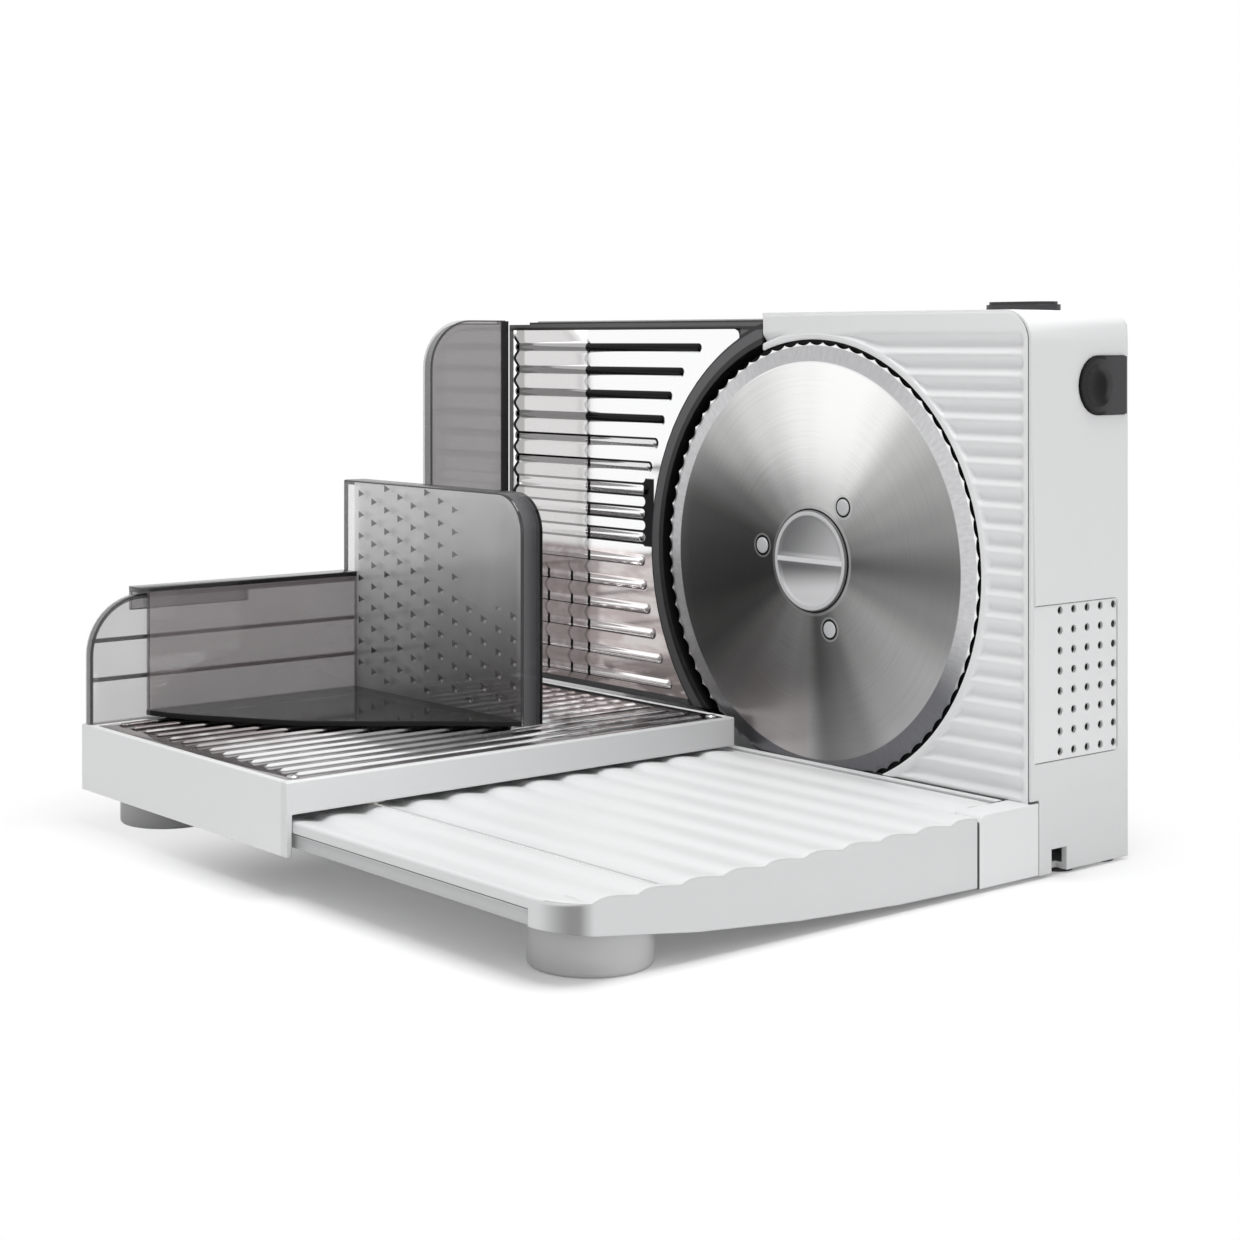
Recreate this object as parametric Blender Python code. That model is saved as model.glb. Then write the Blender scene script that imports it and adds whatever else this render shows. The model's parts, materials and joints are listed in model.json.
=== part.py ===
"""Folding electric food slicer with a serrated blade, as an assembly of separate pieces.

The pieces are drawn in the machine's own frame: X = 0 on the blade's axis and +X along the
cut, Y = 0 on the cutting plane with the operator towards -Y, and Z = 0 on the table. The
empty "slicer" then carries that frame so that the part's origin is the middle of its footprint.
"""
import math

import bpy
import bmesh
from mathutils import Vector

MM = 0.001

# Fits, and the walls and steps that several pieces share
GAP = 0.3 * MM
OVERRUN = 3.0 * MM
SKIN = 0.1 * MM
BOSS_WALL = 3.0 * MM
COLLAR = 5.0 * MM

# Hinge of the folding tray, and the heights that build up from it to the blade's axis
HINGE_Y = -26.4 * MM
HINGE_Z = 25.6 * MM
LUG_CORNER = 4.6 * MM
LUG_FRONT = HINGE_Y - LUG_CORNER
LUG_TOP = HINGE_Z + LUG_CORNER
BEAM_RISE = 9.8 * MM
BEAM_TOP = LUG_TOP + BEAM_RISE

# Blade, the size that the rest of the machine is laid out around
BLADE_RADIUS = 95.0 * MM
BLADE_SINK = 18.0 * MM
BLADE_HEIGHT = BEAM_TOP + BLADE_RADIUS - BLADE_SINK
BLADE_FRONT = -0.4 * MM
BLADE_THICKNESS = 1.5 * MM
BEVEL_WIDTH = 9.0 * MM
TOOTH_COUNT = 75
TOOTH_DEPTH = 1.3 * MM

# Motor housing
HOUSING_LEFT = -31.0 * MM
HOUSING_CHEEK = 27.0 * MM
HOUSING_RIGHT = BLADE_RADIUS + HOUSING_CHEEK
HOUSING_CROWN = 13.0 * MM
HOUSING_TOP = BLADE_HEIGHT + BLADE_RADIUS + HOUSING_CROWN
HOUSING_BACK = 61.0 * MM
HOUSING_BOTTOM = 1.4 * MM
HOUSING_CORNER = 12.5 * MM
BACK_CORNER = 10.0 * MM
WALL = 2.6 * MM
DISC_MARGIN = 3.0 * MM
DISC_RADIUS = BLADE_RADIUS - DISC_MARGIN
SHELL_FRONT = 5.0 * MM
WING_LEFT = -160.0 * MM
WING_STEP = 9.0 * MM
WING_TOP = HOUSING_TOP - WING_STEP
WING_FRONT = 28.0 * MM
WING_CORNER = 12.0 * MM
BEAM_LEFT = -221.0 * MM
PANEL_LIFT = 1.3 * MM
PANEL_BOTTOM = LUG_TOP + PANEL_LIFT

# Stop plate, which sets the thickness of the slice
FENCE_INSET = 2.5 * MM
FENCE_LEFT = BEAM_LEFT + FENCE_INSET
FENCE_STEP = 3.2 * MM
FENCE_TOP = HOUSING_TOP - FENCE_STEP
FENCE_LIFT = 4.0 * MM
FENCE_BOTTOM = BEAM_TOP + FENCE_LIFT
FENCE_CLEARANCE = 4.2 * MM
FENCE_ARC = BLADE_RADIUS + FENCE_CLEARANCE
FENCE_BAND = 8.0 * MM
FENCE_TRAVEL = 15.0 * MM
FENCE_DEPTH = 5.0 * MM
FENCE_SIDE_GAP = 0.4 * MM
FENCE_RIB_COUNT = 15
COVER_DEPTH = 6.0 * MM
GUIDE_X = -128.0 * MM

# Folding tray
TRAY_LEFT = BEAM_LEFT
TRAY_OVERHANG = 0.2 * MM
TRAY_RIGHT = HOUSING_RIGHT + TRAY_OVERHANG
TRAY_FRONT = -235.2 * MM
TRAY_INNER = -4.8 * MM
TRAY_CREST_IN = LUG_TOP
TRAY_FALL = 1.9 * MM
TRAY_CREST_OUT = TRAY_CREST_IN - TRAY_FALL
TRAY_WAVE = 1.5 * MM
TRAY_CORNER = 16.5 * MM
TRAY_WALL = 2.6 * MM
TRAY_PITCH = 19.5 * MM
HINGE_PIN_RADIUS = 2.2 * MM
LUG_WIDTH = 12.6 * MM
LUG_CLEARANCE = 0.9 * MM
FOOT_RADIUS = 22.0 * MM
FOOT_DROP = 10.7 * MM
FOOT_HEIGHT = TRAY_CREST_OUT - FOOT_DROP
FOOT_INSET_X = 23.5 * MM
FOOT_INSET_Y = 31.5 * MM

# Sliding carriage
CARRIAGE_INSET = 6.7 * MM
CARRIAGE_LEFT = TRAY_LEFT + CARRIAGE_INSET
CARRIAGE_RIGHT = -42.7 * MM
SKIRT_WALL = 3.0 * MM
SKIRT_GAP = 0.4 * MM
CARRIAGE_FRONT = TRAY_FRONT - SKIRT_WALL - SKIRT_GAP
CARRIAGE_BACK = -6.0 * MM
CARRIAGE_LIFT = 1.0 * MM
CARRIAGE_BOTTOM = TRAY_CREST_IN + CARRIAGE_LIFT
CARRIAGE_HEIGHT = 12.9 * MM
CARRIAGE_TOP = CARRIAGE_BOTTOM + CARRIAGE_HEIGHT
SKIRT_DROP = 16.0 * MM
SKIRT_BOTTOM = CARRIAGE_BOTTOM - SKIRT_DROP
CARRIAGE_RIB_COUNT = 14
RAIL_INSET = 42.8 * MM
RAIL_Y = TRAY_FRONT + RAIL_INSET

# Guard at the end of the carriage
GUARD_WALL = 2.3 * MM
GUARD_SETBACK = 4.9 * MM
GUARD_LOW_X = CARRIAGE_LEFT + GUARD_SETBACK
GUARD_LOW_RISE = 55.9 * MM
GUARD_LOW_TOP = CARRIAGE_TOP + GUARD_LOW_RISE
GUARD_LOW_CORNER = 26.0 * MM
GUARD_RAIL_RISES = (19.1 * MM, 36.3 * MM)
GUARD_TALL_GAP = 0.1 * MM
GUARD_TALL_X = FENCE_LEFT - GUARD_TALL_GAP
GUARD_TALL_FRONT = -50.0 * MM
GUARD_TALL_STEP = 2.0 * MM
GUARD_TALL_TOP = HOUSING_TOP - GUARD_TALL_STEP
GUARD_TALL_CORNER = 24.0 * MM
GUARD_BACK = -4.0 * MM
GUARD_FLANGE = 5.4 * MM

# Pusher
GRIP_INSET = 27.6 * MM
GRIP_FRONT = CARRIAGE_FRONT + GRIP_INSET
GRIP_LENGTH = 109.7 * MM
PUSHER_PLATE_Y = GRIP_FRONT + GRIP_LENGTH
PUSHER_WALL = 2.4 * MM
PUSHER_RIGHT = -75.0 * MM
PUSHER_RISE = 46.0 * MM
PUSHER_TOP = GUARD_LOW_TOP + PUSHER_RISE
PUSHER_LIFT = 1.8 * MM
PUSHER_BASE = CARRIAGE_TOP + PUSHER_LIFT
PUSHER_FLANGE = 9.5 * MM
PUSHER_CORNER = 17.0 * MM
HOOK_REACH = 4.0 * MM
HOOK_FRONT = GRIP_FRONT - HOOK_REACH
SPIKE_COLUMNS = 12
SPIKE_PITCH_X = 10.9 * MM
SPIKE_PITCH_Z = 10.0 * MM

# Drive
WHEEL_TEETH = 36
WHEEL_RADIUS = 33.0 * MM
WHEEL_FACE = 6.0 * MM
WORM_RADIUS = 7.0 * MM
TOOTH_RISE = 1.3 * MM
TOOTH_FALL = 1.7 * MM
DRIVE_Y = (SHELL_FRONT + HOUSING_BACK - WALL) / 2 + GAP
MOTOR_ROOM = 3.7 * MM
MOTOR_RADIUS = (HOUSING_BACK - WALL - SHELL_FRONT) / 2 - MOTOR_ROOM
MOTOR_LENGTH = 62.0 * MM
MOTOR_MARGIN = 12.0 * MM
MOTOR_LEFT = HOUSING_RIGHT - MOTOR_MARGIN - MOTOR_LENGTH
CLAMP_WIDTH = 8.0 * MM
CLAMP_INSET = 8.0 * MM
CLAMP_BAND = 2.2 * MM
MOTOR_HEIGHT = BLADE_HEIGHT - WHEEL_RADIUS - WORM_RADIUS

# Thickness knob
KNOB_RADIUS = 24.0 * MM
KNOB_DEPTH = 15.0 * MM
KNOB_RISE = 3.0 * MM
KNOB_HEIGHT = BLADE_HEIGHT + KNOB_RISE
KNOB_FACE = 3.0 * MM
KNOB_BORE_END = 2.0 * MM
SCREW_RADIUS = 5.0 * MM
SCREW_LEAD = 20.0 * MM
TAIL_STEP = 1.0 * MM

# Front panel
PANEL_LIP = 1.7 * MM
PANEL_TOP_BAND = 7.0 * MM
PANEL_SIDE_BAND = 2.0 * MM
PANEL_WAVE_COUNT = 21
PANEL_WAVE_DEPTH = 1.2 * MM
BLADE_MARGIN = 1.9 * MM
OPENING_RADIUS = BLADE_RADIUS + BLADE_MARGIN
OPENING_RIM = 3.6 * MM
RECESS_FLOOR = 2.6 * MM

# Rear cover, screws, grille and pads
COVER_DROP = 53.0 * MM
COVER_TOP = HOUSING_TOP - COVER_DROP
COVER_LIFT = 4.0 * MM
COVER_BOTTOM = BEAM_TOP + COVER_LIFT
COVER_INSET_LEFT = 10.0 * MM
COVER_LEFT = WING_LEFT + COVER_INSET_LEFT
COVER_INSET_RIGHT = 12.0 * MM
COVER_RIGHT = HOUSING_RIGHT - COVER_INSET_RIGHT
COVER_CORNER = 8.0 * MM
COVER_SCREW_INSET = 6.0 * MM
SCREW_SHANK = 1.6 * MM
SHANK_LENGTH = 8.0 * MM
SCREW_HEAD = 3.2 * MM
SCREW_HEAD_DEPTH = 1.2 * MM
VENT_FRONT = 1.6 * MM
VENT_INSET = 6.6 * MM
VENT_BACK = HOUSING_BACK - VENT_INSET
VENT_DROP = 9.1 * MM
VENT_TOP = BLADE_HEIGHT - VENT_DROP
VENT_HEIGHT = 62.4 * MM
VENT_BOTTOM = VENT_TOP - VENT_HEIGHT
VENT_CORNER = 2.0 * MM
PAD_RADIUS = 7.0 * MM

# Buttons
SWITCH_INSET = 29.5 * MM
SWITCH_X = HOUSING_RIGHT - SWITCH_INSET
SWITCH_HALF_LENGTH = 17.5 * MM
SWITCH_HALF_WIDTH = 7.0 * MM
SWITCH_STEM = 3.0 * MM
SWITCH_BACK_INSET = 30.5 * MM
SWITCH_Y = HOUSING_BACK - SWITCH_BACK_INSET
SWITCH_DEPTH = 21.0 * MM
SWITCH_BLOCK_TOP = HOUSING_TOP - SWITCH_DEPTH
SWITCH_BLOCK_HEIGHT = 15.0 * MM
SWITCH_BLOCK_HALF = 8.0 * MM
SWITCH_BLOCK_REACH = 9.0 * MM
LOCK_INSET_Y = 19.5 * MM
LOCK_CENTRE_Y = HOUSING_BACK - LOCK_INSET_Y
LOCK_DROP = 30.5 * MM
LOCK_CENTRE_Z = HOUSING_TOP - LOCK_DROP
LOCK_RADIUS = 11.8 * MM
LOCK_EDGE_INSET = 2.0 * MM
LOCK_BACK = HOUSING_BACK - LOCK_EDGE_INSET
LOCK_DEPTH = 14.0 * MM
LOCK_SWITCH_FACE = HOUSING_RIGHT - LOCK_DEPTH
LOCK_FLANGE = 2.4 * MM
LOCK_PROUD = 1.2 * MM
LOCK_TRAVEL = 2.5 * MM
BUTTON_FLANGE = 1.6 * MM
SPRING_RADIUS = 4.0 * MM
SPRING_WIRE = 0.9 * MM
SPRING_SINK = 1.5 * MM

# Spindle, motor shaft and lock of the blade
BUSH_RADIUS = 9.0 * MM
BUSH_STANDOFF = 2.0 * MM
BUSH_BACK = DRIVE_Y - WHEEL_FACE / 2 - BUSH_STANDOFF
SPINDLE_RADIUS = 6.0 * MM
SHAFT_RADIUS = 3.5 * MM
KNOB_OUTER = 22.0 * MM
BORE_RADIUS = 14.0 * MM
PIN_CIRCLE = 31.0 * MM
PIN_RADIUS = 3.9 * MM
PIN_PHASE = 51.4

# Stop plate's sheet, rods and nut
WINDOW_SHOULDER = 4.1 * MM
SHEET_FRONT = 0.5 * MM
SHEET_THICKNESS = 1.0 * MM
FENCE_RIB_LOW = 7.9 * MM
FENCE_RIB_HIGH = 12.3 * MM
FENCE_RIB_LEFT = 6.5 * MM
FENCE_RIB_MARGIN = 11.2 * MM
FENCE_STEP_WIDTH = 17.0 * MM
ROD_RADIUS = 4.0 * MM
ROD_BOSS = 12.0 * MM
ROD_LOW = 14.0 * MM
ROD_HIGH = 29.8 * MM
ROD_HEIGHTS = (FENCE_BOTTOM + ROD_LOW, FENCE_TOP - ROD_HIGH)
NUT_RADIUS = 9.0 * MM
NUT_BACK = 42.0 * MM

# Carriage's sheet and shoe, pusher's seat on the guard
PLATE_RECESS = 0.9 * MM
CARRIAGE_RIM = 3.4 * MM
PLATE_INSET_LEFT = 9.0 * MM
PLATE_CORNER = 2.5 * MM
SHOE_TOP = CARRIAGE_BOTTOM - GAP
SHOE_INSET = 8.0 * MM
SHOE_HALF = 4.0 * MM
SHOE_KEEL = 0.8 * MM
GUARD_LIP = 3.4 * MM
PUSHER_RUN = 0.5 * MM
PUSHER_GRIP_X = GUARD_LOW_X + GUARD_WALL + PUSHER_RUN
PUSHER_BAR_LEFT = GUARD_LOW_X - GUARD_LIP - PUSHER_RUN - PUSHER_WALL
BAR_BOTTOM = GUARD_LOW_TOP + PUSHER_RUN

# Footprint that the part's origin is the middle of
FOOTPRINT_LEFT = GUARD_TALL_X - GUARD_FLANGE
FOOTPRINT_RIGHT = HOUSING_RIGHT + LOCK_PROUD
FOOTPRINT_FRONT = CARRIAGE_FRONT
FOOTPRINT_BACK = HOUSING_BACK + GAP + KNOB_DEPTH


# Scene and material helpers


def clear_scene():
    for thing in list(bpy.data.objects):
        bpy.data.objects.remove(thing, do_unlink=True)


def finish(name, colour, roughness, metallic=0.0, transmission=0.0, alpha=1.0):
    material = bpy.data.materials.new(name)
    material.use_nodes = True
    shader = material.node_tree.nodes["Principled BSDF"]
    shader.inputs["Base Color"].default_value = (*colour, 1.0)
    shader.inputs["Roughness"].default_value = roughness
    shader.inputs["Metallic"].default_value = metallic
    shader.inputs["Transmission Weight"].default_value = transmission
    shader.inputs["Alpha"].default_value = alpha
    material.diffuse_color = (*colour, alpha)
    return material


def white_plastic(name):
    return finish(name, (0.86, 0.87, 0.88), 0.42)


def grey_plastic(name):
    return finish(name, (0.09, 0.09, 0.095), 0.45)


def smoke_plastic(name):
    return finish(name, (0.34, 0.31, 0.31), 0.08, transmission=0.8, alpha=0.55)


def steel(name, roughness=0.22):
    return finish(name, (0.72, 0.72, 0.73), roughness, metallic=1.0)


def pivot(name, place, parent=None):
    """An empty on a joint's axis; place is in the machine's frame."""
    empty = bpy.data.objects.new(name, None)
    bpy.context.collection.objects.link(empty)
    empty["place"] = tuple(place)
    if parent is not None:
        empty.parent = parent
        empty.location = Vector(place) - Vector(parent["place"])
    return empty


def make(name, builder, carrier, material=None):
    """An object from a bmesh drawn in the machine's frame, carried by a pivot."""
    mesh = bpy.data.meshes.new(name)
    bmesh.ops.remove_doubles(builder, verts=builder.verts, dist=0.001 * MM)
    bmesh.ops.recalc_face_normals(builder, faces=builder.faces)
    builder.to_mesh(mesh)
    builder.free()
    thing = bpy.data.objects.new(name, mesh)
    bpy.context.collection.objects.link(thing)
    thing.parent = carrier
    thing.location = -Vector(carrier["place"])
    if material is not None:
        mesh.materials.append(material)
    return thing


def boolean(target, tool, operation):
    step = target.modifiers.new(operation.lower(), "BOOLEAN")
    step.operation = operation
    step.solver = "EXACT"
    step.object = tool
    tool.hide_render = True
    tool.display_type = "WIRE"
    return target


def cut(target, *tools):
    for tool in tools:
        boolean(target, tool, "DIFFERENCE")
    return target


def fuse(target, *tools):
    for tool in tools:
        boolean(target, tool, "UNION")
    return target


def keep(target, *tools):
    for tool in tools:
        boolean(target, tool, "INTERSECT")
    return target


def smooth(thing, angle=math.radians(32)):
    thing.data.shade_smooth()
    thing.data.set_sharp_from_angle(angle=angle)
    return thing


# Shape helpers


def to_space(axis, a, b, along):
    """A point from its two outline coordinates and its place along the axis."""
    if axis == "x":
        return (along, a, b)
    if axis == "y":
        return (a, along, b)
    return (a, b, along)


def prism(axis, outline, low, high, builder=None):
    """A closed outline pushed along an axis, from low to high."""
    builder = builder or bmesh.new()
    near = [builder.verts.new(to_space(axis, a, b, low)) for a, b in outline]
    far = [builder.verts.new(to_space(axis, a, b, high)) for a, b in outline]
    builder.faces.new(near[::-1])
    builder.faces.new(far)
    count = len(outline)
    for index in range(count):
        after = (index + 1) % count
        builder.faces.new((near[index], near[after], far[after], far[index]))
    return builder


def box(x0, x1, y0, y1, z0, z1, builder=None):
    return prism("z", [(x0, y0), (x1, y0), (x1, y1), (x0, y1)], z0, z1, builder)


def arc(centre, radius, start, end, steps):
    """Points on an arc, both ends included, angles in degrees."""
    points = []
    for index in range(steps + 1):
        angle = math.radians(start + (end - start) * index / steps)
        points.append((centre[0] + radius * math.cos(angle), centre[1] + radius * math.sin(angle)))
    return points


def circle(centre, radius, sides):
    return arc(centre, radius, 0.0, 360.0 - 360.0 / sides, sides - 1)


def rounded_box(a0, a1, b0, b1, radius, steps=4):
    """The outline of a rectangle with four round corners."""
    points = arc((a1 - radius, b0 + radius), radius, -90.0, 0.0, steps)
    points += arc((a1 - radius, b1 - radius), radius, 0.0, 90.0, steps)
    points += arc((a0 + radius, b1 - radius), radius, 90.0, 180.0, steps)
    points += arc((a0 + radius, b0 + radius), radius, 180.0, 270.0, steps)
    return points


def turned(axis, centre, profile, sides, builder=None):
    """A profile of (radius, place along the axis) turned round an axis through centre."""
    builder = builder or bmesh.new()
    rings = []
    for radius, along in profile:
        if radius == 0.0:
            rings.append([builder.verts.new(to_space(axis, centre[0], centre[1], along))])
        else:
            ring = [builder.verts.new(to_space(axis, a, b, along)) for a, b in circle(centre, radius, sides)]
            rings.append(ring)
    closed = profile[0][0] > 0.0
    pairs = list(zip(rings, rings[1:]))
    if closed:
        pairs.append((rings[-1], rings[0]))
    for first, second in pairs:
        for index in range(sides):
            after = (index + 1) % sides
            corners = [first[index % len(first)], first[after % len(first)],
                       second[after % len(second)], second[index % len(second)]]
            unique = []
            for corner in corners:
                if corner not in unique:
                    unique.append(corner)
            if len(unique) > 2:
                builder.faces.new(unique)
    return builder


def rod(axis, centre, radius, low, high, sides=24, builder=None):
    return prism(axis, circle(centre, radius, sides), low, high, builder)


def threaded(axis_centre, low, high, root, crest, lead, starts, stations, sides, phase, axis="x"):
    """A rod along X or Y whose surface rises into a helical thread, ends plain at the root."""
    builder = bmesh.new()
    rings = []
    for station in range(stations + 1):
        along = low + (high - low) * station / stations
        plain = station in (0, stations)
        ring = []
        for index in range(sides):
            angle = 2.0 * math.pi * index / sides
            turn = (along - phase) * starts / lead - angle * starts / (2.0 * math.pi)
            share = abs((turn % 1.0) - 0.5) * 2.0
            rise = 0.0 if plain else min(1.0, max(0.0, 2.0 * share - 0.6))
            radius = root + (crest - root) * rise
            a = axis_centre[0] + radius * math.cos(angle)
            b = axis_centre[1] + radius * math.sin(angle)
            ring.append(builder.verts.new(to_space(axis, a, b, along)))
        rings.append(ring)
    builder.faces.new(rings[0][::-1])
    builder.faces.new(rings[-1])
    for first, second in zip(rings, rings[1:]):
        for index in range(sides):
            after = (index + 1) % sides
            builder.faces.new((first[index], first[after], second[after], second[index]))
    return builder


def pill(axis, start, end, half_width, low, high, top_share, builder, steps=3):
    """A bar with round ends and sloping sides, its foot at low and its narrower top at high."""
    run = Vector(end) - Vector(start)
    heading = math.degrees(math.atan2(run.y, run.x))
    levels = []
    for radius, along in ((half_width, low), (half_width * top_share, high)):
        outline = arc(end, radius, heading - 90.0, heading + 90.0, steps)
        outline += arc(start, radius, heading + 90.0, heading + 270.0, steps)
        levels.append([builder.verts.new(to_space(axis, a, b, along)) for a, b in outline])
    foot, top = levels
    builder.faces.new(foot[::-1])
    builder.faces.new(top)
    for index in range(len(foot)):
        after = (index + 1) % len(foot)
        builder.faces.new((foot[index], foot[after], top[after], top[index]))
    return builder


def coil(name, centre, radius, wire, low, high, turns, carrier, material, axis="z"):
    """A compression spring: a hexagonal wire wound round an axis from low to high."""
    per_turn = 12
    sides = 6
    builder = bmesh.new()
    rings = []
    count = turns * per_turn
    for index in range(count + 1):
        angle = 2.0 * math.pi * index / per_turn
        middle = low + wire / 2 + (high - low - wire) * index / count
        ring = []
        for side in range(sides):
            around = 2.0 * math.pi * side / sides
            reach = radius + wire / 2 * math.cos(around)
            along = middle + wire / 2 * math.sin(around)
            a = centre[0] + reach * math.cos(angle)
            b = centre[1] + reach * math.sin(angle)
            ring.append(builder.verts.new(to_space(axis, a, b, along)))
        rings.append(ring)
    builder.faces.new(rings[0][::-1])
    builder.faces.new(rings[-1])
    for first, second in zip(rings, rings[1:]):
        for side in range(sides):
            after = (side + 1) % sides
            builder.faces.new((first[side], first[after], second[after], second[side]))
    return smooth(make(name, builder, carrier, material), math.radians(70))


# Motor housing


def slab_outline(inset):
    """The upright slab, seen from the front, with its round upper corner."""
    right = HOUSING_RIGHT - inset
    top = HOUSING_TOP - inset
    radius = HOUSING_CORNER - inset
    return arc((right - radius, top - radius), radius, 0.0, 90.0, 6)


def front_zone(inset, bottom):
    """Slab and disc behind the blade, with the low beam to the left."""
    left = HOUSING_LEFT + inset
    disc = DISC_RADIUS - inset
    upper = math.degrees(math.acos(left / disc))
    lower = 180.0 + math.degrees(math.asin((BLADE_HEIGHT - BEAM_TOP) / disc))
    outline = [(HOUSING_RIGHT - inset, bottom)] + slab_outline(inset) + [(left, HOUSING_TOP - inset)]
    outline += arc((0.0, BLADE_HEIGHT), disc, upper, lower, 14)
    return outline + [(BEAM_LEFT, BEAM_TOP), (BEAM_LEFT, bottom)]


def wing_zone(inset, bottom):
    """Slab with the wing behind the stop plate, down to bottom."""
    left = WING_LEFT + inset
    top = WING_TOP - inset
    radius = WING_CORNER - inset
    outline = [(HOUSING_RIGHT - inset, bottom)] + slab_outline(inset)
    outline += [(HOUSING_LEFT + inset, HOUSING_TOP - inset), (HOUSING_LEFT + inset, top)]
    outline += arc((left + radius, top - radius), radius, 90.0, 180.0, 4)
    outline.append((left, bottom))
    return outline


def back_profile(inset, front, bottom):
    """The side view of the shell, whose upper back edge is round."""
    back = HOUSING_BACK - inset
    top = HOUSING_TOP - inset
    radius = BACK_CORNER - inset
    outline = [(front, bottom), (back, bottom)]
    outline += arc((back - radius, top - radius), radius, 0.0, 90.0, 5)
    outline.append((front, top))
    return outline


def housing_rim(carrier):
    """The thin lip of the shell that the front panel sits in."""
    right = HOUSING_RIGHT - PANEL_LIP
    top = HOUSING_TOP - PANEL_LIP
    radius = HOUSING_CORNER - PANEL_LIP
    inner = arc((right - radius, top - radius), radius, 90.0, 0.0, 6) + [(right, PANEL_BOTTOM - GAP)]
    outline = [(HOUSING_RIGHT, PANEL_BOTTOM - GAP)] + slab_outline(0.0)
    outline += [(HOUSING_LEFT, HOUSING_TOP), (HOUSING_LEFT, top)] + inner
    return make("rim_guide", prism("y", outline, 0.0, SHELL_FRONT + WALL / 2), carrier)


def cover_opening(inset):
    """The outline of the rear cover, seen from behind."""
    return rounded_box(COVER_LEFT + inset, COVER_RIGHT - inset, COVER_BOTTOM + inset, COVER_TOP - inset,
                       COVER_CORNER - inset, 3)


def cover_screw_places():
    left = COVER_LEFT + COVER_SCREW_INSET
    right = COVER_RIGHT - COVER_SCREW_INSET
    bottom = COVER_BOTTOM + COVER_SCREW_INSET
    top = COVER_TOP - COVER_SCREW_INSET
    return [(left, bottom), (right, bottom), (right, top), (left, top)]


def switch_outline(grow):
    """The long round-ended button on top, seen from above."""
    half_length = SWITCH_HALF_LENGTH + grow
    half_width = SWITCH_HALF_WIDTH + grow
    return rounded_box(SWITCH_X - half_length, SWITCH_X + half_length, SWITCH_Y - half_width,
                       SWITCH_Y + half_width, half_width - SKIN, 5)


def lock_outline(grow):
    """The D-shaped button on the side: a half circle in front and a straight back edge."""
    half = arc((LOCK_CENTRE_Y, LOCK_CENTRE_Z), LOCK_RADIUS + grow, 90.0, 270.0, 12)
    edge = LOCK_BACK + grow
    return half + [(edge, LOCK_CENTRE_Z - LOCK_RADIUS - grow), (edge, LOCK_CENTRE_Z + LOCK_RADIUS + grow)]


def housing_shell(carrier):
    slab = prism("y", front_zone(0.0, HOUSING_BOTTOM), SHELL_FRONT, WING_FRONT + WALL)
    shell = make("housing_shell", slab, carrier, white_plastic("shell_white"))
    wing = make("wing_guide", prism("y", wing_zone(0.0, HOUSING_BOTTOM), WING_FRONT, HOUSING_BACK), carrier)
    low_beam = box(BEAM_LEFT, HOUSING_LEFT, SHELL_FRONT, HOUSING_BACK, HOUSING_BOTTOM, BEAM_TOP)
    beam = make("beam_guide", low_beam, carrier)
    fuse(shell, wing, beam, housing_rim(carrier))
    profile = back_profile(0.0, -OVERRUN, HOUSING_BOTTOM)
    side = prism("x", profile, BEAM_LEFT - OVERRUN, HOUSING_RIGHT + OVERRUN)
    keep(shell, make("profile_guide", side, carrier))
    hollow_shell(shell, carrier)
    hollow_fittings(shell, carrier)
    hollow_rods(shell, carrier)
    screw_posts(shell, carrier)
    return smooth(shell)


def hollow_shell(shell, carrier):
    """The inside of the slab, of the disc, of the wing and the open underside of the beam."""
    floor_top = HOUSING_BOTTOM + WALL
    back = HOUSING_BACK - WALL
    slab = [(HOUSING_RIGHT - WALL, floor_top)] + slab_outline(WALL)
    slab += [(HOUSING_LEFT + WALL, HOUSING_TOP - WALL), (HOUSING_LEFT + WALL, floor_top)]
    chamber = make("slab_cavity", prism("y", slab, SHELL_FRONT + WALL, back), carrier)
    profile = back_profile(WALL, -OVERRUN, floor_top - OVERRUN)
    limit = prism("x", profile, BEAM_LEFT - OVERRUN, HOUSING_RIGHT + OVERRUN)
    keep(chamber, make("cavity_profile_guide", limit, carrier))
    mouth = [(HOUSING_RIGHT - WALL, PANEL_BOTTOM + WALL)] + slab_outline(WALL)
    mouth += [(HOUSING_LEFT + WALL, HOUSING_TOP - WALL), (HOUSING_LEFT + WALL, PANEL_BOTTOM + WALL)]
    front = make("mouth_cavity", prism("y", mouth, SHELL_FRONT - OVERRUN, SHELL_FRONT + WALL + OVERRUN),
                 carrier)
    round_room = rod("y", (0.0, BLADE_HEIGHT), DISC_RADIUS - WALL, SHELL_FRONT - OVERRUN,
                     WING_FRONT + WALL + GAP, 48)
    drum = make("drum_cavity", round_room, carrier)
    wing_box = rounded_box(WING_LEFT + WALL, 0.0, BEAM_TOP, WING_TOP - WALL, WING_CORNER - WALL, 4)
    wing = make("wing_cavity", prism("y", wing_box, WING_FRONT + WALL, back), carrier)
    low_room = box(BEAM_LEFT + WALL, HOUSING_LEFT - WALL, SHELL_FRONT + WALL, back,
                   HOUSING_BOTTOM - OVERRUN, BEAM_TOP - WALL)
    cut(shell, chamber, front, drum, wing, make("beam_cavity", low_room, carrier))


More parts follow.
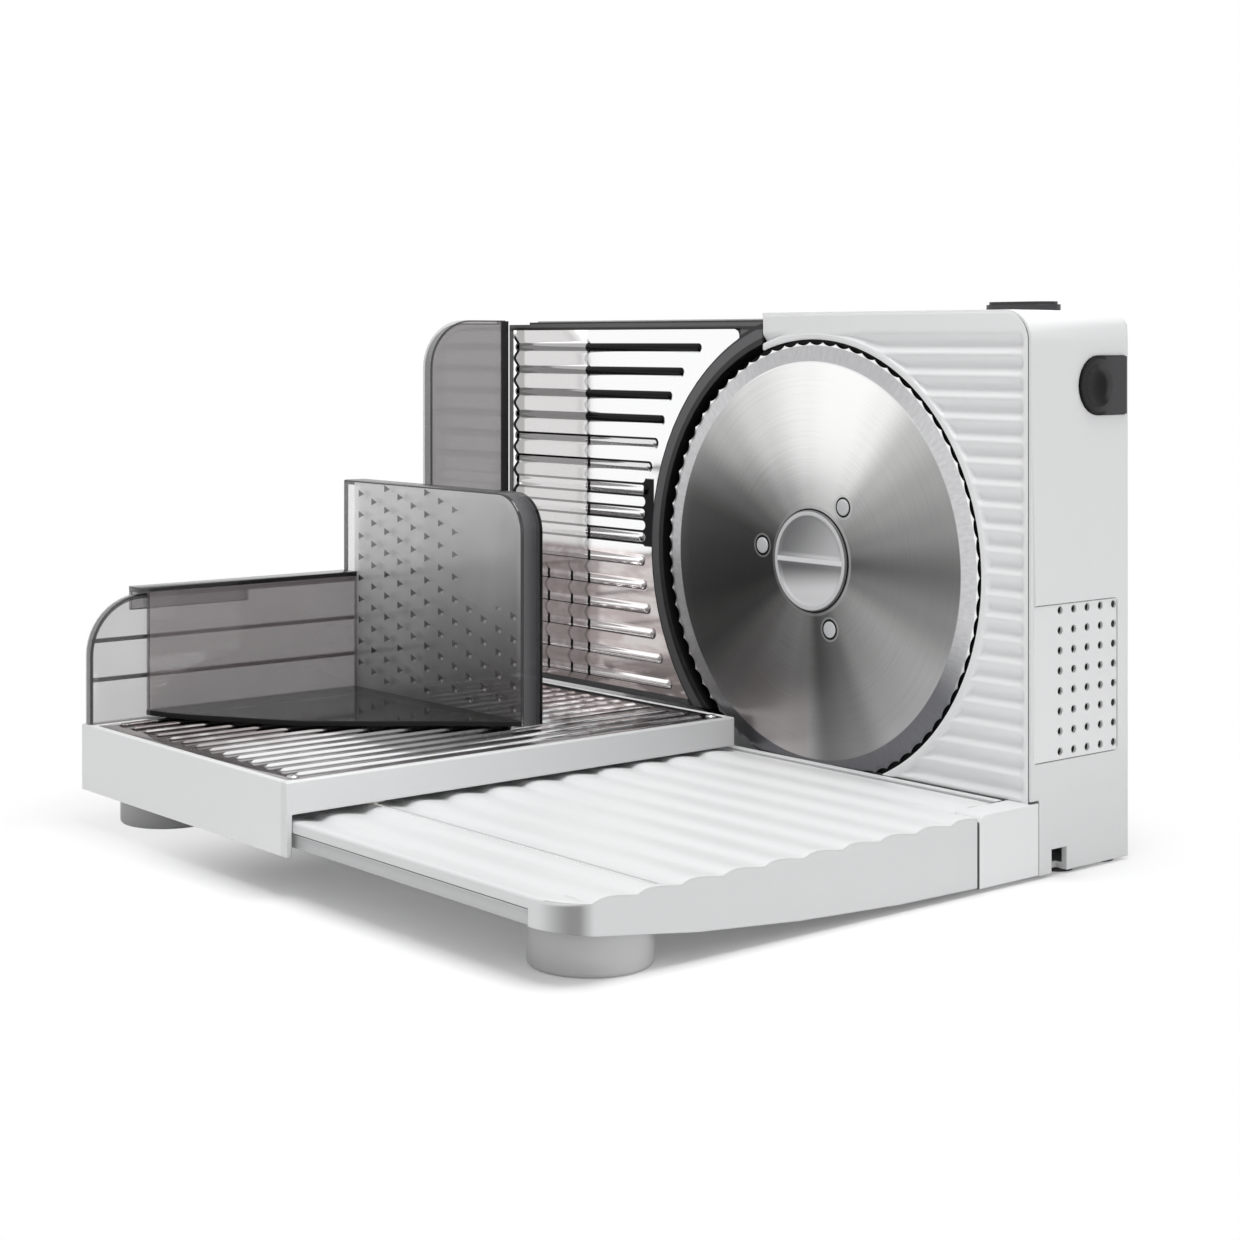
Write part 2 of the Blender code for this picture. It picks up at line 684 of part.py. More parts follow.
def hollow_fittings(shell, carrier):
    """Openings for the buttons, the grille, the cord, the rear cover and the nut."""
    side = HOUSING_RIGHT + OVERRUN
    inside = HOUSING_RIGHT - WALL - OVERRUN
    seat_depth = 1.2 * MM
    notch_front = 12.6 * MM
    notch_width = 9.4 * MM
    notch_top = 10.8 * MM
    button = prism("z", switch_outline(GAP), HOUSING_TOP - WALL - OVERRUN, HOUSING_TOP + OVERRUN)
    switch = make("switch_hole", button, carrier)
    lock = make("lock_hole", prism("x", lock_outline(GAP), inside - LOCK_TRAVEL, side), carrier)
    rim = rounded_box(VENT_FRONT, VENT_BACK, VENT_BOTTOM, VENT_TOP, VENT_CORNER, 3)
    grille_seat = make("grille_seat", prism("x", rim, HOUSING_RIGHT - seat_depth, side), carrier)
    clear = rounded_box(VENT_FRONT + WALL + SHELL_FRONT, VENT_BACK - VENT_CORNER, VENT_BOTTOM + VENT_CORNER,
                        VENT_TOP - VENT_CORNER, VENT_CORNER, 3)
    window = make("grille_window", prism("x", clear, inside, side), carrier)
    cord = box(inside, side, notch_front, notch_front + notch_width, HOUSING_BOTTOM - OVERRUN, notch_top)
    notch = make("cord_notch", cord, carrier)
    opening = prism("y", cover_opening(0.0), HOUSING_BACK - WALL - GAP, HOUSING_BACK + OVERRUN)
    cover = make("cover_hole", opening, carrier)
    tube = rod("y", (GUIDE_X, KNOB_HEIGHT), NUT_RADIUS + 2 * GAP, WING_FRONT - OVERRUN,
               WING_FRONT + WALL + OVERRUN)
    cut(shell, switch, lock, grille_seat, window, notch, cover, make("nut_hole", tube, carrier))


def hollow_rods(shell, carrier):
    """The two tubes that the guide rods run in."""
    for height in ROD_HEIGHTS:
        centre = (GUIDE_X, height)
        tube = rod("y", centre, ROD_RADIUS + BOSS_WALL, WING_FRONT + WALL / 2, WING_FRONT + ROD_BOSS, 20)
        hole = rod("y", centre, ROD_RADIUS + GAP, WING_FRONT - OVERRUN, WING_FRONT + ROD_BOSS + OVERRUN, 20)
        fuse(shell, make("rod_boss_guide", tube, carrier))
        cut(shell, make("rod_hole", hole, carrier))


def screw_posts(shell, carrier):
    """The posts behind the rear cover's corners, each with the hole for its screw."""
    post_depth = 10.0 * MM
    half = 5.0 * MM
    reach = 20.0 * MM
    face = HOUSING_BACK - WALL - GAP
    for place in cover_screw_places():
        side_sign = 1.0 if place[0] > 0.0 else -1.0
        up_sign = 1.0 if place[1] > BLADE_HEIGHT else -1.0
        across = sorted((place[0] - half * side_sign, place[0] + reach * side_sign))
        upright = sorted((place[1] - half * up_sign, place[1] + half * up_sign))
        block = box(across[0], across[1], face - post_depth, face, upright[0], upright[1])
        post = make("screw_post_guide", block, carrier)
        zone = wing_zone(WALL / 2, BEAM_TOP - WALL / 2)
        keep(post, make("post_limit_guide", prism("y", zone, WING_FRONT, HOUSING_BACK - WALL / 2), carrier))
        bore = rod("y", place, SCREW_SHANK + GAP, face - SHANK_LENGTH - OVERRUN, HOUSING_BACK, 12)
        fuse(shell, post)
        cut(shell, make("screw_hole", bore, carrier))


def rear_cover(carrier):
    """The plate that closes the back, with a hole for the thickness knob's shaft."""
    inner = HOUSING_BACK - WALL
    outer = HOUSING_BACK + OVERRUN
    cover = make("rear_cover", prism("y", cover_opening(GAP), inner, HOUSING_BACK), carrier,
                 white_plastic("cover_white"))
    passage = rod("y", (GUIDE_X, KNOB_HEIGHT), SCREW_RADIUS + GAP, inner - OVERRUN, outer)
    cut(cover, make("shaft_hole", passage, carrier))
    for place in cover_screw_places():
        hole = rod("y", place, SCREW_SHANK + GAP, inner - OVERRUN, outer, 12)
        sink = rod("y", place, SCREW_HEAD + GAP, HOUSING_BACK - SCREW_HEAD_DEPTH, outer, 12)
        cut(cover, make("cover_screw_hole", hole, carrier), make("cover_screw_sink", sink, carrier))
    slot_rows(cover, carrier)
    return cover


def slot_rows(cover, carrier):
    """Cooling slots behind the motor."""
    slots = bmesh.new()
    count = 6
    pitch = 7.0 * MM
    half_width = 1.4 * MM
    inset = 6.0 * MM
    left = MOTOR_LEFT - inset
    right = MOTOR_LEFT + MOTOR_LENGTH - 3 * inset
    for index in range(count):
        height = MOTOR_HEIGHT + pitch * (index - (count - 1) / 2)
        pill("y", (left, height), (right, height), half_width, HOUSING_BACK - WALL - OVERRUN,
             HOUSING_BACK + OVERRUN, 1.0, slots, 2)
    cut(cover, make("slot_cutter", slots, carrier))


def rear_screws(carrier):
    material = steel("screw_steel", 0.35)
    back = HOUSING_BACK - GAP / 2
    seat = HOUSING_BACK - SCREW_HEAD_DEPTH + GAP
    tip = HOUSING_BACK - WALL - GAP - SHANK_LENGTH
    profile = [(0.0, tip), (SCREW_SHANK, tip + SCREW_SHANK / 2), (SCREW_SHANK, seat), (SCREW_HEAD, seat),
               (SCREW_HEAD, back), (0.0, back)]
    for index, place in enumerate(cover_screw_places()):
        smooth(make(f"rear_screw_{index + 1}", turned("y", place, profile, 12), carrier, material))


# Front panel, grille, base strip and pads


def wave_line(low, high, count, depth, steps, crest):
    """Points (across, along) of a row of rounded ridges: across is crest at a ridge's top."""
    points = []
    total = count * steps
    for index in range(total + 1):
        share = index / total
        along = low + (high - low) * share
        phase = 2.0 * math.pi * share * count
        points.append((crest + depth * (0.5 - 0.5 * math.cos(phase)), along))
    return points


def front_panel(carrier):
    """The ribbed front, with the round recess that the blade turns in."""
    lip = PANEL_LIP + GAP
    right = HOUSING_RIGHT - lip
    top = HOUSING_TOP - lip
    radius = HOUSING_CORNER - lip
    left = HOUSING_LEFT + GAP
    back = SHELL_FRONT - GAP
    axis = (0.0, BLADE_HEIGHT)
    outline = [(left, PANEL_BOTTOM), (right, PANEL_BOTTOM)]
    outline += arc((right - radius, top - radius), radius, 0.0, 90.0, 6) + [(left, top)]
    body = make("front_panel", prism("y", outline, 0.0, back), carrier, white_plastic("panel_white"))
    wavy_top = top - PANEL_TOP_BAND
    ribs = wave_line(PANEL_BOTTOM, wavy_top, PANEL_WAVE_COUNT, PANEL_WAVE_DEPTH, 6, 0.0)
    groove = [(-OVERRUN, wavy_top), (-OVERRUN, PANEL_BOTTOM)] + ribs
    grooves = make("wave_cutter", prism("x", groove, left - OVERRUN, right - PANEL_SIDE_BAND), carrier)
    ring = rod("y", axis, OPENING_RADIUS + OPENING_RIM, -2 * OVERRUN, back + OVERRUN, 64)
    cut(grooves, make("ring_space", ring, carrier))
    opening = rod("y", axis, OPENING_RADIUS, -OVERRUN, back + OVERRUN, 64)
    cut(body, grooves, make("blade_opening", opening, carrier))
    boss = rod("y", axis, BUSH_RADIUS + BOSS_WALL, back - GAP, BUSH_BACK, 28)
    fuse(body, make("recess_guide", recess_floor(back), carrier), make("boss_guide", boss, carrier))
    bore = rod("y", axis, BUSH_RADIUS + GAP / 10, -OVERRUN, BUSH_BACK + OVERRUN, 28)
    cut(body, make("bush_bore", bore, carrier))
    return smooth(body, math.radians(28))


def recess_floor(back):
    """The flat behind the blade: wide under the panel, cut back to the drum beside the stop plate."""
    axis = (0.0, BLADE_HEIGHT)
    drop = BLADE_HEIGHT - PANEL_BOTTOM
    wide = OPENING_RADIUS + OPENING_RIM / 2
    start = -math.degrees(math.asin(drop / wide))
    end = math.degrees(math.acos((HOUSING_LEFT + GAP) / wide))
    upper = math.degrees(math.acos(HOUSING_LEFT / DISC_RADIUS))
    lower = 180.0 + math.degrees(math.asin(drop / DISC_RADIUS))
    outline = arc(axis, wide, start, end, 28) + arc(axis, DISC_RADIUS, upper, lower, 20)
    return prism("y", outline, RECESS_FLOOR, back)


def vent_grille(carrier):
    """The inset side panel, eight rows of five round holes."""
    depth = 0.9 * MM
    rows = 8
    columns = 5
    pitch_y = (VENT_BACK - VENT_FRONT) * 0.16
    pitch_z = VENT_HEIGHT * 0.1287
    hole = 1.4 * MM
    margin_y = 2.3 * MM
    margin_z = 2.7 * MM
    inner = HOUSING_RIGHT - depth
    outline = rounded_box(VENT_FRONT + GAP, VENT_BACK - GAP, VENT_BOTTOM + GAP, VENT_TOP - GAP,
                          VENT_CORNER, 3)
    grille = make("vent_grille", prism("x", outline, inner - GAP, HOUSING_RIGHT - GAP), carrier,
                  white_plastic("grille_white"))
    holes = bmesh.new()
    for row in range(rows):
        for column in range(columns):
            centre = (VENT_BACK - margin_y - pitch_y * column, VENT_TOP - margin_z - pitch_z * row)
            rod("x", centre, hole, inner - OVERRUN, HOUSING_RIGHT + OVERRUN, 8, holes)
    cut(grille, make("hole_cutter", holes, carrier))
    return grille


def base_frame(carrier):
    """The low strip in front of the housing with a hinge lug at each end."""
    strip_front = -3.6 * MM
    strip_back = -1.6 * MM
    pin_wall = 2.0 * MM
    bottom = HOUSING_BOTTOM + GAP
    back = SHELL_FRONT - GAP
    strip = box(TRAY_LEFT + LUG_WIDTH / 2, TRAY_RIGHT - LUG_WIDTH / 2, strip_front, strip_back, bottom,
                LUG_TOP - GAP)
    frame = make("base_frame", strip, carrier, white_plastic("base_white"))
    side = [(LUG_FRONT, bottom), (back, bottom), (back, LUG_TOP)]
    side += arc((HINGE_Y, HINGE_Z), LUG_CORNER, 90.0, 180.0, 5)
    for low, high in ((TRAY_LEFT, TRAY_LEFT + LUG_WIDTH), (TRAY_RIGHT - LUG_WIDTH, TRAY_RIGHT)):
        fuse(frame, make("lug_guide", prism("x", side, low, high), carrier))
    pin_depth = LUG_WIDTH - pin_wall
    for face, inward in ((TRAY_LEFT + LUG_WIDTH, -1.0), (TRAY_RIGHT - LUG_WIDTH, 1.0)):
        ends = sorted((face - OVERRUN * inward, face + pin_depth * inward))
        hole = rod("x", (HINGE_Y, HINGE_Z), HINGE_PIN_RADIUS + GAP / 10, ends[0], ends[1], 20)
        cut(frame, make("pin_hole", hole, carrier))
    return frame


def hinge_pins(carrier):
    material = steel("pin_steel", 0.3)
    reach = 11.0 * MM
    pin_wall = 2.0 * MM
    pin_depth = LUG_WIDTH - pin_wall - GAP
    for name, face, inward in (("hinge_pin_left", TRAY_LEFT + LUG_WIDTH, -1.0),
                               ("hinge_pin_right", TRAY_RIGHT - LUG_WIDTH, 1.0)):
        ends = sorted((face - reach * inward, face + pin_depth * inward))
        pin = rod("x", (HINGE_Y, HINGE_Z), HINGE_PIN_RADIUS, ends[0], ends[1], 20)
        smooth(make(name, pin, carrier, material))


def housing_pads(carrier):
    """Rubber pads under the housing and under the beam's end."""
    rubber = finish("pad_rubber", (0.05, 0.05, 0.05), 0.9)
    edge = 2.0 * MM
    notch_room = 12.0 * MM
    inset = PAD_RADIUS + edge
    places = (("pad_rear_right", HOUSING_RIGHT - inset, HOUSING_BACK - inset),
              ("pad_rear_middle", HOUSING_LEFT + inset, HOUSING_BACK - inset),
              ("pad_front_middle", HOUSING_LEFT + inset, SHELL_FRONT + inset),
              ("pad_front_right", HOUSING_RIGHT - inset, SHELL_FRONT + inset + notch_room))
    for name, x, y in places:
        pad = rod("z", (x, y), PAD_RADIUS, 0.0, HOUSING_BOTTOM - GAP, 20)
        smooth(make(name, pad, carrier, rubber))


# Motor and drive


def motor(carrier):
    """The can of the motor, with its end bell stepped in, and the bore its shaft runs through."""
    right = MOTOR_LEFT + MOTOR_LENGTH
    bell = 6.0 * MM
    neck = 9.0 * MM
    step = 4.0 * MM
    bore = SHAFT_RADIUS + GAP
    axis = (DRIVE_Y, MOTOR_HEIGHT)
    profile = [(bore, MOTOR_LEFT - bell), (neck, MOTOR_LEFT - bell), (neck, MOTOR_LEFT - step / 2),
               (MOTOR_RADIUS - step, MOTOR_LEFT - step / 2), (MOTOR_RADIUS, MOTOR_LEFT + step),
               (MOTOR_RADIUS, right - step), (MOTOR_RADIUS - step, right), (bore, right)]
    smooth(make("motor_body", turned("x", axis, profile, 28), carrier,
                finish("motor_steel", (0.45, 0.46, 0.48), 0.35, metallic=1.0)))
    motor_clamp("motor_clamp_left", axis, MOTOR_LEFT + CLAMP_INSET, carrier)
    motor_clamp("motor_clamp_right", axis, right - CLAMP_INSET - CLAMP_WIDTH, carrier)


def motor_clamp(name, axis, low, carrier):
    """A steel band round the motor with a foot on the rear cover."""
    inner = MOTOR_RADIUS + GAP
    half = MOTOR_RADIUS + CLAMP_BAND
    high = low + CLAMP_WIDTH
    ring = [(inner, low), (half, low), (half, high), (inner, high)]
    clamp = make(name, turned("x", axis, ring, 28), carrier,
                 finish(name + "_steel", (0.5, 0.5, 0.52), 0.4, metallic=1.0))
    foot = box(low, high, DRIVE_Y + MOTOR_RADIUS + CLAMP_BAND / 2, HOUSING_BACK - WALL - GAP,
               MOTOR_HEIGHT - half / 2, MOTOR_HEIGHT + half / 2)
    fuse(clamp, make("clamp_foot_guide", foot, carrier))
    smooth(clamp)


def worm_pitch():
    return 2.0 * math.pi * WHEEL_RADIUS / WHEEL_TEETH


def worm_shaft(carrier):
    """The motor's shaft with its single-start worm, which meets the wheel straight below its axis."""
    pitch = worm_pitch()
    half_worm = 2.5 * pitch
    per_pitch = 8
    free_end = 22.0 * MM
    motor_end = 3.0 * MM
    axis = (DRIVE_Y, MOTOR_HEIGHT)
    thread = threaded(axis, -half_worm, half_worm, WORM_RADIUS - TOOTH_FALL, WORM_RADIUS + TOOTH_RISE - GAP,
                      pitch, 1, 5 * per_pitch, 14, pitch / 4)
    worm = make("worm_shaft", thread, carrier, steel("worm_steel", 0.25))
    left = -half_worm - free_end
    right = MOTOR_LEFT + MOTOR_LENGTH + motor_end
    fuse(worm, make("shaft_guide", rod("x", axis, SHAFT_RADIUS, left, right, 16), carrier))
    return smooth(worm, math.radians(50))


def worm_bearing(carrier):
    """The bush at the worm's free end and the bracket that holds it off the rear cover."""
    room = 8.0 * MM
    length = 10.0 * MM
    high = -2.5 * worm_pitch() - room
    low = high - length
    outer = SHAFT_RADIUS + BOSS_WALL
    bore = SHAFT_RADIUS + GAP / 6
    axis = (DRIVE_Y, MOTOR_HEIGHT)
    profile = [(bore, low), (outer, low), (outer, high), (bore, high)]
    smooth(make("worm_bush", turned("x", axis, profile, 20), carrier,
                finish("bush_bronze", (0.55, 0.35, 0.16), 0.35, metallic=1.0)))
    half = outer + BOSS_WALL
    outline = rounded_box(DRIVE_Y - half, DRIVE_Y + half, MOTOR_HEIGHT - half, MOTOR_HEIGHT + half,
                          BOSS_WALL, 2)
    bracket = make("worm_bracket", prism("x", outline, low + GAP, high - GAP), carrier,
                   finish("bracket_grey", (0.3, 0.3, 0.32), 0.5))
    arm = box(low + GAP, high - GAP, DRIVE_Y, HOUSING_BACK - WALL - GAP, MOTOR_HEIGHT - outer,
              MOTOR_HEIGHT + outer)
    hole = rod("x", axis, outer + GAP / 10, low - OVERRUN, high + OVERRUN, 20)
    fuse(bracket, make("arm_guide", arm, carrier))
    cut(bracket, make("bracket_bore", hole, carrier))
    return bracket


def drive_gear(carrier):
    """The wheel on the blade's spindle: straight teeth, web and hub, with lightening holes."""
    tip = WHEEL_RADIUS + TOOTH_RISE - GAP
    root = WHEEL_RADIUS - TOOTH_FALL
    half = WHEEL_FACE / 2
    axis = (0.0, BLADE_HEIGHT)
    outline = []
    tooth_shares = ((-0.36, root), (-0.14, tip), (0.14, tip), (0.36, root))
    for tooth in range(WHEEL_TEETH):
        for share, radius in tooth_shares:
            angle = 2.0 * math.pi * (tooth + share) / WHEEL_TEETH - math.pi / 2
            outline.append((radius * math.cos(angle), BLADE_HEIGHT + radius * math.sin(angle)))
    wheel = make("drive_gear", prism("y", outline, DRIVE_Y - half, DRIVE_Y + half), carrier,
                 finish("gear_nylon", (0.82, 0.8, 0.72), 0.5))
    hub = rod("y", axis, SPINDLE_RADIUS + COLLAR, DRIVE_Y - half, DRIVE_Y + half + COLLAR, 28)
    bore = rod("y", axis, SPINDLE_RADIUS + GAP / 10, DRIVE_Y - half - OVERRUN,
               DRIVE_Y + half + COLLAR + OVERRUN, 28)
    count = 6
    hole_radius = 5.0 * MM
    hole_circle = WHEEL_RADIUS * 0.62
    holes = bmesh.new()
    for index in range(count):
        angle = 360.0 / count * index
        centre = arc(axis, hole_circle, angle, angle, 1)[0]
        rod("y", centre, hole_radius, DRIVE_Y - half - OVERRUN, DRIVE_Y + half + OVERRUN, 12, holes)
    fuse(wheel, make("gear_hub_guide", hub, carrier))
    cut(wheel, make("gear_bore", bore, carrier), make("gear_hole_cutter", holes, carrier))
    return wheel


def spindle_bush(carrier):
    bore = SPINDLE_RADIUS + GAP / 6
    outer = BUSH_RADIUS
    profile = [(bore, RECESS_FLOOR), (outer, RECESS_FLOOR), (outer, BUSH_BACK), (bore, BUSH_BACK)]
    return smooth(make("spindle_bush", turned("y", (0.0, BLADE_HEIGHT), profile, 28), carrier,
                       finish("spindle_bronze", (0.55, 0.35, 0.16), 0.35, metallic=1.0)))


# Blade group


def blade(carrier):
    """The round knife: scalloped edge, ground bevel in front, flat disc with a hole for the hub."""
    front = BLADE_FRONT
    back = BLADE_FRONT + BLADE_THICKNESS
    edge = BLADE_FRONT + BLADE_THICKNESS * 0.72
    tip_shares = (1.0, 0.45, 0.0, 0.45)
    builder = bmesh.new()
    rim = []
    for index in range(TOOTH_COUNT * len(tip_shares)):
        angle = 2.0 * math.pi * index / (TOOTH_COUNT * len(tip_shares))
        radius = BLADE_RADIUS - TOOTH_DEPTH * (1.0 - tip_shares[index % len(tip_shares)])
        rim.append((radius * math.cos(angle), BLADE_HEIGHT + radius * math.sin(angle)))
    ground = circle((0.0, BLADE_HEIGHT), BLADE_RADIUS - BEVEL_WIDTH, TOOTH_COUNT)
    hole = circle((0.0, BLADE_HEIGHT), BORE_RADIUS, 25)
    rim_front = [builder.verts.new(to_space("y", a, b, edge)) for a, b in rim]
    rim_back = [builder.verts.new(to_space("y", a, b, back)) for a, b in rim]
    ground_front = [builder.verts.new(to_space("y", a, b, front)) for a, b in ground]
    hole_front = [builder.verts.new(to_space("y", a, b, front)) for a, b in hole]
    hole_back = [builder.verts.new(to_space("y", a, b, back)) for a, b in hole]
    for first, second in ((rim_front, rim_back), (hole_back, hole_front)):
        for index in range(len(first)):
            after = (index + 1) % len(first)
            builder.faces.new((first[index], first[after], second[after], second[index]))
    join_rings(builder, rim_front, ground_front)
    join_rings(builder, ground_front, hole_front)
    join_rings(builder, rim_back, hole_back)
    knife = make("blade", builder, carrier, steel("blade_steel", 0.2))
    pins = bmesh.new()
    for centre in pin_places():
        rod("y", centre, PIN_RADIUS + GAP / 10, front - OVERRUN, back + OVERRUN, 14, pins)
    cut(knife, make("pin_hole_cutter", pins, carrier))
    return smooth(knife, math.radians(4))


def join_rings(builder, outer, inner):
    """Faces between two rings whose counts divide each other."""
    ratio = len(outer) // len(inner)
    for index in range(len(inner)):
        after = (index + 1) % len(inner)
        span = [outer[(index * ratio + step) % len(outer)] for step in range(ratio + 1)]
        half = ratio // 2
        for step in range(ratio):
            anchor = inner[index] if step < half or ratio == 1 else inner[after]
            builder.faces.new((span[step], span[step + 1], anchor))
        builder.faces.new((inner[index], span[half] if ratio > 1 else span[1], inner[after]))


def pin_places():
    return [arc((0.0, BLADE_HEIGHT), PIN_CIRCLE, PIN_PHASE + 120.0 * index, PIN_PHASE + 120.0 * index, 1)[0]
            for index in range(3)]


def blade_pins(carrier):
    material = finish("pin_white", (0.78, 0.79, 0.8), 0.4)
    proud = 0.5 * MM
    face = BLADE_FRONT - proud
    back = BLADE_FRONT + BLADE_THICKNESS
    profile = [(0.0, face), (PIN_RADIUS - proud, face), (PIN_RADIUS, BLADE_FRONT), (PIN_RADIUS, back),
               (0.0, back)]
    for index, centre in enumerate(pin_places()):
        smooth(make(f"blade_pin_{index + 1}", turned("y", centre, profile, 14), carrier, material))


def spindle(carrier):
    """The shaft that carries the blade, with the flange behind the disc and a nose for the hub."""
    back = BLADE_FRONT + BLADE_THICKNESS + GAP
    flange = RECESS_FLOOR - GAP
    tail = 9.0 * MM
    end = DRIVE_Y + WHEEL_FACE / 2 + tail
    nose = BLADE_FRONT + GAP
    neck = BORE_RADIUS - BOSS_WALL
    profile = [(0.0, nose), (neck, nose), (neck, back), (KNOB_OUTER, back), (KNOB_OUTER, flange),
               (SPINDLE_RADIUS, flange), (SPINDLE_RADIUS, end), (0.0, end)]
    return smooth(make("blade_spindle", turned("y", (0.0, BLADE_HEIGHT), profile, 28), carrier,
                       steel("spindle_steel")))


def hub_knob(carrier):
    """The lock in the middle of the blade: a ring with a grip bar between two scooped recesses."""
    proud = 1.3 * MM
    rim = 3.0 * MM
    scoop = 1.0 * MM
    bar = 3.2 * MM
    edge = 0.7 * MM
    axis = (0.0, BLADE_HEIGHT)
    front = BLADE_FRONT - proud
    seat = BLADE_FRONT - GAP / 3
    profile = [(0.0, front), (KNOB_OUTER - edge, front), (KNOB_OUTER, front + edge), (KNOB_OUTER, seat),
               (0.0, seat)]
    knob = make("hub_knob", turned("y", axis, profile, 32), carrier,
                finish("hub_grey", (0.68, 0.69, 0.7), 0.38))
    inner = KNOB_OUTER - rim
    reach = math.degrees(math.asin(bar / inner))
    scoops = bmesh.new()
    for start in (reach, 180.0 + reach):
        half_moon = arc(axis, inner, start, start + 180.0 - 2 * reach, 12)
        prism("y", half_moon, front - OVERRUN, front + scoop, scoops)
    cut(knob, make("scoop_cutter", scoops, carrier))
    return smooth(knob)


# Stop plate group


def fence_outline(inset, left, bottom, top, arc_radius):
    """Upright plate whose right side is cut away round the blade."""
    right = HOUSING_LEFT - FENCE_SIDE_GAP - inset
    radius = arc_radius + inset
    start = math.degrees(math.acos(right / radius))
    end = 180.0 + math.degrees(math.asin((BLADE_HEIGHT - bottom) / radius))
    outline = [(left, bottom), (left, top), (right, top)]
    return outline + arc((0.0, BLADE_HEIGHT), radius, start, end, 22)


def frame_window(inset):
    """The hole in the frame that the steel plate fills."""
    side = 2.4 * MM
    head = 3.6 * MM
    radius = FENCE_ARC + FENCE_BAND + inset
    bottom = FENCE_BOTTOM + side + inset
    left = FENCE_LEFT + side + inset
    upper = FENCE_TOP - head - inset
    start = 180.0 - math.degrees(math.asin((upper - WINDOW_SHOULDER - BLADE_HEIGHT) / radius))
    end = 180.0 + math.degrees(math.asin((BLADE_HEIGHT - bottom) / radius))
    edge = arc((0.0, BLADE_HEIGHT), radius, start, end, 22)
    return [(left, bottom), (left, upper), (edge[0][0], upper)] + edge


def fence_frame(carrier):
    """The dark frame with its ledge, which the plate lies on, and the step in its upper edge."""
    ledge = 3.0 * MM
    step_height = 1.1 * MM
    outline = fence_outline(0.0, FENCE_LEFT, FENCE_BOTTOM, FENCE_TOP, FENCE_ARC)
    frame = make("fence_frame", prism("y", outline, 0.0, FENCE_DEPTH), carrier, grey_plastic("frame_grey"))
    window = prism("y", frame_window(0.0), -OVERRUN, SHEET_FRONT + SHEET_THICKNESS + GAP)
    behind = prism("y", frame_window(ledge), -OVERRUN, FENCE_DEPTH + OVERRUN)
    step = box(FENCE_LEFT - OVERRUN, FENCE_LEFT + FENCE_STEP_WIDTH, -OVERRUN, FENCE_DEPTH + OVERRUN,
               FENCE_TOP - step_height, FENCE_TOP + OVERRUN)
    cut(frame, make("window_cutter", window, carrier), make("ledge_cutter", behind, carrier))
    return cut(frame, make("step_cutter", step, carrier))


def fence_plate(carrier):
    """The bright sheet with its pressed ribs, whose right ends follow the blade."""
    rise = 1.1 * MM
    half = 2.4 * MM
    back = SHEET_FRONT + SHEET_THICKNESS
    plate = make("fence_plate", prism("y", frame_window(GAP), SHEET_FRONT, back), carrier,
                 steel("plate_steel", 0.08))
    lowest = FENCE_BOTTOM + FENCE_RIB_LOW
    highest = FENCE_TOP - FENCE_RIB_HIGH
    left = FENCE_LEFT + FENCE_RIB_LEFT
    ends = FENCE_ARC + FENCE_BAND + FENCE_RIB_MARGIN
    ribs = bmesh.new()
    for index in range(FENCE_RIB_COUNT):
        height = lowest + (highest - lowest) * index / (FENCE_RIB_COUNT - 1)
        right = -math.sqrt(ends ** 2 - (height - BLADE_HEIGHT) ** 2)
        pill("y", (left, height), (right, height), half, back - SHEET_THICKNESS / 2, SHEET_FRONT - rise, 0.5,
             ribs)
    fuse(plate, make("rib_guide", ribs, carrier))
    return smooth(plate)


def fence_back_cover(carrier):
    """The white cover behind the frame, with the sockets for the guide rods and the nut."""
    proud = 0.7 * MM
    lift = 1.0 * MM
    inset = 0.6 * MM
    skin = 2.2 * MM
    front = FENCE_DEPTH + GAP
    back = front + COVER_DEPTH
    top = FENCE_TOP + proud
    left = FENCE_LEFT + FENCE_STEP_WIDTH
    bottom = FENCE_BOTTOM + lift
    outline = fence_outline(inset, left, bottom, top, FENCE_ARC)
    cover = make("fence_back_cover", prism("y", outline, front, back), carrier, white_plastic("fence_white"))
    inner = fence_outline(inset + skin, left + skin, bottom + skin, top - skin, FENCE_ARC)
    cut(cover, make("cover_pocket", prism("y", inner, front - OVERRUN, back - skin), carrier))
    seats = [(height, ROD_RADIUS, 20) for height in ROD_HEIGHTS] + [(KNOB_HEIGHT, NUT_RADIUS, 24)]
    for height, radius, sides in seats:
        centre = (GUIDE_X, height)
        boss = rod("y", centre, radius + BOSS_WALL, front + GAP, back, 20)
        socket = rod("y", centre, radius + GAP / 10, front + WALL, back + OVERRUN, sides)
        fuse(cover, make("cover_boss_guide", boss, carrier))
        cut(cover, make("cover_socket", socket, carrier))
    return cover


def fence_carriers(carrier):
    """Two guide rods and the nut tube behind the stop plate."""
    seat = FENCE_DEPTH + GAP + WALL + GAP / 10
    end_gap = 0.4 * MM
    material = steel("rod_steel", 0.2)
    end = WING_FRONT + ROD_BOSS - end_gap
    for name, height in zip(("guide_rod_lower", "guide_rod_upper"), ROD_HEIGHTS):
        smooth(make(name, rod("y", (GUIDE_X, height), ROD_RADIUS, seat, end, 20), carrier, material))
    bore = SCREW_RADIUS + GAP
    profile = [(bore, seat), (NUT_RADIUS, seat), (NUT_RADIUS, NUT_BACK), (bore, NUT_BACK)]
    smooth(make("thickness_nut", turned("y", (GUIDE_X, KNOB_HEIGHT), profile, 24), carrier,
                finish("nut_nylon", (0.8, 0.8, 0.78), 0.5)))


# Thickness knob group


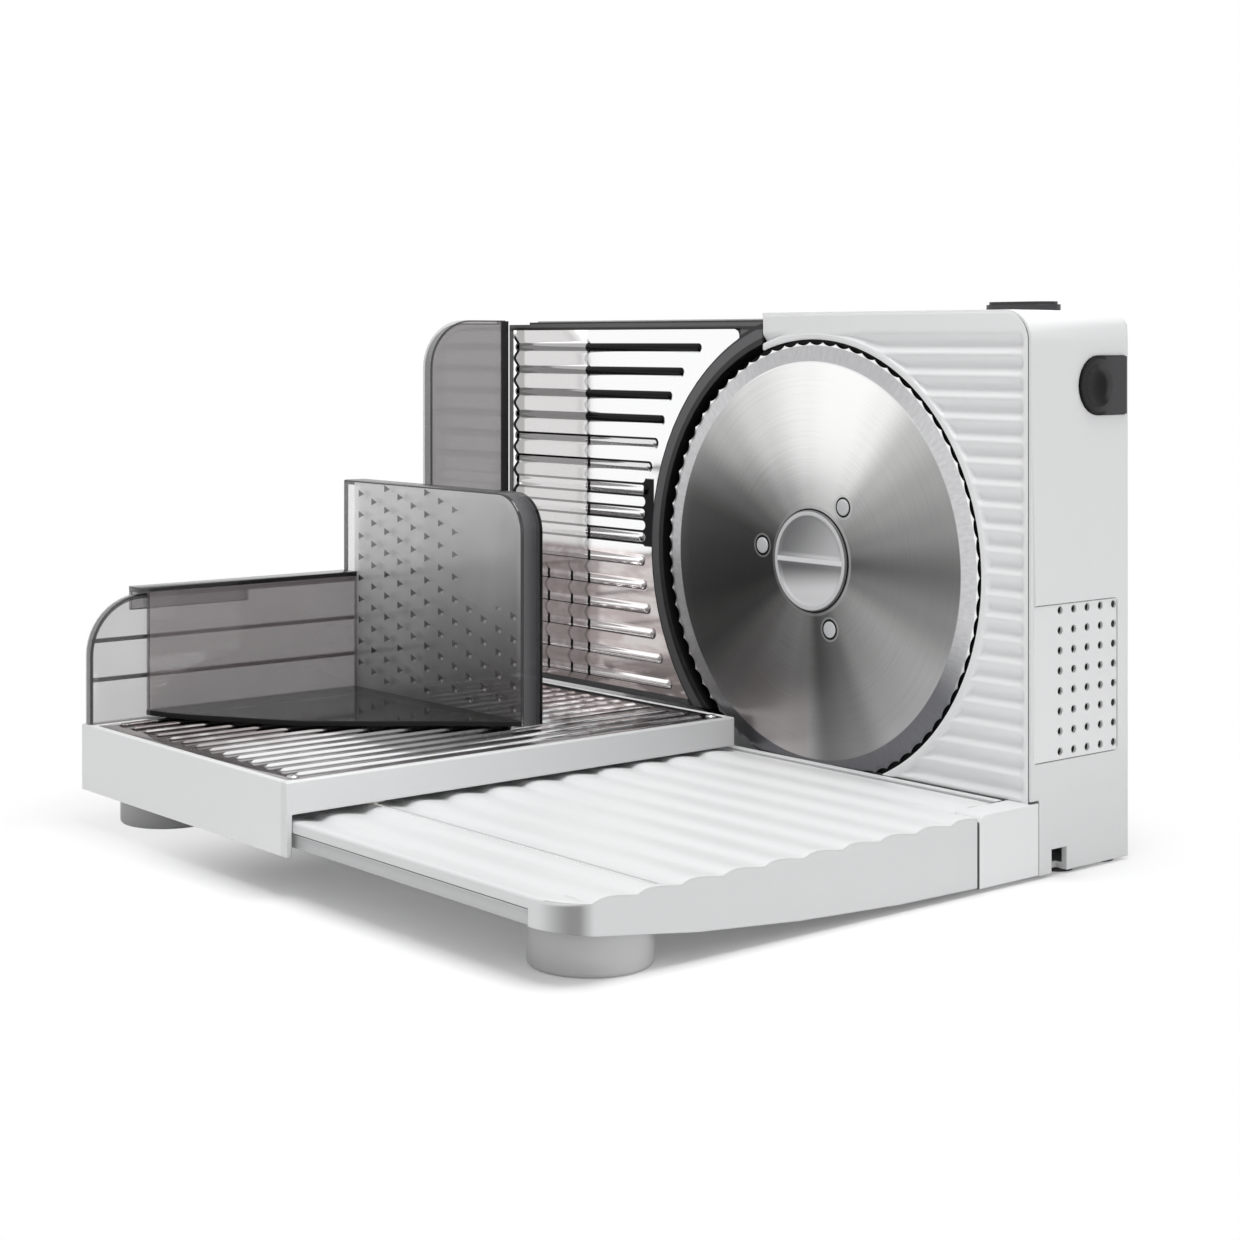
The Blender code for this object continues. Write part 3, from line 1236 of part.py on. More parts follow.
def thickness_knob(carrier):
    """The fluted knob at the back, on the tail of the quick-pitch screw."""
    flutes = 18
    flute_shares = (1.0, 1.0, 0.95, 0.93)
    skirt = 4.0 * MM
    flare = 1.5 * MM
    front = HOUSING_BACK + GAP
    back = front + KNOB_DEPTH
    centre = (GUIDE_X, KNOB_HEIGHT)
    outline = []
    for index in range(flutes * len(flute_shares)):
        angle = 2.0 * math.pi * index / (flutes * len(flute_shares))
        radius = KNOB_RADIUS * flute_shares[index % len(flute_shares)]
        outline.append((GUIDE_X + radius * math.cos(angle), KNOB_HEIGHT + radius * math.sin(angle)))
    knob = make("thickness_knob", prism("y", outline, front + skirt, back), carrier,
                grey_plastic("knob_grey"))
    flange = rod("y", centre, KNOB_RADIUS + flare, front, front + skirt + GAP, 40)
    dish = rod("y", centre, KNOB_RADIUS * 0.8, back - KNOB_FACE, back + OVERRUN, 32)
    reach = KNOB_RADIUS * 0.84
    bar = box(GUIDE_X - KNOB_FACE, GUIDE_X + KNOB_FACE, back - KNOB_FACE - GAP, back, KNOB_HEIGHT - reach,
              KNOB_HEIGHT + reach)
    bore_end = back - KNOB_FACE - KNOB_BORE_END
    bore = rod("y", centre, SCREW_RADIUS - TAIL_STEP + GAP / 10, front - OVERRUN, bore_end, 20)
    fuse(knob, make("knob_flange_guide", flange, carrier))
    cut(knob, make("knob_dish", dish, carrier))
    fuse(knob, make("knob_bar_guide", bar, carrier))
    cut(knob, make("knob_bore", bore, carrier))
    smooth(knob)
    thickness_screw(centre, bore_end - GAP, carrier)


def thickness_screw(centre, tail_end, carrier):
    """The screw whose steep four-start thread moves the nut, and its plain tail in the knob."""
    end_gap = 1.5 * MM
    tail = SCREW_RADIUS - TAIL_STEP
    tip = FENCE_DEPTH + GAP + COVER_DEPTH + FENCE_TRAVEL + end_gap
    rear = HOUSING_BACK - WALL - end_gap
    thread = threaded(centre, tip, rear, tail, SCREW_RADIUS, SCREW_LEAD, 4, 24, 16, 0.0, "y")
    screw = make("thickness_screw", thread, carrier, steel("thread_steel", 0.3))
    fuse(screw, make("tail_guide", rod("y", centre, tail, tip + GAP, tail_end, 20), carrier))
    smooth(screw, math.radians(50))


# Buttons


def power_switch(carrier):
    """The long button on top, held from below by a flange under the roof."""
    proud = 3.6 * MM
    shoulder = 1.2 * MM
    roof = HOUSING_TOP - WALL - GAP
    top = HOUSING_TOP + proud
    button = make("power_switch", prism("z", switch_outline(0.0), roof - GAP, top - shoulder), carrier,
                  grey_plastic("switch_grey"))
    cap = make("cap_guide", prism("z", switch_outline(-shoulder), roof, top), carrier)
    flange = prism("z", switch_outline(BUTTON_FLANGE), roof - SWITCH_STEM, roof)
    fuse(button, cap, make("switch_flange_guide", flange, carrier))
    return smooth(button)


def switch_carrier(carrier):
    """The block with the two contacts, fixed to the back wall under the button."""
    block = box(SWITCH_X - SWITCH_BLOCK_HALF, SWITCH_X + SWITCH_BLOCK_HALF, SWITCH_Y - SWITCH_BLOCK_REACH,
                HOUSING_BACK - WALL - GAP, SWITCH_BLOCK_TOP - SWITCH_BLOCK_HEIGHT, SWITCH_BLOCK_TOP)
    return make("switch_block", block, carrier, finish("block_black", (0.03, 0.03, 0.03), 0.6))


def switch_spring(carrier):
    flange_bottom = HOUSING_TOP - WALL - GAP - SWITCH_STEM
    return coil("switch_spring", (SWITCH_X, SWITCH_Y), SPRING_RADIUS, SPRING_WIRE, SWITCH_BLOCK_TOP + GAP,
                flange_bottom - GAP, 5, carrier, steel("spring_steel", 0.3))


def lock_button(carrier):
    """The D-shaped safety button with its round finger dish."""
    inner_face = HOUSING_RIGHT - WALL - GAP
    face = HOUSING_RIGHT + LOCK_PROUD
    button = make("lock_button", prism("x", lock_outline(0.0), inner_face - GAP, face), carrier,
                  grey_plastic("lock_grey"))
    edge = LOCK_BACK - WALL - GAP
    reach = LOCK_RADIUS + BUTTON_FLANGE
    lip = lock_outline(BUTTON_FLANGE)[:-2] + [(edge, LOCK_CENTRE_Z - reach), (edge, LOCK_CENTRE_Z + reach)]
    collar = make("lock_flange_guide", prism("x", lip, inner_face - LOCK_FLANGE, inner_face), carrier)
    fuse(button, collar)
    dish_radius = 8.2 * MM
    depth = 2.0 * MM
    ball = (dish_radius ** 2 + depth ** 2) / (2 * depth)
    steps = 4
    profile = [(0.0, face - depth)]
    for step in range(1, steps + 1):
        radius = dish_radius * step / steps
        profile.append((radius, face - depth + ball - math.sqrt(ball ** 2 - radius ** 2)))
    profile += [(dish_radius, face + OVERRUN), (0.0, face + OVERRUN)]
    dish = make("dish_cutter", turned("x", (LOCK_CENTRE_Y, LOCK_CENTRE_Z), profile, 24), carrier)
    cut(button, dish)
    return smooth(button)


def lock_switch(carrier):
    """The small switch that the safety button works, fixed to the back wall."""
    right = LOCK_SWITCH_FACE
    length = 6.5 * MM
    half = 7.0 * MM
    block = box(right - length, right, LOCK_CENTRE_Y - half, HOUSING_BACK - WALL - GAP, LOCK_CENTRE_Z - half,
                LOCK_CENTRE_Z + half)
    well = rod("x", (LOCK_CENTRE_Y, LOCK_CENTRE_Z), SPRING_RADIUS + SPRING_WIRE / 2 + GAP,
               right - SPRING_SINK - LOCK_TRAVEL - GAP, right + OVERRUN, 24)
    switch = make("lock_switch", block, carrier, finish("lock_black", (0.03, 0.03, 0.03), 0.6))
    return cut(switch, make("spring_well", well, carrier))


def lock_spring(carrier):
    flange_back = HOUSING_RIGHT - WALL - GAP - LOCK_FLANGE
    return coil("lock_spring", (LOCK_CENTRE_Y, LOCK_CENTRE_Z), SPRING_RADIUS, SPRING_WIRE,
                LOCK_SWITCH_FACE - SPRING_SINK, flange_back - GAP, 4, carrier,
                steel("lock_spring_steel", 0.3), "x")


# Tray group


def tray_crest(y):
    """Height of the wave crests, which rise gently towards the blade."""
    share = (y - TRAY_FRONT) / (TRAY_INNER - TRAY_FRONT)
    return TRAY_CREST_OUT + (TRAY_CREST_IN - TRAY_CREST_OUT) * share


def tray_top(inset):
    """The wavy upper surface in side view, from the outer edge to the hinge."""
    waves = 11
    steps = 6
    shape_shares = (1.0, 0.2, 0.0, 0.12, 0.4, 0.75)
    flat = 2.6 * MM
    bevel_drop = 1.2 * MM
    bevel_width = 1.5 * MM
    start = TRAY_INNER - flat - waves * TRAY_PITCH
    edge = tray_crest(TRAY_FRONT)
    points = [(TRAY_FRONT + inset, edge - bevel_drop - inset),
              (TRAY_FRONT + bevel_width + inset, edge - inset)]
    for index in range(waves * steps + 1):
        y = start + TRAY_PITCH * index / steps
        points.append((y, tray_crest(y) - TRAY_WAVE * shape_shares[index % steps] - inset))
    points[-1] = (TRAY_INNER - inset, points[-1][1])
    return points


def tray_belly(inset):
    """The lower edge in side view, from the hinge round its knuckle to the thin outer end."""
    belly_shares = ((0.127, 0.092), (0.305, 0.113), (0.53, 0.205), (0.739, 0.353), (0.938, 0.572),
                    (1.0, 0.65))
    run = TRAY_FRONT - TRAY_INNER
    reach = abs(HINGE_Y - TRAY_INNER) - inset
    points = arc((HINGE_Y, HINGE_Z), reach, 0.0, -70.0, 6)
    for along, height in belly_shares:
        y = TRAY_INNER + run * along
        points.append((y if along < 1.0 else y + inset, TRAY_CREST_OUT * height + inset))
    return points


def tray_board(carrier):
    """The folding board, hollow below, with knuckle bores, foot seats and the guide groove."""
    outline = tray_top(0.0) + tray_belly(0.0)
    tray = make("tray_board", prism("x", outline, TRAY_LEFT, TRAY_RIGHT), carrier,
                white_plastic("tray_white"))
    plan = rounded_box(TRAY_LEFT, TRAY_RIGHT, TRAY_FRONT, 2 * TRAY_CORNER, TRAY_CORNER, 6)
    keep(tray, make("plan_guide", prism("z", plan, -OVERRUN, LUG_TOP + OVERRUN), carrier))
    left = TRAY_LEFT + TRAY_WALL
    right = TRAY_RIGHT - TRAY_WALL
    inner_corner = TRAY_CORNER - TRAY_WALL
    inner_plan = rounded_box(left, right, TRAY_FRONT + TRAY_WALL, 2 * TRAY_CORNER, inner_corner, 6)
    hollow = make("belly_cutter", prism("x", hollow_outline(), left, right), carrier)
    keep(hollow, make("inner_plan_guide", prism("z", inner_plan, -2 * OVERRUN, LUG_TOP + OVERRUN), carrier))
    cut(tray, hollow)
    knuckles(tray, carrier)
    foot_seats(tray, carrier)
    edge_details(tray, carrier)
    return smooth(tray, math.radians(24))


def knuckles(tray, carrier):
    """The corners cut out for the lugs, each closed by a cheek with a bearing for its hinge pin."""
    lug = LUG_WIDTH + 2 * GAP
    end = LUG_FRONT - LUG_CLEARANCE
    bearing = HINGE_PIN_RADIUS + BOSS_WALL
    depth = 12.0 * MM
    floor = 2.7 * MM
    rise = 2.0 * MM
    block = arc((HINGE_Y, HINGE_Z), bearing, 180.0, 360.0, 8)
    block += [(HINGE_Y + bearing, HINGE_Z + rise), (HINGE_Y - bearing, HINGE_Z + rise)]
    for outer, inward in ((TRAY_LEFT, 1.0), (TRAY_RIGHT, -1.0)):
        face = outer + lug * inward
        low, high = sorted((outer - OVERRUN * inward, face))
        room = box(low, high, end, OVERRUN, -OVERRUN, LUG_TOP + OVERRUN)
        cut(tray, make("lug_cutter", room, carrier))
        low, high = sorted((face, face + WALL * inward))
        cheek = make("cheek_guide", prism("x", cheek_outline(), low, high), carrier)
        low, high = sorted((outer + WALL * inward / 2, face + WALL * inward))
        wall = box(low, high, end - WALL, end, floor, TRAY_CREST_OUT - WALL)
        closing = make("cheek_front_guide", wall, carrier)
        low, high = sorted((face, face + depth * inward))
        bed = make("knuckle_guide", prism("x", block, low, high), carrier)
        low, high = sorted((face - OVERRUN * inward, face + (depth + OVERRUN) * inward))
        bore = rod("x", (HINGE_Y, HINGE_Z), HINGE_PIN_RADIUS + GAP / 6, low, high, 20)
        fuse(tray, cheek, closing, bed)
        cut(tray, make("knuckle_bore", bore, carrier))


def hollow_outline():
    """The space under the board's skin, open downwards."""
    top = tray_top(TRAY_WALL)
    lowest = -OVERRUN
    return [(TRAY_FRONT + TRAY_WALL, lowest)] + top[1:] + [(TRAY_INNER - TRAY_WALL, lowest)]


def cheek_outline():
    """The side of the knuckle end, inside the lug."""
    back = TRAY_INNER - GAP
    reach = abs(HINGE_Y - TRAY_INNER) - GAP
    front = LUG_FRONT - LUG_CLEARANCE - WALL
    roof = TRAY_CREST_IN - TRAY_WAVE - 2 * GAP
    start = 180.0 + math.degrees(math.acos((HINGE_Y - front) / reach))
    return [(front, roof)] + arc((HINGE_Y, HINGE_Z), reach, start, 360.0, 8) + [(back, roof)]


def foot_places():
    y = TRAY_FRONT + FOOT_INSET_Y
    return (("tray_foot_right", (TRAY_RIGHT - FOOT_INSET_X, y)),
            ("tray_foot_left", (TRAY_LEFT + FOOT_INSET_X, y)))


def foot_seats(tray, carrier):
    """A round seat under the skin for each foot."""
    step = 4.0 * MM
    roof = FOOT_HEIGHT + GAP
    for name, centre in foot_places():
        pad = rod("z", centre, FOOT_RADIUS - step, roof, TRAY_CREST_OUT - TRAY_WAVE - GAP, 28)
        room = rod("z", centre, FOOT_RADIUS + GAP, -OVERRUN, roof, 36)
        fuse(tray, make("seat_guide", pad, carrier))
        cut(tray, make("seat_cutter", room, carrier))


def edge_details(tray, carrier):
    """The set-back band under the outer lip, and the groove that the carriage's shoe follows."""
    lip = 7.0 * MM
    band = 1.6 * MM
    margin = 1.0 * MM
    groove_width = 2.4 * MM
    groove_depth = 1.2 * MM
    under = TRAY_CREST_OUT - lip
    block = TRAY_CORNER + margin
    setback = box(TRAY_LEFT + block, TRAY_RIGHT - block, TRAY_FRONT - OVERRUN, TRAY_FRONT + band, -OVERRUN,
                  under)
    top = tray_crest(RAIL_Y)
    right = TRAY_RIGHT - TRAY_WALL
    low = top - TRAY_WAVE - groove_depth
    half = groove_width / 2
    groove = box(CARRIAGE_LEFT, right, RAIL_Y - half, RAIL_Y + half, low, top + OVERRUN)
    bed = box(TRAY_LEFT + WALL, right, RAIL_Y - groove_width, RAIL_Y + groove_width, low - WALL,
              top - TRAY_WAVE - WALL / 2)
    fuse(tray, make("groove_bed_guide", bed, carrier))
    cut(tray, make("band_cutter", setback, carrier), make("groove_cutter", groove, carrier))


def tray_feet(carrier):
    material = finish("foot_grey", (0.42, 0.43, 0.45), 0.5)
    edge = 1.2 * MM
    for name, centre in foot_places():
        top = FOOT_HEIGHT
        profile = [(0.0, 0.0), (FOOT_RADIUS - edge, 0.0), (FOOT_RADIUS, edge), (FOOT_RADIUS, top),
                   (0.0, top)]
        smooth(make(name, turned("z", centre, profile, 36), carrier, material))


# Carriage group


def carriage_shoe(carrier):
    """The strip that slides along the tray's groove and carries the carriage."""
    crest = tray_crest(RAIL_Y + SHOE_HALF) + GAP
    left = CARRIAGE_LEFT + SHOE_INSET
    right = CARRIAGE_RIGHT - SHOE_INSET
    strip = box(left, right, RAIL_Y - SHOE_HALF, RAIL_Y + SHOE_HALF, crest, SHOE_TOP)
    shoe = make("carriage_shoe", strip, carrier, finish("shoe_nylon", (0.75, 0.75, 0.73), 0.45))
    low = tray_crest(RAIL_Y) - TRAY_WAVE - GAP
    fin = box(left, right, RAIL_Y - SHOE_KEEL, RAIL_Y + SHOE_KEEL, low, SHOE_TOP - GAP)
    fuse(shoe, make("keel_guide", fin, carrier))
    return shoe


def carriage_frame(carrier):
    """The white sledge: hollow below, skirt over the tray's edge, bar over the shoe, seat for the plate."""
    bar = 6.0 * MM
    slab = box(CARRIAGE_LEFT, CARRIAGE_RIGHT, CARRIAGE_FRONT, CARRIAGE_BACK, CARRIAGE_BOTTOM, CARRIAGE_TOP)
    frame = make("carriage_frame", slab, carrier, white_plastic("carriage_white"))
    skirt = box(CARRIAGE_LEFT, CARRIAGE_RIGHT, CARRIAGE_FRONT, CARRIAGE_FRONT + SKIRT_WALL, SKIRT_BOTTOM,
                CARRIAGE_TOP - WALL)
    fuse(frame, make("skirt_guide", skirt, carrier))
    floor = PLATE_RECESS + WALL
    ceiling = CARRIAGE_TOP - floor
    left = CARRIAGE_LEFT + WALL
    right = CARRIAGE_RIGHT - WALL
    for low, high in ((CARRIAGE_FRONT + SKIRT_WALL, RAIL_Y - bar), (RAIL_Y + bar, CARRIAGE_BACK - WALL)):
        room = box(left, right, low, high, CARRIAGE_BOTTOM - OVERRUN, ceiling)
        cut(frame, make("sledge_cutter", room, carrier))
    seat = prism("z", plate_outline(0.0), CARRIAGE_TOP - PLATE_RECESS, CARRIAGE_TOP + OVERRUN)
    return cut(frame, make("plate_seat", seat, carrier))


def plate_outline(inset):
    left = CARRIAGE_LEFT + PLATE_INSET_LEFT + inset
    right = CARRIAGE_RIGHT - CARRIAGE_RIM - inset
    front = CARRIAGE_FRONT + CARRIAGE_RIM + inset
    back = CARRIAGE_BACK - CARRIAGE_RIM - inset
    return rounded_box(left, right, front, back, PLATE_CORNER, 3)


def carriage_plate(carrier):
    """The steel sheet that the food rides on, with pressed ribs across it."""
    rise = 1.2 * MM
    half = 2.5 * MM
    first_inset = 16.5 * MM
    last_inset = 9.5 * MM
    front_inset = 12.0 * MM
    back_inset = 14.0 * MM
    low = CARRIAGE_TOP - PLATE_RECESS + GAP / 3
    high = CARRIAGE_TOP
    plate = make("carriage_plate", prism("z", plate_outline(GAP), low, high), carrier,
                 steel("sledge_steel", 0.1))
    first = CARRIAGE_LEFT + first_inset
    last = CARRIAGE_RIGHT - last_inset
    front = CARRIAGE_FRONT + front_inset
    back = CARRIAGE_BACK - back_inset
    ribs = bmesh.new()
    for index in range(CARRIAGE_RIB_COUNT):
        x = first + (last - first) * index / (CARRIAGE_RIB_COUNT - 1)
        pill("z", (x, front), (x, back), half, low + PLATE_RECESS / 3, high + rise, 0.5, ribs)
    fuse(plate, make("plate_rib_guide", ribs, carrier))
    for place in plate_screw_places():
        hole = rod("z", place, SCREW_SHANK + GAP, low - OVERRUN, high + OVERRUN, 12)
        cut(plate, make("plate_screw_hole", hole, carrier))
    return smooth(plate)


def plate_screw_places():
    inset = 4.2 * MM
    return [(CARRIAGE_RIGHT - CARRIAGE_RIM - inset, CARRIAGE_FRONT + CARRIAGE_RIM + inset),
            (CARRIAGE_RIGHT - CARRIAGE_RIM - inset, CARRIAGE_BACK - CARRIAGE_RIM - inset)]


# Guard


def guard_base(inset):
    """Where a guard's outline begins: on the carriage, or below it for the space inside the flange."""
    return CARRIAGE_TOP + GAP - (OVERRUN if inset else 0.0)


def guard_outline_low(inset):
    """The low wall, whose outer upper corner is a quarter round."""
    margin = 1.0 * MM
    front = CARRIAGE_FRONT + margin + inset
    radius = GUARD_LOW_CORNER - inset
    top = GUARD_LOW_TOP - inset
    base = guard_base(inset)
    outline = [(GUARD_BACK, base), (GUARD_BACK, top)]
    outline += arc((front + radius, top - radius), radius, 90.0, 180.0, 7)
    return outline + [(front, base)]


def guard_outline_tall(inset):
    """The tall finger guard beside the stop plate."""
    front = GUARD_TALL_FRONT + inset
    radius = GUARD_TALL_CORNER - inset
    top = GUARD_TALL_TOP - inset
    base = guard_base(inset)
    outline = [(GUARD_BACK, base), (GUARD_BACK, top)]
    outline += arc((front + radius, top - radius), radius, 90.0, 180.0, 7)
    return outline + [(front, base)]


def open_backed(outline):
    """The same outline with its two back corners pushed out past the guard's back edge."""
    return [(GUARD_BACK + OVERRUN, b) if index < 2 else (a, b) for index, (a, b) in enumerate(outline)]


def carriage_guard(carrier):
    """One clear moulding: low wall with two rails, and the tall guard joggled outward beside it."""
    rail = 2.2 * MM
    margin = 2.0 * MM
    lip = GUARD_LOW_X - GUARD_LIP
    flange = GUARD_TALL_X - GUARD_FLANGE
    base = CARRIAGE_TOP + GAP
    low_wall = prism("x", guard_outline_low(0.0), lip, GUARD_LOW_X + GUARD_WALL)
    guard = make("carriage_guard", low_wall, carrier, smoke_plastic("guard_smoke"))
    low_room = prism("x", open_backed(guard_outline_low(GUARD_WALL)), lip - OVERRUN, GUARD_LOW_X)
    cut(guard, make("low_pocket", low_room, carrier))
    for rise in GUARD_RAIL_RISES:
        height = CARRIAGE_TOP + rise
        strip = box(GUARD_LOW_X - rail, GUARD_LOW_X + GUARD_WALL / 2, CARRIAGE_FRONT + margin,
                    GUARD_TALL_FRONT, height - rail / 2, height + rail / 2)
        fuse(guard, make("rail_guide", strip, carrier))
    tall_wall = prism("x", guard_outline_tall(0.0), flange, GUARD_TALL_X + GUARD_WALL)
    tall = make("tall_guide", tall_wall, carrier)
    tall_room = prism("x", open_backed(guard_outline_tall(GUARD_WALL)), flange - OVERRUN, GUARD_TALL_X)
    cut(tall, make("tall_pocket", tall_room, carrier))
    fuse(guard, tall)
    left = GUARD_TALL_X + GUARD_WALL / 2
    right = GUARD_LOW_X + GUARD_WALL / 2
    web = box(left, right, GUARD_TALL_FRONT, GUARD_TALL_FRONT + GUARD_WALL, base, GUARD_LOW_TOP)
    floor = box(left, right, GUARD_TALL_FRONT, GUARD_BACK, base, base + GUARD_WALL)
    fuse(guard, make("web_guide", web, carrier), make("floor_web_guide", floor, carrier))
    return smooth(guard)


# Pusher group


def pusher_plate_outline(inset):
    """The spiked plate, notched over the low guard and round at its free upper corner."""
    right = PUSHER_RIGHT - inset
    top = PUSHER_TOP - inset
    radius = PUSHER_CORNER - inset
    outline = [(PUSHER_GRIP_X, PUSHER_BASE), (right, PUSHER_BASE)]
    outline += arc((right - radius, top - radius), radius, 0.0, 90.0, 6)
    return outline + [(PUSHER_BAR_LEFT, top), (PUSHER_BAR_LEFT, BAR_BOTTOM), (PUSHER_GRIP_X, BAR_BOTTOM)]


def shelf_outline():
    """The floor of the pusher, its free edge one long curve from the grip to the plate."""
    plate = PUSHER_PLATE_Y
    run_x = PUSHER_RIGHT - PUSHER_GRIP_X
    run_y = plate - GRIP_FRONT
    curve_shares = ((0.0, 0.0), (0.1, 0.03), (0.19, 0.08), (0.28, 0.15), (0.37, 0.215), (0.45, 0.275),
                    (0.53, 0.345), (0.61, 0.455), (0.68, 0.555), (0.75, 0.66), (0.82, 0.765), (0.91, 0.885),
                    (1.0, 1.0))
    outline = [(PUSHER_GRIP_X + run_x * across, GRIP_FRONT + run_y * along)
               for across, along in curve_shares]
    return outline + [(PUSHER_RIGHT, plate + PUSHER_WALL), (PUSHER_GRIP_X, plate + PUSHER_WALL)]


def pusher(carrier):
    """Clear plastic pusher: grip wall hooked over the guard, floor, and plate with rows of spikes."""
    hook_drop = 13.5 * MM
    hook_length = 60.0 * MM
    plate_back = PUSHER_PLATE_Y + PUSHER_WALL
    flange = plate_back + PUSHER_FLANGE
    body = make("pusher", prism("y", pusher_plate_outline(0.0), PUSHER_PLATE_Y, flange), carrier,
                smoke_plastic("pusher_smoke"))
    past_left = PUSHER_BAR_LEFT - OVERRUN
    past_base = PUSHER_BASE - OVERRUN
    room = [(past_left, PUSHER_TOP - PUSHER_WALL), (past_left, past_base),
            (PUSHER_RIGHT - PUSHER_WALL, past_base)]
    room += pusher_plate_outline(PUSHER_WALL)[2:-3]
    cut(body, make("plate_room", prism("y", room, plate_back, flange + OVERRUN), carrier))
    grip_right = PUSHER_GRIP_X + PUSHER_WALL
    grip = make("grip_guide", prism("x", grip_outline(), PUSHER_GRIP_X, grip_right), carrier)
    shelf = make("shelf_guide", prism("z", shelf_outline(), PUSHER_BASE, PUSHER_BASE + PUSHER_WALL), carrier)
    bar_top = BAR_BOTTOM + PUSHER_WALL
    bar = box(PUSHER_BAR_LEFT, grip_right, HOOK_FRONT, PUSHER_PLATE_Y + GAP, BAR_BOTTOM, bar_top)
    hook = box(PUSHER_BAR_LEFT, PUSHER_BAR_LEFT + PUSHER_WALL, HOOK_FRONT, HOOK_FRONT + hook_length,
               BAR_BOTTOM - hook_drop, BAR_BOTTOM + GAP)
    fuse(body, grip, shelf, make("bar_guide", bar, carrier), make("hook_guide", hook, carrier))
    fuse(body, make("spike_guide", spikes(plate_back), carrier))
    return smooth(body)


def grip_outline():
    back = PUSHER_PLATE_Y + GAP
    top = BAR_BOTTOM + GAP
    return [(GRIP_FRONT, PUSHER_BASE), (back, PUSHER_BASE), (back, top), (GRIP_FRONT, top)]


def spikes(face):
    """Small pyramids on the plate's food side; each column starts a third of a pitch lower."""
    half = 1.1 * MM
    height = 2.4 * MM
    sink = 0.6 * MM
    first_inset = 7.3 * MM
    top_inset = 2.7 * MM
    short_inset = 50.0 * MM
    base_inset = 7.0 * MM
    long_columns = 8
    corners = ((-1.0, 0.0), (0.0, -1.0), (1.0, 0.0), (0.0, 1.0))
    lowest = PUSHER_BASE + base_inset
    builder = bmesh.new()
    for column in range(SPIKE_COLUMNS):
        x = PUSHER_GRIP_X + first_inset + SPIKE_PITCH_X * column
        z = PUSHER_TOP - top_inset - SPIKE_PITCH_Z * ((column + 1) % 3) / 3
        while column >= long_columns and z > PUSHER_TOP - short_inset:
            z -= SPIKE_PITCH_Z
        while z > lowest:
            foot = [builder.verts.new((x + a * half, face - sink, z + b * half)) for a, b in corners]
            tip = builder.verts.new((x, face + height, z))
            builder.faces.new(foot)
            for index in range(4):
                builder.faces.new((foot[index], foot[(index + 1) % 4], tip))
            z -= SPIKE_PITCH_Z
    return builder


def plate_screws(carrier):
    bevel = 0.6 * MM
    dome = 0.7 * MM
    material = steel("plate_screw_steel", 0.35)
    low = CARRIAGE_TOP - PLATE_RECESS + GAP / 3
    head = CARRIAGE_TOP + GAP / 3
    profile = [(0.0, low), (SCREW_SHANK, low), (SCREW_SHANK, head), (SCREW_HEAD - bevel, head),
               (SCREW_HEAD - 2 * bevel, head + dome), (0.0, head + dome)]
    for index, place in enumerate(plate_screw_places()):
        smooth(make(f"plate_screw_{index + 1}", turned("z", place, profile, 12), carrier, material))


def build():
    clear_scene()
    centre_x = (FOOTPRINT_LEFT + FOOTPRINT_RIGHT) / 2
    centre_y = (FOOTPRINT_FRONT + FOOTPRINT_BACK) / 2
    slicer = pivot("slicer", (0.0, 0.0, 0.0))
    slicer.location = (-centre_x, -centre_y, 0.0)

    housing_shell(slicer)
    front_panel(slicer)
    rear_cover(slicer)
    rear_screws(slicer)
    vent_grille(slicer)
    base_frame(slicer)
    hinge_pins(slicer)
    housing_pads(slicer)
    motor(slicer)
    worm_bearing(slicer)
    spindle_bush(slicer)
    switch_carrier(slicer)
    switch_spring(slicer)
    lock_switch(slicer)

    rotor = pivot("motor_axis", (MOTOR_LEFT, DRIVE_Y, MOTOR_HEIGHT), slicer)
    worm_shaft(rotor)
    blade_axis = pivot("blade_axis", (0.0, 0.0, BLADE_HEIGHT), slicer)
    blade(blade_axis)
    blade_pins(blade_axis)
    spindle(blade_axis)
    hub_knob(blade_axis)
    drive_gear(blade_axis)

    stop = pivot("stop_plate", (GUIDE_X, 0.0, KNOB_HEIGHT), slicer)
    fence_frame(stop)
    fence_plate(stop)
    fence_back_cover(stop)
    fence_carriers(stop)
    dial = pivot("dial_axis", (GUIDE_X, HOUSING_BACK, KNOB_HEIGHT), slicer)
    thickness_knob(dial)
    power_switch(pivot("power_slide", (SWITCH_X, SWITCH_Y, HOUSING_TOP), slicer))
    lock = pivot("lock_slide", (HOUSING_RIGHT, LOCK_CENTRE_Y, LOCK_CENTRE_Z), slicer)
    lock_button(lock)
    lock_spring(lock)

    hinge = pivot("tray_axis", (0.0, HINGE_Y, HINGE_Z), slicer)
    tray_board(hinge)
    tray_feet(hinge)
    runner = pivot("shoe_slide", (CARRIAGE_LEFT, RAIL_Y, SHOE_TOP), hinge)
    carriage_shoe(runner)
    sledge = pivot("sledge_slide", (CARRIAGE_LEFT, CARRIAGE_FRONT, CARRIAGE_BOTTOM), runner)
    carriage_frame(sledge)
    carriage_plate(sledge)
    plate_screws(sledge)
    carriage_guard(sledge)
    pusher(pivot("pusher_slide", (PUSHER_BAR_LEFT, PUSHER_PLATE_Y, BAR_BOTTOM), sledge))


build()
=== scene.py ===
import json
import math

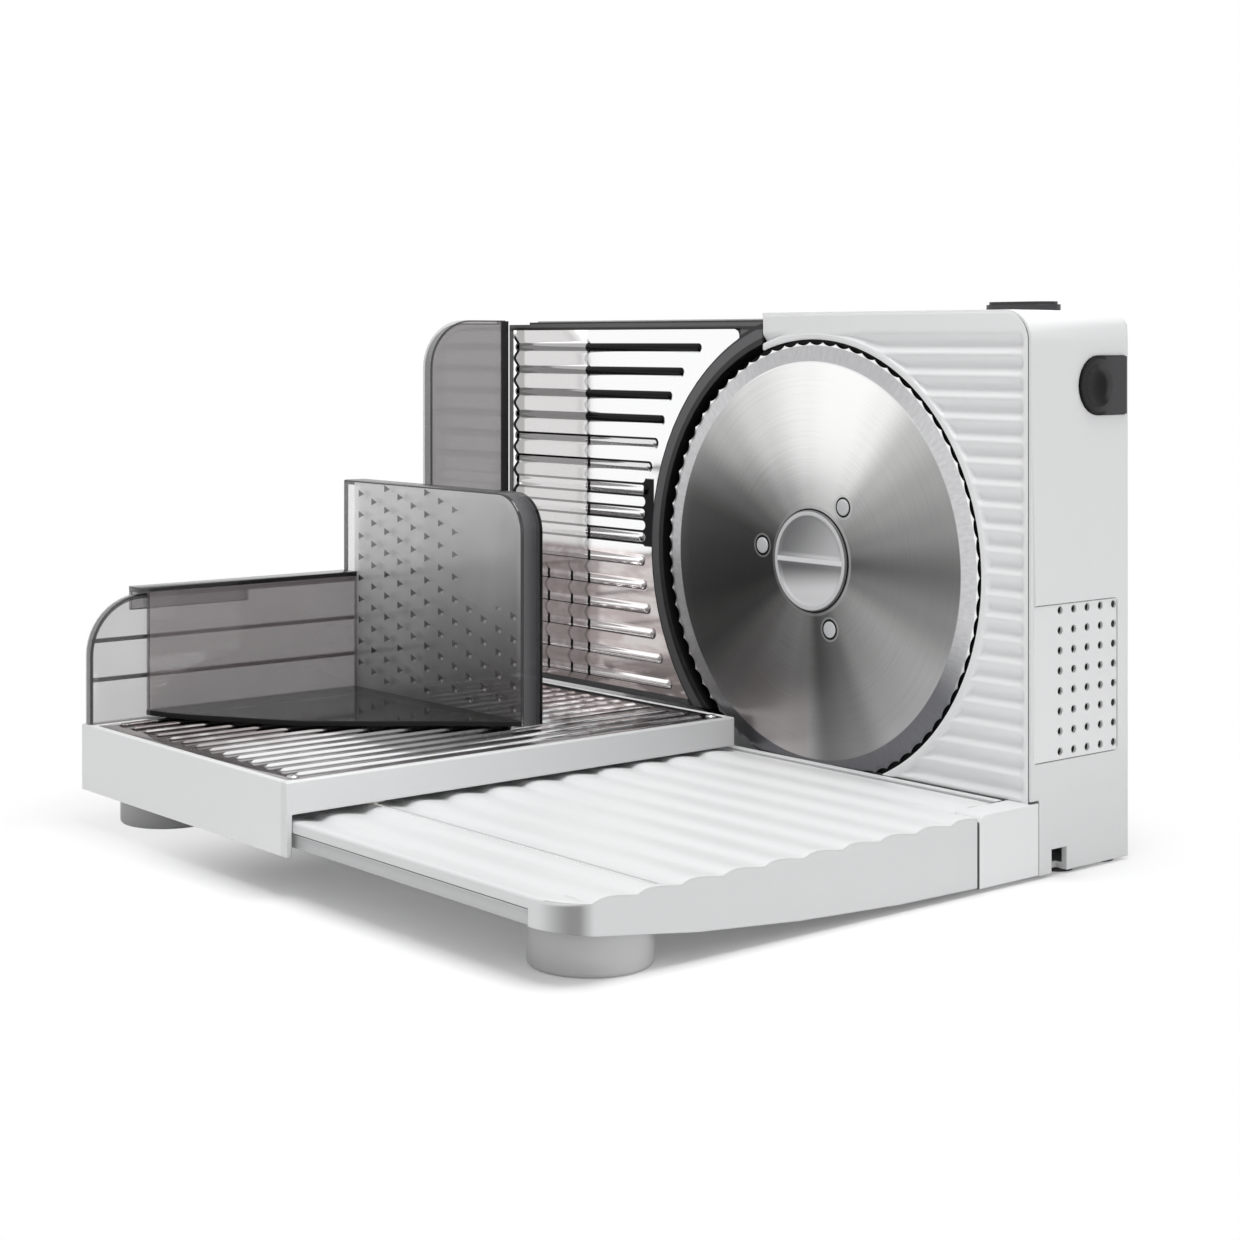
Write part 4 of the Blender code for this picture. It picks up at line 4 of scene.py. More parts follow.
import bmesh
import bpy
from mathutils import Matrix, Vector


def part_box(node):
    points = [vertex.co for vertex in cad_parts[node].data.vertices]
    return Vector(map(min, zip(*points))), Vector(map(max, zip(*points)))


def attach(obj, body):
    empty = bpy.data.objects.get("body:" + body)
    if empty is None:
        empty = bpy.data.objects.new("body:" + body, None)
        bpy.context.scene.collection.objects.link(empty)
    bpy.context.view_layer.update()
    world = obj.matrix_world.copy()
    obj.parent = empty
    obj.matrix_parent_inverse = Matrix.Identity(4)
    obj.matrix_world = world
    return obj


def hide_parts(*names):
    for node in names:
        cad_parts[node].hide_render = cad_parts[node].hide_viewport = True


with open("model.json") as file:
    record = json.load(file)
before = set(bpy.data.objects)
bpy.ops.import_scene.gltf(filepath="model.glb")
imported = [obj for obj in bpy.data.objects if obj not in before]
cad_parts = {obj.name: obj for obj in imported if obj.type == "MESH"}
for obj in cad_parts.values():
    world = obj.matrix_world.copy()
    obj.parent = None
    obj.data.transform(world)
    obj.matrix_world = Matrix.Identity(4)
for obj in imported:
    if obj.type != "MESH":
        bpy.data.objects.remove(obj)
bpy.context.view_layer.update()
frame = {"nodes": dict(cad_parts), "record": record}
scene = bpy.context.scene
scene.view_settings.view_transform = "Standard"

MM = 0.001
SHIFT_X = 50.4
SHIFT_Y = 81.15

# Sizes in millimetres in the machine's own frame, as in the part's source: X = 0 on the blade's
# axis, Y = 0 on the cutting plane with the operator towards -Y, Z = 0 on the table

AXIS_Z = 117.0
BLADE_RADIUS = 95.0
BLADE_FRONT = -0.4
BLADE_BACK = 1.1
BLADE_HOLE = 14.0
EDGE_Y = 0.68
GROUND_RADIUS = 86.0
TEETH = 75
TOOTH_DEPTH = 1.3
HUB_RADIUS = 22.0
PIN_CIRCLE = 31.0
PIN_RADIUS = 3.9
PIN_PHASE = 51.4

PANEL_LEFT = -30.7
PANEL_RIGHT = 121.4
PANEL_TOP = 224.4
PANEL_BOTTOM = 30.1
PANEL_CORNER = 11.9
WAVE_TOP = 216.0
WAVE_BOTTOM = 31.5
WAVE_PITCH = (WAVE_TOP - WAVE_BOTTOM) / 21
WAVE_DEPTH = 2.7
OPENING_RADIUS = 96.2
RING_RADIUS = 98.9
RECESS_RADIUS = 92.0
RECESS_FLOOR = 2.6
PANEL_BACK = 4.7
SPINDLE_HOLE = 9.4

FENCE_ARC = 107.5
FENCE_LEFT = -215.8
FENCE_BOTTOM = 46.7
FENCE_TOP = 217.9
FENCE_CORNER_X = -46.8
FENCE_RIB_LOW = 51.9
FENCE_RIB_PITCH = (209.5 - 51.9) / 14
FENCE_RIB_LEFT = -212.0
FENCE_RIB_ARC = 118.4
FENCE_RIB_ARC_LOW = 115.3
FENCE_RIB_HALF = 2.4
FENCE_RIB_RISE = 1.1
MIRROR_LEFT = -156.0
MIRROR_LOW = 112.0
TABS_TOP = 147.4
OUTLINES_TOP = 170.1
SHEET_FRONT = 0.5
SHEET_BACK = 1.5

PLATE_LEFT = -205.0
PLATE_RIGHT = -46.4
PLATE_FRONT = -234.9
PLATE_BACK = -9.7
PLATE_TOP = 44.1
PLATE_RIB_FIRST = -197.8
PLATE_RIB_PITCH = 145.6 / 13
PLATE_RIB_FRONT = -226.6
PLATE_RIB_BACK = -20.0
PLATE_RIB_HALF = 2.5
PLATE_RIB_RISE = 1.2

TRAY_LEFT = -221.0
TRAY_RIGHT = 122.2
TRAY_FRONT = -235.2
TRAY_INNER = -4.8
TRAY_CORNER = 16.5
TRAY_PITCH = 19.5
TRAY_WAVE = 1.5
TRAY_START = -221.9
TRAY_EDGE = 1.4
TRAY_OVER = 0.2
TRAY_CREST = 28.3
TRAY_CREST_RISE = 1.9
TRAY_FLAT = 2.6
LIP_CAD = 21.3
LIP_UNDER = 24.3
LUG_FRONT = -31.0
LUG_BACK = 4.7
GROOVE_Y = -192.4
GROOVE_LEFT = -214.35
GROOVE_RIGHT = 119.65
GROOVE_FLOOR = 26.2
NECK_START = -31.9
NECK_LEFT = -207.87
NECK_RIGHT = 109.07

HOUSING_BACK = 61.0
HOUSING_TOP = 225.0

LOCK_BUTTON_Y = 41.5
LOCK_BUTTON_Z = 194.5

FOOT_RADIUS = 22.0
FOOT_HEIGHT = 17.6
FOOT_INSET_X = 23.5
FOOT_INSET_Y = 31.5

LEDGE_LOW = (-207.0, -1.7, 4.0)
LEDGE_HIGH = (108.5, -0.3, 29.9)

GUARD_BASE = 44.4
GUARD_BACK = -4.0
GUARD_RIM_WIDTH = 2.3
LOW_FRONT = -237.6
LOW_TOP = 100.0
LOW_CORNER = 26.0
LOW_DEPTHS = (-207.1, -209.4, -212.8)
TALL_FRONT = -50.0
TALL_LEFT = -217.4
TALL_RIGHT = -208.3
TALL_TOP = 223.0
TALL_CORNER = 24.0
TALL_DEPTHS = (-216.3, -218.6, -224.0)
RAIL_HEIGHTS = (63.2, 80.4)
RAIL_HALF = 0.9
RAIL_LEFT = -211.6
RAIL_RIGHT = -209.3
BACK_LINE_LOW = (-217.0, -6.8, 47.0)
BACK_LINE_HIGH = (-216.0, -2.4, 222.6)

PUSHER_RIGHT = -75.0
PUSHER_TOP = 146.0
PUSHER_CORNER = 17.0
PUSHER_BASE = 45.9
PUSHER_FRONT = -211.0
PUSHER_DEPTHS = (-101.3, -98.9, -89.4)
PUSHER_RIM_WIDTH = 2.4
GRIP_LEFT = -206.6
GRIP_RIGHT = -204.2
GRIP_TOP = 100.5
HOOK_LEFT = -215.7
HOOK_FRONT = -215.0
HOOK_BACK = -155.0
SHELF_TOP = 48.3

SPIKE_LEFT = -199.3
SPIKE_TOP = 143.3
SPIKE_PITCH_X = 10.9
SPIKE_PITCH_Z = 10.0


def place(x, y, z):
    """A point of the machine's frame, in millimetres, as the part's frame has it, in metres."""
    return ((x + SHIFT_X) * MM, (y + SHIFT_Y) * MM, z * MM)


def ease(value, low, high):
    """0 below low, 1 above high, and a soft step between."""
    share = min(1.0, max(0.0, (value - low) / (high - low)))
    return share * share * (3.0 - 2.0 * share)


def spread(low, high, steps):
    return [low + (high - low) * index / steps for index in range(steps + 1)]


# Camera


def make_camera():
    """At the photograph's viewing angle; the shift frames the object without tilting the camera."""
    camera = bpy.data.cameras.new("camera")
    camera.sensor_width = 36.0
    camera.lens = 64.846
    camera.shift_x = -0.0008
    camera.shift_y = -0.2245
    camera.clip_start = 0.05
    holder = bpy.data.objects.new("camera", camera)
    scene.collection.objects.link(holder)
    holder.location = place(693.2, -685.3, 212.2)
    holder.rotation_euler = (math.radians(90.0), 0.0, math.radians(50.21))
    scene.camera = holder


make_camera()


# Node trees


def shade(colour):
    """A colour's three channels; one number stands for a level of grey."""
    return (colour, colour, colour) if isinstance(colour, float) else colour


def paint(colour):
    """What a colour socket takes: a Term, or three channels and full cover."""
    return colour if isinstance(colour, Term) else (*shade(colour), 1.0)


def cool(level):
    """The slightly bluish white or grey of the mouldings."""
    return (level, level + 0.005, level + 0.01)


class Term:
    """A node's output that plain expressions can be written with."""

    def __init__(self, nodes, socket):
        self.nodes = nodes
        self.socket = socket

    def maths(self, operation, *others):
        return self.nodes.maths(operation, self, *others)

    def __add__(self, other):
        return self.maths("ADD", other)

    def __radd__(self, other):
        return self.nodes.maths("ADD", other, self)

    def __sub__(self, other):
        return self.maths("SUBTRACT", other)

    def __rsub__(self, other):
        return self.nodes.maths("SUBTRACT", other, self)

    def __mul__(self, other):
        return self.maths("MULTIPLY", other)

    def __rmul__(self, other):
        return self.nodes.maths("MULTIPLY", other, self)

    def __truediv__(self, other):
        return self.maths("DIVIDE", other)

    def __rtruediv__(self, other):
        return self.nodes.maths("DIVIDE", other, self)

    def __neg__(self):
        return self.nodes.maths("SUBTRACT", 0.0, self)

    def root(self):
        return self.maths("SQRT")

    def size(self):
        return self.maths("ABSOLUTE")

    def capped(self):
        return self.maths("MINIMUM", 1.0)

    def fit(self, low, high, start=0.0, end=1.0):
        """Soft step from start, where this is at low, to end, where it is at high."""
        return self.nodes.node("ShaderNodeMapRange", {"interpolation_type": "SMOOTHSTEP"},
                               {"Value": self, "From Min": low, "From Max": high, "To Min": start, "To Max": end})

    def fade(self, low, high):
        """Soft step from 1, at low, down to 0, at high."""
        return self.fit(low, high, 1.0, 0.0)

    def within(self, start, whole, fading, end):
        """1 between whole and fading, with a soft step on either side."""
        return self.fit(start, whole) * self.fade(fading, end)


class Nodes:
    """A node tree in the making."""

    def __init__(self, tree):
        self.tree = tree

    def node(self, kind, settings=None, values=None, output=0):
        made = self.tree.nodes.new(kind)
        for key, value in (settings or {}).items():
            if key == "stops":
                self.set_stops(made.color_ramp, value)
            else:
                setattr(made, key, value)
        for key, value in (values or {}).items():
            self.feed(made.inputs[key], value)
        return Term(self, made.outputs[output])

    def set_stops(self, ramp, stops):
        ramp.interpolation = "EASE"
        while len(ramp.elements) < len(stops):
            ramp.elements.new(0.5)
        for element, (position, level) in zip(ramp.elements, stops):
            element.position = position
            element.color = paint(level)

    def feed(self, socket, value):
        if isinstance(value, Term):
            self.tree.links.new(value.socket, socket)
        else:
            socket.default_value = value

    def maths(self, operation, *terms):
        return self.node("ShaderNodeMath", {"operation": operation}, dict(enumerate(terms)))

    def vector(self, x, y, z):
        return self.node("ShaderNodeCombineXYZ", None, {0: x, 1: y, 2: z})

    def split(self, vector):
        """X, Y and Z of a vector."""
        parts = self.tree.nodes.new("ShaderNodeSeparateXYZ")
        self.feed(parts.inputs[0], vector)
        return [Term(self, output) for output in parts.outputs]


class Recipe(Nodes):
    """A material in the making, with the Principled shader that its nodes feed."""

    def __init__(self, name):
        self.material = bpy.data.materials.new(name)
        self.material.use_nodes = True
        super().__init__(self.material.node_tree)
        self.shader = self.tree.nodes["Principled BSDF"]
        self.coordinates = None

    def position(self):
        """X, Y and Z in millimetres in the machine's frame."""
        if self.coordinates is None:
            x, y, z = self.split(self.node("ShaderNodeTexCoord", output=3))
            self.coordinates = (x * 1000.0 - SHIFT_X, y * 1000.0 - SHIFT_Y, z * 1000.0)
        return self.coordinates

    def noise(self, pitch, detail=2.0, along=None):
        """Grain whose features are about pitch millimetres across, round 0.5."""
        if along is None:
            along = self.vector(*self.position())
        return self.node("ShaderNodeTexNoise", None,
                         {"Vector": along, "Scale": 1.0 / pitch, "Detail": detail, "Roughness": 0.55})

    def blend(self, share, first, second):
        """A colour between two colours."""
        return self.node("ShaderNodeMix", {"data_type": "RGBA"}, {0: share, 6: paint(first), 7: paint(second)}, 2)

    def surface(self, colour, roughness, metallic=None, alpha=None, sheen=None, coat=None, glow=None):
        """What feeds the shader; sockets without a value stay as they are."""
        values = {"Base Color": paint(colour), "Roughness": roughness, "Metallic": metallic, "Alpha": alpha,
                  "Specular IOR Level": sheen, "Coat Weight": coat, "Emission Color": glow,
                  "Emission Strength": None if glow is None else 1.0}
        for name, value in values.items():
            if value is not None:
                self.feed(self.shader.inputs[name], value)

    def relief(self, height, distance, strength=1.0, edge=0.0):
        """Bump from a height, over edges that look rounded by edge millimetres."""
        values = {"Height": height, "Distance": distance * MM, "Strength": strength}
        if edge > 0.0:
            values["Normal"] = self.node("ShaderNodeBevel", {"samples": 4}, {"Radius": edge * MM})
        self.feed(self.shader.inputs["Normal"], self.node("ShaderNodeBump", None, values))

    def plastic(self, colour, roughness=0.38, grain=0.35, depth=0.02, edge=0.5, sheen=0.5, glow=None):
        """The finish of all mouldings: a fine spark-eroded grain over softly broken edges."""
        fine = self.noise(grain, 3.0)
        self.surface(colour, fine * 0.16 + (roughness - 0.08), sheen=sheen, glow=glow)
        self.relief(fine, depth, 0.5, edge)
        return self.material


def diagonal(across, upright):
    return (across * across + upright * upright).root()


def moulded(name, colour, roughness, grain=0.35, depth=0.02, edge=0.5, tone=0.03, sheen=0.5):
    """Moulded plastic or rubber of one colour, with a slow change of tone."""
    recipe = Recipe(name)
    slow = recipe.noise(60.0, 1.0)
    darker = tuple(channel * (1.0 - 2.0 * tone) for channel in shade(colour))
    return recipe.plastic(recipe.blend(slow, darker, colour), roughness, grain, depth, edge, sheen)


def smoke_flow(recipe):
    """Faint flow marks that moulding leaves in clear plastic, felt in its surface too."""
    flow = recipe.noise(35.0, 2.0)
    recipe.relief(flow, 0.03, 0.3)
    return flow


def clear_smoke(name, colour, alpha, roughness=0.06):
    """See-through smoke-grey plastic."""
    recipe = Recipe(name)
    flow = smoke_flow(recipe)
    lighter = tuple(min(1.0, channel * 1.25) for channel in colour)
    recipe.surface(recipe.blend(flow, colour, lighter), flow * 0.06 + roughness,
                   alpha=flow * 0.06 + (alpha - 0.03), coat=0.3)
    return recipe.material


def turned_steel(name, colour, roughness):
    """Plain machined or plated steel with a fine grain and slight spots."""
    recipe = Recipe(name)
    fine = recipe.noise(0.25, 3.0)
    spots = recipe.noise(9.0, 3.0)
    darker = tuple(channel * 0.8 for channel in colour)
    recipe.surface(recipe.blend(spots, darker, colour), fine * 0.14 + (roughness - 0.07), metallic=1.0)
    recipe.relief(fine, 0.012, 0.4, 0.25)
    return recipe.material


def distance_to_axis(recipe):
    """Distance from the blade's axis and the angle round it, seen from the front."""
    x, _, z = recipe.position()
    up = z - AXIS_Z
    return diagonal(x, up), up.maths("ARCTAN2", x)


def pin_centres():
    """Where the three pins round the lock stand, across and up."""
    angles = [math.radians(PIN_PHASE + 120.0 * index) for index in range(3)]
    return [(PIN_CIRCLE * math.cos(angle), AXIS_Z + PIN_CIRCLE * math.sin(angle)) for angle in angles]


def blade_steel():
    """Ground stainless disc with rings of fine scratches; the fans of light that they throw are painted
    reflections, and its bevel and the rings round its lock and pins have painted shade and highlights.
    """
    recipe = Recipe("blade_ground_steel")
    radius, angle = distance_to_axis(recipe)
    turn = angle / (2.0 * math.pi) + 0.5
    # Painted reflections: the fans of light round the axis, as levels along the turn
    # From the left (0) downwards, to the right (0.5), and over the top back to the left (1)
    stops = ((0.0, 0.12), (0.04, 0.12), (0.085, 0.2), (0.13, 0.44), (0.17, 0.6), (0.21, 0.62), (0.235, 0.52),
             (0.27, 0.2), (0.31, 0.26), (0.35, 0.42), (0.41, 0.46), (0.46, 0.26), (0.5, 0.15), (0.54, 0.27),
             (0.58, 0.36), (0.62, 0.5), (0.66, 0.86), (0.7, 1.0), (0.76, 0.88), (0.83, 0.66), (0.88, 0.46),
             (0.92, 0.27), (0.96, 0.14), (1.0, 0.12))
    fan = recipe.node("ShaderNodeValToRGB", {"stops": stops}, {"Fac": turn})
    scratches = recipe.noise(1.0, 4.0, recipe.vector(radius * 5.0, angle * 0.7, 0.0))
    wide = recipe.noise(1.0, 2.0, recipe.vector(radius * 0.9, angle * 1.2, 3.0))
    level = fan * (scratches * 0.4 + wide * 0.12 + 0.8)
    steel = recipe.blend(level, 0.0, (1.0, 0.995, 0.99))
    # Painted reflection: a pink tint in the lower left
    pink_reflection = turn.within(0.13, 0.17, 0.24, 0.25) * radius.fit(45.0, 70.0)
    steel = recipe.blend(pink_reflection * 0.35, steel, (0.40, 0.30, 0.30))
    grind = recipe.noise(1.0, 3.0, recipe.vector(radius * 0.25, angle * 60.0, 1.0))
    ground = recipe.blend(grind, (0.46, 0.46, 0.47), (0.74, 0.74, 0.75))
    # Painted shade on the bevel: darker over the top, near black along the bottom
    over = turn.within(0.6, 0.68, 0.80, 0.86)
    ground = recipe.blend(over * 0.35, ground, (0.30, 0.30, 0.31))
    below = turn.within(0.09, 0.19, 0.40, 0.47)
    ground = recipe.blend(below * 0.85, ground, (0.09, 0.09, 0.10))
    past_grind = radius - GROUND_RADIUS
    # Painted highlights: a light line along the bevel's inner edge at the top, and light tooth edges except along
    # the bottom
    line = past_grind.within(-0.4, 0.0, 0.4, 0.9)
    ground = recipe.blend(line * over, ground, 0.9)
    steel = recipe.blend(past_grind.fit(-0.3, 0.2), steel, ground)
    steel = recipe.blend((radius - BLADE_RADIUS).fit(-1.7, -1.1) * (1.0 - below), steel, 0.95)
    # Painted shade in the gaps round the lock and the pins, each with a painted highlight ring just outside
    past_hub = radius - HUB_RADIUS
    dark = past_hub.fade(0.4, 1.0)
    light = past_hub.within(0.8, 1.2, 1.8, 2.4) * 0.5
    x, _, z = recipe.position()
    for pin_x, pin_z in pin_centres():
        past_pin = diagonal(x - pin_x, z - pin_z) - PIN_RADIUS
        dark = dark + past_pin.fade(0.3, 0.7)
        light = light + past_pin.within(0.5, 0.9, 1.2, 1.7) * 0.7
    steel = recipe.blend(light, steel, 0.75)
    steel = recipe.blend(dark, steel, 0.03)
    recipe.surface(steel, scratches * 0.12 + 0.24, metallic=1.0)
    recipe.relief(scratches, 0.008, 0.35)
    return recipe.material


def nearest_rib(along, first, pitch):
    """The middle line of the nearest of evenly spaced ribs."""
    return ((along - first) / pitch).maths("ROUND") * pitch + first


def capsule(across, along, start, end):
    """Distance from a straight rib's middle line, which runs from start to end."""
    past = (along - end).maths("MAXIMUM", 0.0)
    before = (start - along).maths("MAXIMUM", 0.0)
    return diagonal(past + before, across)


def fence_steel():
    """Bright rolled sheet; what its pressed ribs mirror, the dark room above and the clear pieces beside it, is
    painted in as painted reflections and painted glow.
    """
    recipe = Recipe("fence_bright_steel")
    x, _, z = recipe.position()
    middle = nearest_rib(z, FENCE_RIB_LOW, FENCE_RIB_PITCH)
    rise = middle - AXIS_Z
    arc = rise.fit(50.0, 80.0, FENCE_RIB_ARC_LOW, FENCE_RIB_ARC)
    end = -((arc * arc - rise * rise).root())
    off = z - middle
    reach = capsule(off, x, FENCE_RIB_LEFT, end)
    grain = recipe.noise(1.0, 3.0, recipe.vector(x * 0.4, 0.0, z * 6.0))
    left = (x - MIRROR_LEFT).fade(-0.4, 0.4)
    past_low = z - MIRROR_LOW
    past_tabs = z - TABS_TOP
    past_outlines = z - OUTLINES_TOP
    steel = recipe.blend(grain, (0.93, 0.93, 0.935), 1.0)
    # Lowest third: painted reflections, brown-grey fields that mirror the clear pusher, with light ribs between
    # them
    low = past_low.fade(-2.0, 2.0)
    reflected_streaks = recipe.noise(1.0, 2.0, recipe.vector(x * 0.035, 0.0, z * 0.12))
    field = recipe.blend(reflected_streaks.fit(0.38, 0.6), (0.66, 0.58, 0.57), (0.95, 0.91, 0.90))
    field = recipe.blend(z.fade(54.0, 64.0) * reflected_streaks.fit(0.42, 0.52), field, (0.06, 0.05, 0.05))
    steel = recipe.blend(low * reach.fit(1.7, 2.2), steel, field)
    reflected_blots = recipe.noise(5.0, 2.0)
    steel = recipe.blend(low * left * reflected_blots.fit(0.35, 0.65, 0.1, 0.7), steel, (0.40, 0.33, 0.325))
    under = reach.within(1.7, 1.9, 2.2, 2.5) * off.fit(-0.4, 0.9, 1.0, 0.15)
    # Upper ribs, painted dark reflections: four solid dark, two with a dark outline, then pairs of tabs beside a
    # dark column
    solid = reach.fade(1.75, 2.15) * past_outlines.fit(-0.5, 0.5) * (1.0 - left * 0.3)
    above = reach.within(1.3, 1.6, 2.3, 2.6) * off.fit(-1.6, -0.6)
    above = above * past_tabs.fit(0.2, 1.2) * past_outlines.fade(-0.5, 0.5)
    tab = z - nearest_rib(z, FENCE_RIB_LOW, FENCE_RIB_PITCH / 2)
    tabs = capsule(tab, x, FENCE_RIB_LEFT, -114.6).fit(2.1, 2.4) * x.fade(-106.2, -105.6)
    tabs = tabs * past_low.fit(2.9, 3.5) * past_tabs.fade(-0.4, 0.4) * (1.0 - left * 0.4)
    inside = reach.fade(1.2, 1.8) * past_tabs.fit(2.6, 3.6) * past_outlines.fade(-0.5, 0.5)
    dark = solid + above + tabs + inside * (left * 0.4 + 0.2) + under * low * 0.85
    # Wavy lines: painted reflections of the edges of the clear pieces, seen in the ribs
    swing = (off * (2.0 * math.pi / FENCE_RIB_PITCH)).maths("COSINE")
    blob = off.size().fit(1.5, 3.5, 1.0, 0.35)
    for place_x, half, top, weight in ((-155.2, 0.7, 216.0, blob), (-168.6, 0.6, 106.0, blob),
                                       (-187.0, 0.6, 104.0, blob), (-212.6, 0.9, 218.0, 1.0)):
        near = (x - place_x - swing * 1.9).size()
        dark = dark + near.fade(half, half + 0.7) * z.fade(top - 4.0, top) * weight
    dark = dark.capped()
    steel = recipe.blend(dark, steel, (0.012, 0.012, 0.013))
    # Painted glow: the left part and the lowest third shine though no lamp lights them there
    glow = recipe.blend(left * past_low.fit(-12.0, 4.0) * (1.0 - dark), 0.0, (0.42, 0.415, 0.41))
    glow = recipe.blend(low * (1.0 - dark), glow, (0.14, 0.123, 0.12))
    recipe.surface(steel, grain * 0.05 + 0.06, metallic=1.0, glow=glow)
    recipe.relief(grain, 0.004, 0.2)
    return recipe.material


def sledge_steel():
    """Bright rolled sheet of the carriage, with painted reflections: light ribs and darker ground, dimmer beside
    the clear pieces.
    """
    recipe = Recipe("sledge_bright_steel")
    x, y, _ = recipe.position()
    off = x - nearest_rib(x, PLATE_RIB_FIRST, PLATE_RIB_PITCH)
    reach = capsule(off, y, PLATE_RIB_FRONT, PLATE_RIB_BACK)
    grain = recipe.noise(1.0, 3.0, recipe.vector(x * 6.0, y * 0.4, 0.0))
    reflected_patches = recipe.noise(1.0, 2.0, recipe.vector(x * 0.06, y * 0.045, 2.0))
    # Painted reflections: dimmer towards the clear pieces, with brown-grey patches and dashes where they are
    # mirrored
    dim = (x + y * 0.1).fade(-165.0, -120.0) * y.fit(-110.0, -85.0, 1.0, 0.35)
    sheet = recipe.blend(grain, (0.84, 0.84, 0.85), (0.97, 0.97, 0.98))
    sheet = recipe.blend(dim * reflected_patches.fit(0.3, 0.55, 0.3, 0.85), sheet, (0.30, 0.25, 0.245))
    reflected_dashes = recipe.noise(1.0, 2.0, recipe.vector(x * 0.25, y * 0.12, 5.0))
    sheet = recipe.blend(y.fit(-105.0, -90.0) * reflected_dashes.fit(0.48, 0.6) * 0.6, sheet, (0.34, 0.28, 0.27))
    # Painted reflections: dark ground between the ribs, and dark outlines beside the clear pieces
    ground = reach.fit(1.5, 2.2) * reflected_patches.fit(0.3, 0.6, 0.72, 0.98)
    steel = recipe.blend(ground, sheet, recipe.blend(dim, (0.12, 0.11, 0.11), (0.22, 0.19, 0.19)))
    outline = reach.within(1.5, 1.9, 2.4, 2.8) * off.fit(-0.5, 0.5)
    steel = recipe.blend(outline * dim, steel, (0.03, 0.025, 0.025))
    edge = (y - PLATE_RIB_FRONT).fade(-3.6, -2.8) + (x - PLATE_RIGHT).fit(-2.2, -1.6)
    steel = recipe.blend(edge.capped() * 0.5, steel, (0.5, 0.48, 0.48))
    recipe.surface(steel, grain * 0.05 + 0.08, metallic=1.0)
    recipe.relief(grain, 0.004, 0.2)
    return recipe.material


def frame_grey():
    """Dark grey moulding with near-black lines along the edges of the stop's frame, and near-black painted shade
    round the blade.
    """
    recipe = Recipe("frame_grey_plastic")
    _, _, z = recipe.position()
    radius, _ = distance_to_axis(recipe)
    past_arc = radius - FENCE_ARC
    past_top = z - FENCE_TOP
    # Inside the arc, round the blade, near black: painted shade of the gap there
    lines = past_arc.within(-1.3, -0.8, 0.3, 0.9) + past_arc.fade(-5.9, -5.3) * radius.fit(60.0, 61.0)
    lines = lines + past_top.within(-0.6, -0.1, 1.0, 1.6) + past_top.fit(2.9, 3.4)
    grey = recipe.blend(lines.capped(), (0.105, 0.105, 0.11), 0.006)
    return recipe.plastic(grey, 0.44, grain=0.3, depth=0.03, edge=0.4)


def housing_white():
    """The housing's white, with painted shade where its chambers are seen, behind the blade and behind the grille,
    painted shade towards the bottom and a painted highlight along the top edge.
    """
    recipe = Recipe("housing_white_plastic")
    x, y, z = recipe.position()
    radius, _ = distance_to_axis(recipe)
    # Painted shade: near black where the chambers behind the blade and behind the grille are seen
    chamber = (radius - (y - 5.0) * 1.4).fade(102.6, 103.6) * y.within(4.9, 5.2, 29.0, 30.0)
    chamber = chamber * x.fade(-31.4, -31.0) * z.fade(212.0, 213.0)
    behind = x.within(98.0, 99.0, 120.9, 121.3) * y.within(5.4, 5.8, 59.6, 60.2)
    behind = behind * z.within(43.0, 44.0, 109.0, 110.0)
    dark = (chamber + behind).capped()
    # Painted shade, darker towards the bottom, and a painted highlight along the top edge
    white = recipe.blend(z.fit(0.0, 90.0), cool(0.68), cool(0.77))
    white = recipe.blend(z.fit(222.5, 224.8), white, 0.94)
    return recipe.plastic(recipe.blend(dark, white, 0.008))


def lock_satin():
    """Satin light grey of the blade's lock, with painted shade and light in its two scoops and painted highlights
    on its bar and rim.
    """
    recipe = Recipe("lock_satin_plastic")
    x, _, z = recipe.position()
    radius, _ = distance_to_axis(recipe)
    up = z - AXIS_Z
    fine = recipe.noise(0.35, 3.0)
    # Painted shade and light in the scoops: the upper one darker towards the upper left, the lower one dark under
    # the bar and lighter towards its foot
    over = recipe.blend((x * 0.022 - up * 0.02 + 0.62).fit(0.0, 1.0), (0.20, 0.20, 0.205), (0.60, 0.60, 0.61))
    under = recipe.blend((-up + x * 0.12).fit(0.5, 14.0), (0.17, 0.17, 0.175), (0.74, 0.74, 0.75))
    satin = recipe.blend(up.fit(-0.3, 0.3), under, over)
    past_hub = radius - HUB_RADIUS
    # Painted highlight on the bar and the rim, and painted shade in the gap at its edge
    satin = recipe.blend(up.size().fade(0.8, 1.3), satin, (0.82, 0.82, 0.83))
    satin = recipe.blend(past_hub.fit(-2.6, -1.9), satin, (0.66, 0.66, 0.67))
    satin = recipe.blend(past_hub.fit(-0.8, -0.3), satin, 0.12)
    recipe.surface(satin, fine * 0.12 + 0.3)
    recipe.relief(fine, 0.015, 0.4)
    return recipe.material


